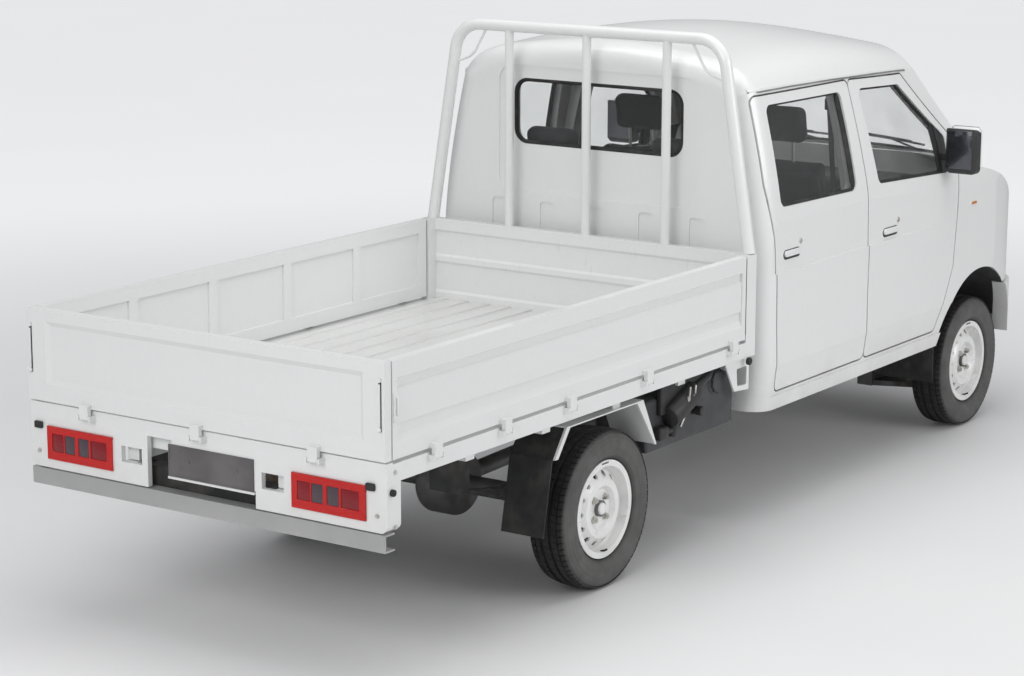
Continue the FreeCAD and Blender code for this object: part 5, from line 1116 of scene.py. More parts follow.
def evenly(loop, pitch):
    # The same closed path with points at an even pitch.
    lengths = [(loop[(i + 1) % len(loop)] - p).length for i, p in enumerate(loop)]
    count = max(12, int(sum(lengths) / pitch))
    step, points, travelled, i = sum(lengths) / count, [], 0.0, 0
    for k in range(count):
        while travelled + lengths[i] < k * step:
            travelled += lengths[i]
            i += 1
        share = (k * step - travelled) / max(lengths[i], 1e-9)
        points.append(loop[i].lerp(loop[(i + 1) % len(loop)], share))
    return points


rim = max(rims_of("glass_rear_left", (0, 1, 0)), key=len)
print("rim of the rear pane", round(sum((a - b).length for a, b in zip(rim, rim[1:] + rim[:1])), 3), "m")

# %% [markdown]
# ### A rubber for every pane
#
# The section stands at a right angle to the run at each point, and it is wider where the pane's
# edge faces ahead, which makes the sash.


# %% Sweeping the rubbers
def rubber_ring(bm, loop, outward, width, section):
    # Sweeps a section of (share of width, height) round a closed loop.
    outward = Vector(outward).normalized()
    middle = sum(loop, Vector()) / len(loop)
    rings = []
    for i, here in enumerate(loop):
        ahead = (loop[(i + 1) % len(loop)] - loop[i - 1]).normalized()
        inward = outward.cross(ahead).normalized()
        if inward.dot(middle - here) < 0:
            inward.negate()
        normal = ahead.cross(inward).normalized()
        if normal.dot(outward) < 0:
            normal.negate()
        w = width(inward) if callable(width) else width
        rings.append([bm.verts.new(here + inward * w * a + normal * b * MM) for a, b in section])
    made = []
    for i, first in enumerate(rings):
        second = rings[(i + 1) % len(rings)]
        for k in range(len(section)):
            j = (k + 1) % len(section)
            made.append(bm.faces.new((first[k], first[j], second[j], second[k])))
    bmesh.ops.recalc_face_normals(bm, faces=made)


RUBBER_SECTION = ((-0.05, -2), (-0.05, 7), (0.12, 9.5), (0.55, 9), (0.88, 4.5), (1.0, -0.5))
NARROW, SASH = 11 * MM, 30 * MM


def sash_width(inward):
    # Wide where the pane's edge faces forwards, narrow elsewhere.
    lean = max(0.0, min(1.0, (-inward.x - 0.55) / 0.25))
    return NARROW + (SASH - NARROW) * lean


for side, mark in ((1, "left"), (-1, "right")):
    for end in ("front", "rear"):
        door = f"door_{end}_{mark}"
        ring = bmesh.new()
        loops = rims_of(f"glass_{end}_{mark}", (0, side, 0))
        rubber_ring(ring, evenly(max(loops, key=len), 12 * MM), (0, side, 0), sash_width, RUBBER_SECTION)
        make_object(f"{door}_window_rubber", ring, rubber, door)
screen_rings = bmesh.new()
CAB_MIDDLE = station(3.4)
for direction in ((1, 0, 0.3), (-1, 0, 0)):
    for loop in rims_of("cab_glass", direction, 0.8):
        xs = [p.x for p in loop]
        forward_pane = sum(xs) / len(xs) > CAB_MIDDLE
        if len(loop) > 8 and forward_pane == (direction[0] > 0):
            rubber_ring(screen_rings, evenly(loop, 14 * MM), direction, 15 * MM, RUBBER_SECTION)
make_object("fixed_pane_rubbers", screen_rings, rubber, "chassis")
print("window rubbers", 4, "and both fixed panes")

# %% [markdown]
# ## Things set on the side skin
#
# Handles, locks and lamps are small pieces on a curved side. Each is drawn flat, with X forwards,
# Y up and Z out, and then set on the skin point that a ray finds, turned to the skin there.


# %% Placing on the skin
def seat_on_skin(bm, side, x, z, names):
    point, normal = side_skin(names, side, x, z)
    ahead = Vector((1, 0, 0))
    ahead = (ahead - normal * ahead.dot(normal)).normalized()
    up = normal.cross(ahead)
    if up.z < 0:
        up.negate()
    turn = Matrix((ahead, up, normal)).transposed().to_4x4()
    bmesh.ops.transform(bm, matrix=Matrix.Translation(point) @ turn, verts=bm.verts)
    bmesh.ops.recalc_face_normals(bm, faces=bm.faces)


def flat_oval(bm, half_long, half_high, low, high, rounding, steps=8):
    # A rounded bar seen from above: two half circles joined, pulled up along Z.
    straight = half_long - half_high
    points = []
    for end in (1, -1):
        for i in range(steps + 1):
            a = math.pi * (i / steps - 0.5) + (0 if end > 0 else math.pi)
            points.append((end * straight + half_high * math.cos(a), half_high * math.sin(a), low))
    before = set(bm.faces)
    closed_prism(bm, points, (0, 0, high - low))
    tops = [f for f in bm.faces if f not in before and f.calc_center_median().z > high - 1e-6]
    rims = {e for f in tops for e in f.edges}
    bmesh.ops.bevel(bm, geom=list(rims), offset=rounding, segments=3, affect="EDGES", profile=0.5)


# %% [markdown]
# ### Door handles and locks
#
# The handle is a flap in a shallow cup, painted with the door. The dark line seen under the flap is
# the shade in its gap, so the cup is black, as painted shade, and the flap white. The lock barrel sits ahead
# of it and a little higher. An amber repeater in a white rim sits on each front wing.

# %% Handles, locks and side repeaters
HANDLES = {"rear": (2.628, 1.069), "front": (3.475, 1.038)}
LOCK_AHEAD, LOCK_ABOVE = 0.072, 0.039
LOCK_SECTION = ((11, -2), (11, 2), (9.5, 3.2), (8, 3.2), (8, 2.4), (0, 2.4))
REPEATER = (4.271, 1.056)
for side, mark in ((1, "left"), (-1, "right")):
    for end, (x, z) in HANDLES.items():
        door = f"door_{end}_{mark}"
        cup, flap, lock = bmesh.new(), bmesh.new(), bmesh.new()
        flat_oval(cup, 68 * MM, 19 * MM, -3 * MM, 1.6 * MM, 1.0 * MM)
        flat_oval(flap, 63 * MM, 12 * MM, 1.0 * MM, 10 * MM, 3.0 * MM)
        bmesh.ops.translate(flap, vec=(0, 4 * MM, 0), verts=flap.verts)
        lathe(lock, (0, 0, 0), (0, 0, 1), in_mm(LOCK_SECTION), 24)
        plate(lock, -1 * MM, 1 * MM, -4.5 * MM, 4.5 * MM, 2.2 * MM, 2.9 * MM)
        for piece, finish, place, slot, label in (
            # The cup is black as painted shade for the gap under the flap.
            (cup, black_plastic, (x, z), "black_plastic", "handle_cup_shade"),
            (flap, white_paint, (x, z), "white_paint", "handle"),
            (lock, bright_zinc, (x + LOCK_AHEAD, z + LOCK_ABOVE), "wheel_silver", "lock"),
        ):
            seat_on_skin(piece, side, station(place[0]), place[1], (door,))
            make_object(f"{door}_{label}", piece, finish, door)
    lens, rim = bmesh.new(), bmesh.new()
    flat_oval(rim, 27 * MM, 9 * MM, -3 * MM, 3 * MM, 1.2 * MM)
    flat_oval(lens, 23 * MM, 6 * MM, 2 * MM, 7 * MM, 2.5 * MM)
    for piece, finish, slot, label in (
        (rim, white_paint, "white_paint", "rim"), (lens, lamp_amber, "lamp_red", "lens"),
    ):
        seat_on_skin(piece, side, station(REPEATER[0]), REPEATER[1], ("cab_body",))
        make_object(f"side_repeater_{label}_{mark}", piece, finish, "chassis")
print("handles", len(HANDLES) * 2)

# %% [markdown]
# ### Drip rails
#
# A folded gutter runs along each side of the roof above the doors. It shows as a thin dark line
# under a white lip, so it is two swept bands: a white lip, and below it a grey band of painted
# shade for the shadow under the lip.

# %% Drip rails
RAIL_PATH = ((2.455, 1.713), (2.75, 1.712), (3.10, 1.706), (3.48, 1.694), (3.72, 1.684), (3.855, 1.676))


def rail_points(side, drop, steps=6):
    points = []
    for (x0, z0), (x1, z1) in zip(RAIL_PATH, RAIL_PATH[1:]):
        for i in range(steps):
            share = i / steps
            x, z = x0 + (x1 - x0) * share, z0 + (z1 - z0) * share - drop
            points.append(side_skin(("cab_body",), side, station(x), z)[0])
    return points


drip_shade_grey = plastic_finish("drip_shade_grey", (0.24, 0.24, 0.235), 0.6, 200, 0.0002)
lips, drip_shade_band = bmesh.new(), bmesh.new()
for side in (1, -1):
    lean = Vector((0, side, 0.25))
    strip_along(lips, rail_points(side, 0), 9 * MM, 7 * MM, lean)
    # Painted shade: a grey band under the lip stands in for its shadow.
    strip_along(drip_shade_band, rail_points(side, 7.5 * MM), 6 * MM, 2.5 * MM, lean)
make_object("drip_rails", lips, white_paint, "chassis")
make_object("drip_rail_shade_line", drip_shade_band, drip_shade_grey, "chassis")
print("rail length", round(RAIL_PATH[-1][0] - RAIL_PATH[0][0], 3), "m")

# %% [markdown]
# ## Door mirrors
#
# The mirror is a black housing with a painted shell on its front. The glass sits in the rear face
# with a thin gap all round and is tinted against glare, which is why it looks dark.

# %% Mirror shells and glasses
MIRROR_WIDE, MIRROR_TALL, MIRROR_DEEP = 140 * MM, 190 * MM, 80 * MM
MIRROR_MIDDLE = station(3.994)
SHELL_PROUD = 1.6 * MM
dim_mirror = metal_finish("dim_mirror", (0.13, 0.135, 0.15), (0.10, 0.105, 0.12), 0.1, 0.85, 30, 0.0001)
for side, mark in ((1, "left"), (-1, "right")):
    low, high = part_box(f"mirror_{mark}")
    outer = high.y if side > 0 else low.y
    y0, y1 = sorted((outer - side * MIRROR_WIDE, outer))
    z0, z1 = high.z - MIRROR_TALL, high.z
    x0 = MIRROR_MIDDLE - MIRROR_DEEP / 2
    x1 = x0 + MIRROR_DEEP
    door = f"door_front_{mark}"
    shell, glass, ring = bmesh.new(), bmesh.new(), bmesh.new()
    # The shell is a little larger than the housing, but not past its outer face.
    right, left = (SHELL_PROUD, 0) if side > 0 else (0, SHELL_PROUD)
    plate(
        shell, x1 - 30 * MM, x1 + 3 * MM, y0 - right, y1 + left,
        z0 - SHELL_PROUD, z1 + SHELL_PROUD, 22 * MM, 5,
    )
    inset = 5 * MM
    plate(ring, x0 - 2.5 * MM, x0 + 12 * MM, y0 + inset, y1 - inset, z0 + inset, z1 - inset, 5.5 * MM, 3)
    inset = 12 * MM
    plate(glass, x0 - 4 * MM, x0 + 2 * MM, y0 + inset, y1 - inset, z0 + inset, z1 - inset, 2.6 * MM, 3)
    make_object(f"mirror_shell_{mark}", shell, white_paint, door, 50)
    make_object(f"mirror_rim_{mark}", ring, black_plastic, door, 50)
    make_object(f"mirror_glass_{mark}", glass, dim_mirror, door, 50)
print("mirrors", 2)

# %% [markdown]
# ## Fuel filler and small things under the bed
#
# The filler cap is a dark moulded cup with finger grips, made by the circle tree. Beside the tank
# hang a canister, a valve block and their bright clips, which fill the dark gap under the bed.

# %% Cap, canister and clips
FILLER = Vector((station(2190 * MM), -700 * MM, 628 * MM))
FILLER_SECTION = ((54, -6), (55, 1), (52, 5), (44, 6.5), (43, 15), (39, 19), (16, 21), (0, 21))
GRIP_COUNT = 10
out = Vector((0, -1, 0))
cap = bmesh.new()
lathe(cap, FILLER, out, in_mm(FILLER_SECTION), 40)
grip = bmesh.new()
place = FILLER + out * 6 * MM + Vector((0, 0, 43 * MM))
plate(
    grip, place.x - 4 * MM, place.x + 4 * MM, place.y - 10 * MM, place.y,
    place.z - 3 * MM, place.z + 4 * MM, 2 * MM, 2,
)
grips = repeated(grip, ROUND, tank_grey, GRIP_COUNT, 2 * math.pi / GRIP_COUNT, (0, 1, 0), FILLER)
make_object("filler_cap", merged(cap, grips), tank_grey, "chassis")

cluster, clips = bmesh.new(), bmesh.new()
CANISTER_SECTION = ((18, -104), (42, -98), (47, -86), (47, 76), (43, 88), (26, 94), (26, 108), (18, 112))
canister = Vector((station(1.895), -0.725, 0.600))
lathe(cluster, canister, (0.93, 0, 0.37), in_mm(CANISTER_SECTION), 36)
rod(cluster, (station(1.99), -0.722, 0.640), (station(2.10), -0.718, 0.668), 20 * MM, 20, 18 * MM, 3 * MM)
rod(cluster, (station(1.865), -0.722, 0.575), (station(1.845), -0.718, 0.480), 22 * MM, 20, 17 * MM, 4 * MM)
plate(cluster, station(1.735), station(1.80), -0.735, -0.695, 0.485, 0.535, 9 * MM, 3)
plate(cluster, station(1.76), station(2.07), -0.722, -0.695, 0.575, 0.705, 8 * MM, 3)
rod(cluster, (station(1.795), -0.718, 0.512), (station(1.86), -0.718, 0.505), 13 * MM, 20, 13 * MM, 2 * MM)
rod(cluster, (station(2.03), -0.74, 0.545), (station(2.03), -0.69, 0.545), 19 * MM, 20, 16 * MM, 3 * MM)
for x in (1.885, 1.925):
    rod(clips, (station(x), -0.764, 0.598), (station(x + 0.012), -0.764, 0.668), 4 * MM, 12, 4 * MM, 1 * MM)
    plate(clips, station(x) - 8 * MM, station(x) + 8 * MM, -0.768, -0.758, 0.612, 0.634, 2 * MM, 2)
rod(clips, (station(1.925), -0.705, 0.500), (station(1.975), -0.705, 0.558), 5 * MM, 12, 5 * MM, 1 * MM)
make_object("underbed_canister", cluster, black_plastic, "chassis")
make_object("underbed_clips", clips, bright_zinc, "chassis")
print("filler grips", GRIP_COUNT)

# %% [markdown]
# ## Linings
#
# Inside the cab the bare walls are covered: a pale headlining above, dark trim below the windows,
# and carpet on the floor. In the front arches a black moulded liner hides the painted steel. A
# lining has the shape of what it covers, so each one copies the faces of the solid that look the
# right way in the right region, moves them off the wall, and gives them thickness. The copy is
# first cut along the planes where the lining ends, so that its edges are straight.


# %% Copying a wall
def lining(name, solid, keep, offset, thickness, finish, body, cuts=()):
    bm = bmesh.new()
    bm.from_mesh(cad[solid].data)
    bmesh.ops.remove_doubles(bm, verts=bm.verts, dist=0.02 * MM)
    for axis, places in cuts:
        for place in places:
            plane = Vector([float(k == axis) for k in range(3)])
            bmesh.ops.bisect_plane(
                bm, geom=bm.verts[:] + bm.edges[:] + bm.faces[:], plane_co=plane * place, plane_no=plane,
            )
    bm.normal_update()
    unwanted = [f for f in bm.faces if not keep(f.calc_center_median(), f.normal)]
    bmesh.ops.delete(bm, geom=unwanted, context="FACES")
    bm.normal_update()
    shifts = {v: v.normal * offset for v in bm.verts}
    for vert, shift in shifts.items():
        vert.co += shift
    skin_faces = list(bm.faces)
    copies = bmesh.ops.duplicate(bm, geom=skin_faces)
    back = [g for g in copies["geom"] if isinstance(g, bmesh.types.BMFace)]
    twin = copies["vert_map"]
    rim = [e for e in {e for f in skin_faces for e in f.edges} if len(e.link_faces) == 1]
    for vert in {v for f in back for v in f.verts}:
        vert.co -= vert.normal * thickness
    bmesh.ops.reverse_faces(bm, faces=back)
    for edge in rim:
        a, b = edge.verts
        loop = edge.link_loops[0]
        if loop.vert is not a:
            a, b = b, a
        bm.faces.new((b, a, twin[a], twin[b]))
    return make_object(name, bm, finish, body, 40)


# %% Linings of the cab
ROOM_HALF, ROOM_REAR, ROOM_FRONT = 0.755, CAB_REAR + 12 * MM, station(4.22)
ROOM_FLOOR, ROOM_TOP, ROOM_MIDDLE = 0.49, 1.88, 1.15
TRIM_START, CARPET_END, TRIM_END = 0.52, 0.85, 1.30


def in_room(c):
    return ROOM_REAR < c.x < ROOM_FRONT and abs(c.y) < ROOM_HALF and ROOM_FLOOR < c.z < ROOM_TOP


def faces_room(c, n):
    # Looks towards the cab's middle. Away from both ends, only across and up or down count.
    between = ROOM_REAR + 0.2 < c.x < ROOM_FRONT - 0.2
    towards = Vector((0 if between else CAB_MIDDLE - c.x, -c.y, ROOM_MIDDLE - c.z))
    return in_room(c) and n.dot(towards.normalized()) > 0.25


ROOM_CUTS = (
    (0, (ROOM_REAR, ROOM_FRONT)), (1, (-ROOM_HALF, ROOM_HALF)), (2, (TRIM_START, CARPET_END, TRIM_END)),
)
carpet = cloth_finish("carpet", (0.028, 0.028, 0.030), (0.045, 0.045, 0.047), 300)
lining(
    "headlining", "cab_body", lambda c, n: faces_room(c, n) and c.z > TRIM_END, 2.5 * MM, 2 * MM,
    pale_trim, "chassis", ROOM_CUTS,
)
lining(
    "lower_trim", "cab_body", lambda c, n: faces_room(c, n) and TRIM_START < c.z <= TRIM_END and n.z < 0.6,
    2.5 * MM, 2 * MM, cabin_plastic, "chassis", ROOM_CUTS,
)
lining(
    "carpet", "cab_body", lambda c, n: in_room(c) and c.z < CARPET_END and n.z >= 0.5, 4 * MM, 3.5 * MM,
    carpet, "chassis", ROOM_CUTS,
)
print("cab linings", 3)

# %% Door cards
CARD_HALF, CARD_LOW, CARD_TOP = 0.76, 0.56, 1.225
DOOR_CUTS = ((1, (-CARD_HALF, CARD_HALF)), (2, (CARD_LOW, CARD_TOP)))


def inner(c, n, side):
    return n.y * side < -0.5 and abs(c.y) < CARD_HALF


for side, mark in ((1, "left"), (-1, "right")):
    for end in ("front", "rear"):
        door = f"door_{end}_{mark}"
        lining(
            f"{door}_card", door, lambda c, n: inner(c, n, side) and CARD_LOW < c.z < CARD_TOP,
            2.5 * MM, 2 * MM, cabin_plastic, door, DOOR_CUTS,
        )
        lining(
            f"{door}_frame_trim", door, lambda c, n: inner(c, n, side) and c.z >= CARD_TOP,
            1.5 * MM, 1 * MM, pale_trim, door, DOOR_CUTS,
        )
print("door linings", 8)

# %% Arch liners
FRONT_AXLE = station(4.46)
ARCH_CENTRE_X, ARCH_CENTRE_Z = FRONT_AXLE - 0.09, 0.33


ARCH_NEAR, ARCH_REACH, ARCH_FOOT = 0.36, 0.47, 0.40
ARCH_INNER, ARCH_WALL, ARCH_OUTER = 0.37, 0.45, 0.775


def in_arch(c, n):
    # The arch's inner end wall, and its round top, which looks back at the wheel's centre.
    radial = Vector((c.x - ARCH_CENTRE_X, 0, c.z - ARCH_CENTRE_Z))
    if not ARCH_INNER < abs(c.y) < ARCH_OUTER or radial.length > ARCH_REACH:
        return False
    wall = n.y * c.y > 0.25 and abs(c.y) < ARCH_WALL
    top = radial.length > ARCH_NEAR and c.z > ARCH_FOOT and n.dot(radial.normalized()) < -0.6
    return wall or top


ARCH_CUTS = (
    (1, (-ARCH_OUTER, -ARCH_WALL, -ARCH_INNER, ARCH_INNER, ARCH_WALL, ARCH_OUTER)), (2, (ARCH_FOOT,)),
)
lining(
    "arch_liners", "cab_body", in_arch, 2 * MM, 1.6 * MM,
    black_plastic, "chassis", ARCH_CUTS,
)
print("arch centre", round(ARCH_CENTRE_X, 3), ARCH_CENTRE_Z)

# %% [markdown]
# ## Seats
#
# The seats are foam pads in a stretched cloth cover: fat in the middle, pulled in at the corners
# and piped along the seams, in front of a moulded board. A pad starts as a rounded slab a little
# smaller than its space. Cloth simulation then blows it up from inside, which gives the soft crown
# that foam has.


# %% Padding by simulation
def slab(size, corner, cell):
    # A rounded box of small quads, which cloth can bend.
    bm = bmesh.new()
    plate(bm, -size[0] / 2, size[0] / 2, -size[1] / 2, size[1] / 2, -size[2] / 2, size[2] / 2, corner, 3)
    mesh = bpy.data.meshes.new("slab")
    bm.to_mesh(mesh)
    bm.free()
    holder = bpy.data.objects.new("slab", mesh)
    bpy.context.scene.collection.objects.link(holder)
    remesh = holder.modifiers.new("remesh", "REMESH")
    remesh.mode = "VOXEL"
    remesh.voxel_size = cell
    graph = bpy.context.evaluated_depsgraph_get()
    fine = bpy.data.meshes.new_from_object(holder.evaluated_get(graph), depsgraph=graph)
    holder.modifiers.clear()
    holder.data = fine
    return holder


CLOTH_FRAMES = 15
CHANNEL_WIDE, CHANNEL_DEEP = 9 * MM, 0.16


def puffed(size, corner, cell, swell, channels):
    # The shape of one pad, as a bmesh centred on the origin.
    holder = slab(size, corner, cell)
    start = [v.co.copy() for v in holder.data.vertices]
    half = Vector(size) / 2
    cloth = holder.modifiers.new("cloth", "CLOTH")
    cloth.settings.use_pressure = True
    cloth.settings.uniform_pressure_force = 4
    cloth.settings.effector_weights.gravity = 0
    cloth.settings.quality = 4
    scene = bpy.context.scene
    for number in range(1, CLOTH_FRAMES + 1):
        scene.frame_set(number)
    graph = bpy.context.evaluated_depsgraph_get()
    result = holder.evaluated_get(graph).to_mesh()
    moved = []
    for co, vert in zip(start, result.vertices):
        shift = vert.co - co
        moved.append(co + shift * min(1.0, swell / max(shift.length, 1e-9)))
    holder.evaluated_get(graph).to_mesh_clear()
    scene.frame_set(1)
    bm = bmesh.new()
    holder.modifiers.clear()
    for vert, co in zip(holder.data.vertices, moved):
        vert.co = co
    bm.from_mesh(holder.data)
    bpy.data.objects.remove(holder)
    for vert in bm.verts:
        # Sewn channels: shallow lines across the pad.
        for line in channels:
            near = math.exp(-((vert.co.x / half.x - line) * half.x / CHANNEL_WIDE) ** 2)
            vert.co.z *= 1 - CHANNEL_DEEP * near
    bmesh.ops.smooth_vert(bm, verts=bm.verts, factor=0.5, use_axis_x=True, use_axis_y=True, use_axis_z=True)
    return bm


print("cloth frames", CLOTH_FRAMES)

# %% [markdown]
# ### Copies, wire and piping
#
# A pad is copied to each seat and raked back there. The piping in its seams is a thin round wire
# whose points are drawn onto the pad's own skin, so it follows the crown.


# %% Copies, wire and piping
def settled(shape, centre, pitch):
    # A copy of a pad, turned about Y by its rake and put in its place.
    copy = shape.copy()
    turn = Matrix.Rotation(pitch, 4, "Y")
    bmesh.ops.transform(copy, matrix=Matrix.Translation(Vector(centre)) @ turn, verts=copy.verts)
    return copy


def wire(bm, points, radius, sides=8):
    # A round section swept along points, without twist.
    rings = []
    side = None
    for i, here in enumerate(points):
        ahead = (points[min(i + 1, len(points) - 1)] - points[max(i - 1, 0)]).normalized()
        side = ahead.orthogonal() if side is None else side - ahead * side.dot(ahead)
        side.normalize()
        other = ahead.cross(side)
        rings.append([
            bm.verts.new(here + (side * math.cos(a) + other * math.sin(a)) * radius)
            for a in (2 * math.pi * k / sides for k in range(sides))
        ])
    made = []
    for first, second in zip(rings, rings[1:]):
        for k in range(sides):
            j = (k + 1) % sides
            made.append(bm.faces.new((first[k], first[j], second[j], second[k])))
    made.append(bm.faces.new(rings[0]))
    made.append(bm.faces.new(rings[-1]))
    bmesh.ops.recalc_face_normals(bm, faces=made)


def piping(bm, pad, centre, size, pitch, face, radius=3.2 * MM):
    # The sewn cord round the seam of a pad: a rounded rectangle drawn onto the pad's own skin.
    turn = Matrix.Translation(Vector(centre)) @ Matrix.Rotation(pitch, 4, "Y")
    pad_skin = BVHTree.FromBMesh(pad)
    corner, points = 0.045, []
    for k, (sx, sy) in enumerate(((1, 1), (-1, 1), (-1, -1), (1, -1))):
        for i in range(5):
            a = math.pi / 2 * (k + i / 4)
            points.append(Vector((
                sx * (size[0] / 2 - corner) + corner * math.cos(a),
                sy * (size[1] / 2 - corner) + corner * math.sin(a),
                face * size[2] / 2,
            )))
    finer = []
    for here, ahead in zip(points, points[1:] + points[:1]):
        parts = max(1, round((ahead - here).length / 0.04))
        finer += [turn @ here.lerp(ahead, i / parts) for i in range(parts)]
    sewn = [pad_skin.find_nearest(point)[0] for point in finer]
    wire(bm, sewn + sewn[:1], radius)


# %% [markdown]
# The front pair and the bench share four pad shapes: a cushion and a back for each. Each shape is
# made once and copied, so the simulation stays short. The head restraints stand on two steel posts.

# %% Front seats and bench
SEAT_Y = 0.345
cushion_size, back_size = (0.44, 0.43, 0.115), (0.47, 0.41, 0.095)
bench_size, bench_back_size = (0.44, 0.585, 0.12), (0.46, 0.585, 0.10)
rest_size = (0.15, 0.23, 0.075)
CELL = 9 * MM
shapes = {
    "cushion": puffed(cushion_size, 0.035, CELL, 16 * MM, (-0.35, 0.3)),
    "back": puffed(back_size, 0.032, CELL, 14 * MM, (-0.4, 0.1)),
    "bench": puffed(bench_size, 0.035, CELL, 16 * MM, (-0.35, 0.3)),
    "bench_back": puffed(bench_back_size, 0.032, CELL, 14 * MM, (-0.4, 0.1)),
    "rest": puffed(rest_size, 0.028, CELL, 9 * MM, ()),
}
RAKE_ANGLE = 12
RAKE = math.radians(-90 - RAKE_ANGLE)
LEAN = math.tan(math.radians(RAKE_ANGLE))
REST_LEAN = LEAN * 0.62
CUSHION_START, BACK_START = 0.11, 0.135
ROOM_TO_SWELL = 12 * MM
print("pads", {key: len(shape.verts) for key, shape in shapes.items()})


# %% One seating place
def seat_place(name, y, rear, top, back_top, rest_top, shape, back_shape, size, back, replaced):
    # One seating place: cushion, back and head restraint, with piping, posts and a board.
    seat = Vector((rear + CUSHION_START + size[0] / 2, y, top - size[2] / 2 - ROOM_TO_SWELL))
    middle = (top + back_top) / 2 - ROOM_TO_SWELL
    back_place = Vector((rear + BACK_START - (middle - top) * LEAN * 0.55, y, middle))
    cushion = settled(shape, seat, 0)
    rest_back = settled(back_shape, back_place, RAKE)
    cord = bmesh.new()
    piping(cord, cushion, seat, size, 0, 1)
    piping(cord, rest_back, back_place, back, RAKE, -1)
    rest_place = Vector((back_place.x - (rest_top - 0.09 - middle) * REST_LEAN, y, rest_top - 0.085))
    pads = merged(cushion, rest_back, settled(shapes["rest"], rest_place, RAKE))
    pad = make_object(name + "_pads", pads, seat_cloth, "chassis", 60)
    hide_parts(replaced)
    make_object(name + "_piping", cord, black_plastic, "chassis", 60)
    board = bmesh.new()
    half_wide = back[1] / 2 - 12 * MM
    plate(
        board, -back[0] / 2 + 0.02, back[0] / 2 - 0.03, -half_wide, half_wide,
        0.0, back[2] / 2 + 15 * MM, 26 * MM, 4,
    )
    turn = Matrix.Translation(back_place) @ Matrix.Rotation(RAKE, 4, "Y")
    bmesh.ops.transform(board, matrix=turn, verts=board.verts)
    for arm_y in (y - half_wide * 0.75, y + half_wide * 0.75):
        plate(
            board, rear + 0.065, rear + 0.135, arm_y - 5 * MM, arm_y + 5 * MM,
            top - 0.16, top + 0.12, 3 * MM, 2,
        )
    make_object(name + "_board", board, cabin_plastic, "chassis", 50)
    posts = bmesh.new()
    post_x = back_place.x - (rest_top - 0.12 - middle) * REST_LEAN
    for post_y in (y - 0.055, y + 0.055):
        foot = Vector((back_place.x - 0.16 * LEAN, post_y, back_top - 0.10))
        rod(posts, foot, (post_x, post_y, rest_top - 0.12), 6 * MM, 12)
    make_object(name + "_posts", posts, bright_zinc, "chassis")


print("rake", RAKE_ANGLE, "degrees")

# %% All seats and their bases
for side, mark in ((1, "left"), (-1, "right")):
    seat_place(
        f"front_seat_{mark}", side * SEAT_Y, station(3.25), 0.85, 1.37, 1.56,
        shapes["cushion"], shapes["back"], cushion_size, back_size, "front_seats",
    )
    base = bmesh.new()
    x0, x1 = station(3.30), station(3.70)
    plate(base, x0, x1, side * SEAT_Y - 0.18, side * SEAT_Y + 0.18, 0.695, 0.738, 12 * MM, 3)
    for rail_y in (-0.15, 0.15):
        y = side * SEAT_Y + rail_y
        plate(base, x0 - 0.02, x1 + 0.03, y - 0.018, y + 0.018, 0.690, 0.705, 3 * MM, 2)
    make_object(f"front_seat_base_{mark}", base, cabin_plastic, "chassis")
    seat_place(
        f"bench_{mark}", side * 0.30, station(2.505), 0.80, 1.30, 1.50,
        shapes["bench"], shapes["bench_back"], bench_size, bench_back_size, "rear_bench",
    )
bench_base = bmesh.new()
plate(bench_base, station(2.55), station(2.97), -0.59, 0.59, 0.51, 0.682, 18 * MM, 3)
make_object("bench_base", bench_base, cabin_plastic, "chassis")
for shape in shapes.values():
    shape.free()
print("seats", 4)

# %% [markdown]
# ## Headlamps
#
# A headlamp is a clear shell over a silver bowl. The frame has it as one solid, so the scene takes
# its faces apart: those that look forwards and outwards become a thin clear lens, and the rest
# become the housing. Turned bowls, bulbs and an amber indicator go in between.


# %% Lenses, housings and bowls
def lamp_front(c, n):
    return n.x > 0.12 or (n.y * (1 if c.y > 0 else -1) > 0.5 and abs(c.y) > 0.55)


lamp_shell = lining(
    "headlamp_lenses", "headlamps", lamp_front, -0.4 * MM, 2.5 * MM, lamp_clear, "chassis",
)
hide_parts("headlamps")
bowl_silver = metal_finish("bowl_silver", (0.86, 0.86, 0.87), (0.80, 0.80, 0.81), 0.16, 0.95, 60, 0.0001)
housing_grey = plastic_finish("housing_grey", (0.20, 0.20, 0.21), 0.4, 400, 0.0003)
lining(
    "headlamp_housings", "headlamps", lambda c, n: not lamp_front(c, n), -3 * MM, 2 * MM,
    housing_grey, "chassis",
)
BOWL_SECTION = (
    (6, -34), (18, -32), (30, -25), (40, -12), (45, 2), (47, 2), (47, 0), (42, -14), (31, -28), (18, -35),
)
BOWL_DEEP = 0.72
bowls, bulbs, ambers = bmesh.new(), bmesh.new(), bmesh.new()
for side in (1, -1):
    for y, z, share in ((0.475, 0.803, 1.0), (0.585, 0.800, 0.92)):
        front, _ = front_skin(("headlamps",), side * y, z)
        place = front - Vector((24 * MM, 0, 0))
        bowl = [(radius * share, along * BOWL_DEEP) for radius, along in BOWL_SECTION]
        lathe(bowls, place, (1, 0, 0), in_mm(bowl), 36, True)
        socket, tip = (place - Vector((depth * MM, 0, 0)) for depth in (38, 6))
        rod(bulbs, socket, tip, 7 * MM, 16, 6 * MM, 2 * MM)
    front, _ = front_skin(("headlamps",), side * 0.665, 0.80)
    plate(ambers, front.x - 30 * MM, front.x - 14 * MM, side * 0.645, side * 0.690, 0.765, 0.845, 7 * MM, 3)
make_object("headlamp_bowls", bowls, bowl_silver, "chassis", 50)
make_object("headlamp_bulbs", bulbs, lamp_clear, "chassis")
make_object("front_indicators", ambers, lamp_amber, "chassis")
print("bowls", 4)

# %% [markdown]
# ## Grille, intake and fog lamps
#
# The grille's frame and bars come with the solid. Fine upright ribs behind them close the hole, and
# they are one rib repeated in a row. The intake's slats follow the bumper's curve, found by rays,
# with short uprights across them. A fog lamp sits beside the intake on each side.

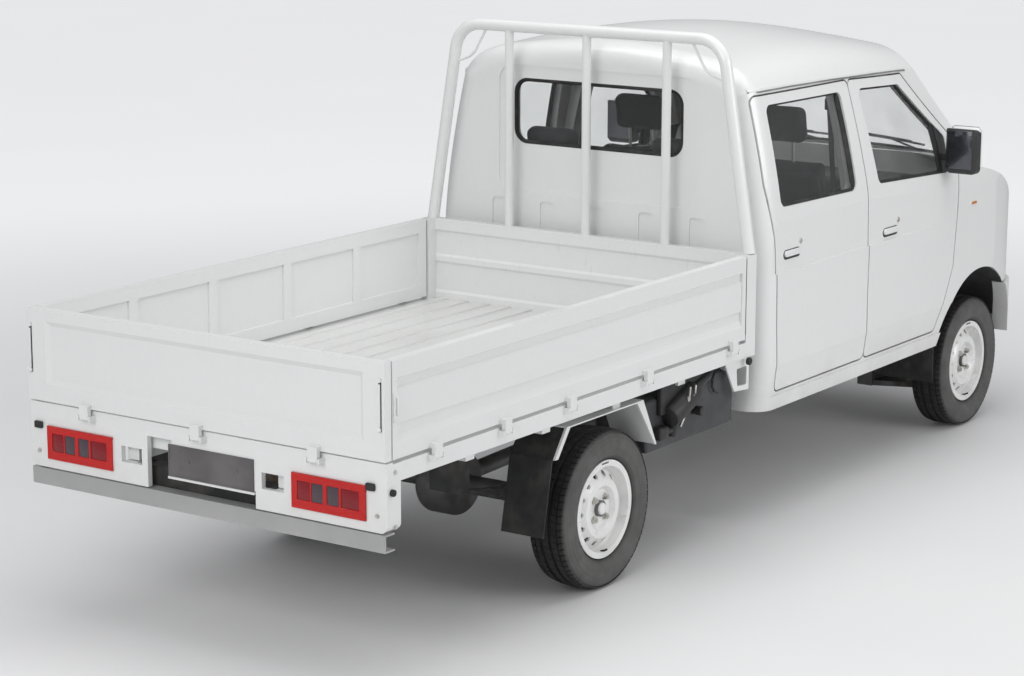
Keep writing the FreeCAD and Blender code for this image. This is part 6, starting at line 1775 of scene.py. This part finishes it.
# %% Grille ribs
grille_low, grille_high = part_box("grille")
rib = bmesh.new()
RIB_COUNT, RIB_PITCH = 47, 15 * MM
RIB_X, BAR_HEIGHT = station(4.914), 0.839
plate(rib, RIB_X - 10 * MM, RIB_X - 7 * MM, -0.345, -0.341, grille_low.z + 8 * MM, grille_high.z - 8 * MM)
ribs = repeated(rib, IN_ROW, black_plastic, RIB_COUNT, RIB_PITCH, (0, 1, 0))
for vert in ribs.verts:
    # The row is straight, so it is pressed back onto the curve of the grille's middle bar.
    vert.co.x += front_skin(("grille",), vert.co.y, BAR_HEIGHT)[0].x - RIB_X
make_object("grille_ribs", ribs, black_plastic, "chassis")


print("ribs", RIB_COUNT)


# %% Intake and fog lamps
def skin_path(names, y0, y1, z0, z1, steps):
    # Points on the skin that rays from ahead meet along a line across the nose.
    shares = (i / steps for i in range(steps + 1))
    hits = (front_skin(names, y0 + (y1 - y0) * share, z0 + (z1 - z0) * share)[0] for share in shares)
    return [point for point in hits if point is not None]


SLAT_HEIGHTS = (0.464, 0.489, 0.514)
UPRIGHT_COUNT, UPRIGHT_PITCH = 25, 25 * MM
intake = bmesh.new()
for z in SLAT_HEIGHTS:
    path = skin_path(("front_bumper",), 0.322, -0.322, z, z, 24)
    strip_along(intake, path, 7 * MM, 15 * MM, Vector((1, 0, 0)))
for i in range(UPRIGHT_COUNT):
    y = -0.30 + UPRIGHT_PITCH * i
    point, _ = front_skin(("front_bumper",), y, SLAT_HEIGHTS[1])
    plate(
        intake, point.x - 1 * MM, point.x + 11 * MM, y - 1.8 * MM, y + 1.8 * MM, 0.452, 0.526, 0.6 * MM, 1,
    )
make_object("intake_grid", intake, black_plastic, "chassis")
FOG_Y, FOG_Z = 0.52, 0.49
FOG_RIM_SECTION = ((40, -1), (40, 13), (37, 15), (34, 13), (34, 2), (34, -1))
FOG_SECTION = ((33.5, 0), (33.5, 9), (28, 12.5), (14, 14.5), (0, 15))
fogs, rims = bmesh.new(), bmesh.new()
for side in (1, -1):
    point, _ = front_skin(("front_bumper",), side * FOG_Y, FOG_Z)
    lathe(rims, point, (1, 0, 0), in_mm(FOG_RIM_SECTION), 40, True)
    lathe(fogs, point, (1, 0, 0), in_mm(FOG_SECTION), 40)
make_object("fog_lamp_rims", rims, black_plastic, "chassis")
make_object("fog_lamps", fogs, lamp_clear, "chassis")
print("slats and uprights", len(SLAT_HEIGHTS) + UPRIGHT_COUNT)

# %% [markdown]
# ## Front plate, cowl and wipers
#
# The front plate is blank like the rear one. Under the windscreen lies a black cowl strip from
# which two wipers rise: a blade that follows the glass, and a bent arm that holds it.

# %% Plate, cowl and wipers
front_plate = bmesh.new()
nose, _ = front_skin(("front_bumper",), 0, 0.585)
PLATE_HALF, PLATE_SCREWS = 0.18, 0.588
ys = [-PLATE_HALF, -PLATE_HALF + plate_rim, PLATE_HALF - plate_rim, PLATE_HALF]
zs = [0.538, 0.544, 0.632, 0.638]
pocketed(front_plate, nose.x + 4.5 * MM, nose.x + 1.5 * MM, ys, zs, {(1, 1)}, -1.2 * MM)
for y in (-0.1, 0.1):
    # A screw, and a small block behind the plate that reaches back to the curved bumper.
    foot, head = ((nose.x + depth * MM, y, PLATE_SCREWS) for depth in (1, 4.8))
    rod(front_plate, foot, head, 5 * MM, 20, 5 * MM, 1 * MM)
    rear_x = front_skin(("front_bumper",), y, PLATE_SCREWS)[0].x - 4 * MM
    plate(front_plate, rear_x, nose.x + 2 * MM, y - 14 * MM, y + 14 * MM, 0.565, 0.61, 1 * MM)
make_object("front_plate", front_plate, plate_grey, "chassis")

SLOPE = Vector((0.62, 0, 0.78))
COWL_HALF, COWL_HEIGHT = 0.57, 1.206
cowl = bmesh.new()
cowl_path = skin_path(("cab_body",), COWL_HALF, -COWL_HALF, COWL_HEIGHT, COWL_HEIGHT, 24)
strip_along(cowl, cowl_path, 30 * MM, 4 * MM, SLOPE)
make_object("cowl_strip", cowl, black_plastic, "chassis")
blades, arms = bmesh.new(), bmesh.new()
for y0, y1 in ((0.53, 0.07), (0.0, -0.46)):
    path = skin_path(("cab_glass",), y0, y1, 1.285, 1.262, 12)
    lifted = [p + SLOPE * 3 * MM for p in path]
    strip_along(blades, lifted, 5 * MM, 9 * MM, SLOPE)
    strip_along(arms, [p + SLOPE * 12 * MM for p in path[2:-2]], 8 * MM, 4 * MM, SLOPE)
    middle = path[len(path) // 2] + SLOPE * 15 * MM
    pivot = front_skin(("cab_body",), y1 + 0.02, COWL_HEIGHT)[0] + SLOPE * 12 * MM
    rod(arms, pivot, middle, 6 * MM, 12, 4 * MM)
    rod(arms, pivot - SLOPE * 12 * MM, pivot + SLOPE * 6 * MM, 12 * MM, 20, 10 * MM, 2 * MM)
make_object("wiper_blades", blades, rubber, "chassis")
make_object("wiper_arms", arms, black_plastic, "chassis")
print("wipers", 2)

# %% [markdown]
# ## Controls and cabin fittings
#
# The dash, the steering wheel and the column are solids of the frame. On the dash go what a driver
# sees and turns: two large dials and a small one under a hood, a radio blank with its knobs, the
# glove box lid, and four vents whose slats are one slat repeated by the row tree.

# %% Dash fittings
DASH_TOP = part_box("dashboard")[1].z
DRIVER_Y = 0.345
HELM = Vector((station(3.96), DRIVER_Y, 1.08))
DIAL_HEIGHT, KNOB_HEIGHT = 1.065, 0.92
DIALS = ((DRIVER_Y + 0.075, 48), (DRIVER_Y - 0.075, 48), (DRIVER_Y, 22))


def dash_point(y, z):
    # The face of the dash, met by a ray from the driver's side of it.
    return skin(("dashboard",), (station(3.6), y, z), (1, 0, 0))[0]


fittings, faces = bmesh.new(), bmesh.new()
hood = dash_point(DRIVER_Y, 1.07)
plate(
    fittings, hood.x - 28 * MM, hood.x + 60 * MM, DRIVER_Y - 0.17, DRIVER_Y + 0.17,
    DASH_TOP - 30 * MM, DASH_TOP + 22 * MM, 18 * MM, 4,
)
for y, radius in DIALS:
    point = dash_point(y, DIAL_HEIGHT)
    inside = radius - 3
    bezel = ((radius, -3), (radius, 6), (inside, 7), (inside, 2), (inside, -3))
    lathe(fittings, point, (-1, 0, 0), in_mm(bezel), 40, True)
    lathe(faces, point, (-1, 0, 0), in_mm(((radius - 3.5, -1), (radius - 3.5, 2), (0, 2))), 40)
    hub = point + Vector((-3 * MM, 0, 0))
    tip = hub + Vector((0, -radius * 0.5, -radius * 0.45)) * MM
    rod(faces, hub, tip, 1.1 * MM, 6)
dial_face = plastic_finish("dial_face", (0.30, 0.31, 0.32), 0.4, 200, 0.0001)
for z, half_high in ((0.99, 26 * MM), (KNOB_HEIGHT, 30 * MM)):
    point = dash_point(0.02, z)
    plate(fittings, point.x - 6 * MM, point.x + 4 * MM, -0.08, 0.12, z - half_high, z + half_high, 4 * MM, 2)
for y in (0.08, 0.045, 0.01, -0.025):
    point = dash_point(y, KNOB_HEIGHT)
    rod(fittings, point, point - Vector((22 * MM, 0, 0)), 10 * MM, 20, 9 * MM, 2 * MM)
glove = dash_point(-0.36, 0.95)
plate(fittings, glove.x - 5 * MM, glove.x + 4 * MM, -0.54, -0.19, 0.89, 1.02, 4 * MM, 2)
make_object("dash_fittings", fittings, black_plastic, "chassis")
make_object("dials", faces, dial_face, "chassis")
print("dials", len(DIALS))

# %% Vents
vents = bmesh.new()
VENT_SLATS, VENT_PITCH = 5, 9 * MM
for y in (-0.56, 0.56, -0.02, 0.10):
    first = bmesh.new()
    base = dash_point(y, 1.06)
    plate(first, base.x - 8 * MM, base.x + 2 * MM, y - 45 * MM, y + 45 * MM, 1.038, 1.041)
    merged(vents, repeated(first, IN_ROW, black_plastic, VENT_SLATS, VENT_PITCH, (0, 0, 1)))
make_object("dash_vents", vents, black_plastic, "chassis")
print("slats in a vent", VENT_SLATS)

# %% [markdown]
# ### Levers, pedals and stalks
#
# Two stalks stand out from a cowl on the column, and three pedals hang under the dash. The pad in
# the middle of the steering wheel rides on the wheel and turns with it. The gear lever has a pleated
# gaiter, which is a turned shape like its knob, and the handbrake lies between the front seats.

# %% Levers, pedals and stalks
column_axis = Vector((-0.848048, 0, 0.529919))
stalks = bmesh.new()
base = HELM - column_axis * 0.085
for side in (1, -1):
    rod(stalks, base, base + Vector((0.01, side * 0.15, 0.025)), 7 * MM, 12, 5 * MM, 2 * MM)
rod(stalks, base - column_axis * 0.06, base + column_axis * 0.03, 42 * MM, 28, 36 * MM, 6 * MM)
for y in (0.24, 0.34, 0.43):
    plate(stalks, station(4.010), station(4.020), y - 28 * MM, y + 28 * MM, 0.62, 0.69, 4 * MM, 2)
    rod(stalks, (station(4.018), y, 0.675), (station(4.17), y, 0.90), 7 * MM, 12)
make_object("stalks_and_pedals", stalks, black_plastic, "chassis")
pad = bmesh.new()
PAD_SECTION = ((30, -6), (58, -4), (62, 12), (58, 20), (40, 26), (0, 28))
lathe(pad, HELM, column_axis, in_mm(PAD_SECTION), 40)
make_object("helm_pad", pad, black_plastic, "steering_wheel")
lever = bmesh.new()
GEAR = Vector((station(3.66), 0.02, 0.70))
GAITER_SECTION = (
    (62, -10), (62, 2), (56, 8), (50, 22), (44, 26), (40, 40), (32, 46), (28, 62), (16, 74),
    (10, 84), (8, 90),
)
KNOB_SECTION = ((8, -20), (15, -12), (21, 2), (21, 14), (15, 24), (0, 27))
lathe(lever, GEAR, (0, 0, 1), in_mm(GAITER_SECTION), 28)
rod(lever, GEAR + Vector((0, 0, 0.07)), GEAR + Vector((-0.02, 0, 0.26)), 6 * MM, 16, 5 * MM)
lathe(lever, GEAR + Vector((-0.021, 0, 0.27)), (-0.1, 0, 1), in_mm(KNOB_SECTION), 28)
plate(lever, station(3.26), station(3.56), -0.035, 0.035, 0.69, 0.735, 10 * MM, 3)
rod(lever, (station(3.50), 0, 0.745), (station(3.27), 0, 0.81), 11 * MM, 20, 14 * MM, 4 * MM)
make_object("gear_lever_and_handbrake", lever, black_plastic, "chassis")
print("levers", 2)

# %% [markdown]
# ### Mirror, visors and belts
#
# The inside mirror hangs from the windscreen on a short arm, which a ray finds the end of. The sun
# visors are padded boards turned down a little from the roof. A belt is a strap of webbing from an
# upper anchor on the pillar or the rear wall, past the seat's side, down to the floor.

# %% Mirror, visors and belts
upper = bmesh.new()
plate(upper, station(4.085), station(4.108), -0.125, 0.125, 1.555, 1.615, 10 * MM, 4)
screen, _ = skin(("cab_glass",), (station(3.7), 0, 1.655), (1, 0, 0))
rod(upper, (station(4.104), 0, 1.60), screen, 6 * MM, 12, 12 * MM)
make_object("inside_mirror", upper, black_plastic, "chassis", 50)
inside_glass = bmesh.new()
plate(inside_glass, station(4.0835), station(4.086), -0.115, 0.115, 1.562, 1.608, 1.2 * MM, 2)
make_object("inside_mirror_glass", inside_glass, mirror_silver, "chassis")
visors = bmesh.new()
for side in (1, -1):
    flat = bmesh.new()
    plate(flat, -0.075, 0.075, -0.19, 0.19, -8 * MM, 8 * MM, 7 * MM, 4)
    tilt = Matrix.Rotation(math.radians(22), 4, "Y")
    place = Matrix.Translation((station(3.80), side * 0.30, 1.725)) @ tilt
    bmesh.ops.transform(flat, matrix=place, verts=flat.verts)
    merged(visors, flat)
make_object("sun_visors", visors, pale_trim, "chassis", 50)
webbing = cloth_finish("webbing", (0.020, 0.020, 0.022), (0.035, 0.035, 0.038), 700)
belts = bmesh.new()
WEBBING_WIDE = 46 * MM
for side in (1, -1):
    pillar, _ = skin(("cab_body",), (station(3.262), 0, 1.58), (0, side, 0))
    back_wall, _ = skin(("cab_body",), (station(2.7), side * 0.62, 1.45), (-1, 0, 0))
    for top, middle, foot in (
        (pillar, (pillar.x, side * 0.630, 1.15), (pillar.x + 0.01, side * 0.572, 0.69)),
        (back_wall, (back_wall.x + 0.02, side * 0.630, 1.10), (station(2.56), side * 0.603, 0.60)),
    ):
        off_wall = Vector((0, -side, 0)) if top is pillar else Vector((1, 0, 0))
        start = top + off_wall * 6 * MM
        strip_along(belts, [start, middle, foot], WEBBING_WIDE, 1.6 * MM, Vector((0, -side, 0.1)))
        plate(
            belts, top.x - 22 * MM, top.x + 22 * MM, top.y - 18 * MM, top.y + 18 * MM,
            top.z - 25 * MM, top.z + 25 * MM, 6 * MM, 3,
        )
make_object("belts", belts, webbing, "chassis")
print("belts", 4)

# %% [markdown]
# ## Springs and dampers
#
# Under the bed the leaf springs are clamped to the axle by four long bolts and two plates, with a
# damper beside each.
# At the front a coil stands round each strut. A coil is a rule in itself, so its path is worked
# out and the same wire as on the seats is swept along it.

# %% Coils and dampers
coils, dampers, clamps = bmesh.new(), bmesh.new(), bmesh.new()
COIL_TURNS, COIL_RADIUS, TURN_STEPS = 6, 53 * MM, 20
COIL_STEPS = COIL_TURNS * TURN_STEPS
REAR_AXLE, SPRING_Y = station(1.41), 0.43
for side in (1, -1):
    foot = Vector((FRONT_AXLE, side * 0.4795, 0.600))
    head = Vector((FRONT_AXLE, side * 0.4635, 0.755))
    points = []
    for i in range(COIL_STEPS + 1):
        angle = 2 * math.pi * i / TURN_STEPS
        along = foot.lerp(head, i / COIL_STEPS)
        points.append(along + Vector((math.cos(angle), math.sin(angle), 0)) * COIL_RADIUS)
    wire(coils, points, 6 * MM)
    for (x0, y0, z0), (x1, y1, z1), radius in (
        ((0.075, 0.385, 0.30), (0.13, 0.375, 0.45), 24 * MM),
        ((0.13, 0.375, 0.44), (0.165, 0.368, 0.535), 29 * MM),
    ):
        start, end = (REAR_AXLE + x0, side * y0, z0), (REAR_AXLE + x1, side * y1, z1)
        rod(dampers, start, end, radius, 20, radius, 3 * MM)
    spring_y = side * SPRING_Y
    spring_top = skin(("leaf_springs",), (REAR_AXLE, spring_y, 0.8), (0, 0, -1))[0].z
    for x in (-0.052, 0.052):
        for y in (-0.036, 0.036):
            start = Vector((REAR_AXLE + x, spring_y + y, 0.245))
            rod(clamps, start, (start.x, start.y, spring_top + 20 * MM), 6 * MM, 12)
            hexagon(clamps, start + Vector((0, 0, 8 * MM)), (0, 0, -1), 17 * MM, 9 * MM)
    for half_long, half_wide, low, high in (
        (0.07, 0.048, 0.250, 0.262), (0.065, 0.042, spring_top - 1 * MM, spring_top + 11 * MM),
    ):
        plate(
            clamps, REAR_AXLE - half_long, REAR_AXLE + half_long, spring_y - half_wide, spring_y + half_wide,
            low, high, 3 * MM, 2,
        )
make_object("strut_coils", coils, frame_paint, "chassis", 60)
make_object("dampers", dampers, frame_paint, "chassis")
make_object("spring_clamps", clamps, frame_paint, "chassis")
print("coil wire points", COIL_STEPS + 1)


# %% [markdown]
# ## Camera, floor and light
#
# The camera stands behind the truck's right rear corner, a metre above the roof, with a long
# lens. The floor is plain and pale, and the light is a soft overhead box with one box behind the
# truck and one at its side, as in a vehicle studio.

# %% Camera
CAMERA_PLACE = Vector((-9.0236, -5.7471, 2.9269))
CAMERA_AZIMUTH = math.radians(34.5417)
CAMERA_TILT = math.radians(-12.0004)
CAMERA_ROLL = math.radians(0.1212)
forward = Vector((
    math.cos(CAMERA_TILT) * math.cos(CAMERA_AZIMUTH),
    math.cos(CAMERA_TILT) * math.sin(CAMERA_AZIMUTH),
    math.sin(CAMERA_TILT),
))
level_right = forward.cross(Vector((0, 0, 1))).normalized()
level_up = level_right.cross(forward)
right = level_right * math.cos(CAMERA_ROLL) + level_up * math.sin(CAMERA_ROLL)
upward = level_up * math.cos(CAMERA_ROLL) - level_right * math.sin(CAMERA_ROLL)
camera_data = bpy.data.cameras.new("camera")
camera_data.sensor_width = 36
camera_data.lens = 94.3
camera = bpy.data.objects.new("camera", camera_data)
turn = Matrix((right, upward, -forward)).transposed().to_4x4()
camera.matrix_world = Matrix.Translation(CAMERA_PLACE) @ turn
bpy.context.scene.collection.objects.link(camera)
bpy.context.scene.camera = camera
print("camera lens", camera_data.lens)

# %% [markdown]
# The floor's own colour is pale and keeps the truck's shadow. Further out it glows a little for
# camera rays, and the world behind it has the same tone for them, so the horizon hardly shows. The
# light that falls on the truck stays at a plain level.

# %% Floor
floor_finish = Finish("floor", (0.78, 0.78, 0.78), 0.6)
floor_finish.colour(floor_finish.ramp(floor_finish.noise(0.6, 3), 0.3, 0.7), (0.76, 0.76, 0.765))
reach = floor_finish.nodes.new("ShaderNodeVectorMath")
reach.operation = "LENGTH"
floor_finish.links.new(floor_finish.coords, reach.inputs[0])
rays = floor_finish.nodes.new("ShaderNodeLightPath").outputs
seen = floor_finish.nodes.new("ShaderNodeMath")
seen.operation = "MAXIMUM"
floor_finish.links.new(rays["Is Camera Ray"], seen.inputs[0])
floor_finish.links.new(rays["Is Transmission Ray"], seen.inputs[1])
LIFT_START, LIFT_END, LIFT = 1.0, 9.0, 0.52
far = floor_finish.ramp(reach.outputs["Value"], LIFT_START, LIFT_END, 0.0, LIFT)
lift = floor_finish.both(far, seen.outputs["Value"])
floor_finish.links.new(lift, floor_finish.shader.inputs["Emission Strength"])
floor_finish.shader.inputs["Emission Color"].default_value = (0.9, 0.9, 0.91, 1)
floor_form = bmesh.new()
bmesh.ops.create_grid(floor_form, x_segments=4, y_segments=4, size=60)
floor_mesh = bpy.data.meshes.new("floor")
floor_form.to_mesh(floor_mesh)
floor_form.free()
floor_mesh.materials.append(floor_finish.material)
floor = bpy.data.objects.new("floor", floor_mesh)
bpy.context.scene.collection.objects.link(floor)
floor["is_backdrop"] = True
print("floor glow ends", LIFT_END, "m out")

# %% World
world = bpy.data.worlds.new("studio")
world.use_nodes = True
bpy.context.scene.world = world
sky = world.node_tree.nodes["Background"]
path = world.node_tree.nodes.new("ShaderNodeLightPath")
sight = world.node_tree.nodes.new("ShaderNodeMath")
sight.operation = "MAXIMUM"
world.node_tree.links.new(path.outputs["Is Camera Ray"], sight.inputs[0])
world.node_tree.links.new(path.outputs["Is Transmission Ray"], sight.inputs[1])
strength = world.node_tree.nodes.new("ShaderNodeMapRange")
SKY_LIGHT, SKY_SEEN = 0.42, 0.80
strength.inputs["To Min"].default_value = SKY_LIGHT
strength.inputs["To Max"].default_value = SKY_SEEN
world.node_tree.links.new(sight.outputs[0], strength.inputs["Value"])
world.node_tree.links.new(strength.outputs["Result"], sky.inputs["Strength"])
sky.inputs["Color"].default_value = (0.97, 0.98, 1.0, 1)
print("world strength", SKY_LIGHT, "seen as", SKY_SEEN)


# %% [markdown]
# ### Light boxes
#
# White paint shows its shape only by soft changes of tone, so the boxes are large. The one overhead
# is the main light, and the other two lift the rear and the right side to the tones in the photo.

# %% Light boxes
def light_box(name, place, target, size, power):
    data = bpy.data.lights.new(name, "AREA")
    data.shape = "RECTANGLE"
    data.size, data.size_y = size
    data.energy = power
    lamp = bpy.data.objects.new(name, data)
    aim = (Vector(target) - Vector(place)).to_track_quat("-Z", "Y").to_matrix().to_4x4()
    lamp.matrix_world = Matrix.Translation(Vector(place)) @ aim
    bpy.context.scene.collection.objects.link(lamp)


light_box("overhead", (-0.5, -0.6, 6.0), (0, 0, 0.6), (7.0, 4.5), 192)
light_box("behind", (-8.0, -1.0, 4.0), (-1.5, 0, 0.8), (4.0, 3.0), 172)
light_box("side", (0.5, -8.0, 3.6), (0.3, 0, 0.9), (5.0, 3.0), 176)
view = bpy.context.scene.view_settings
view.view_transform = "Standard"
print("lights", 3)

# %% [markdown]
# ## Sizes and finish
#
# The growth of the finished truck's box over the frame's box is printed in millimetres, so that
# anything that stands proud shows.

# %% Growth over the frame
low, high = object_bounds()
print("grown by", [round(c * 1000, 1) for c in (high - low) - (cad_high - cad_low)], "mm")
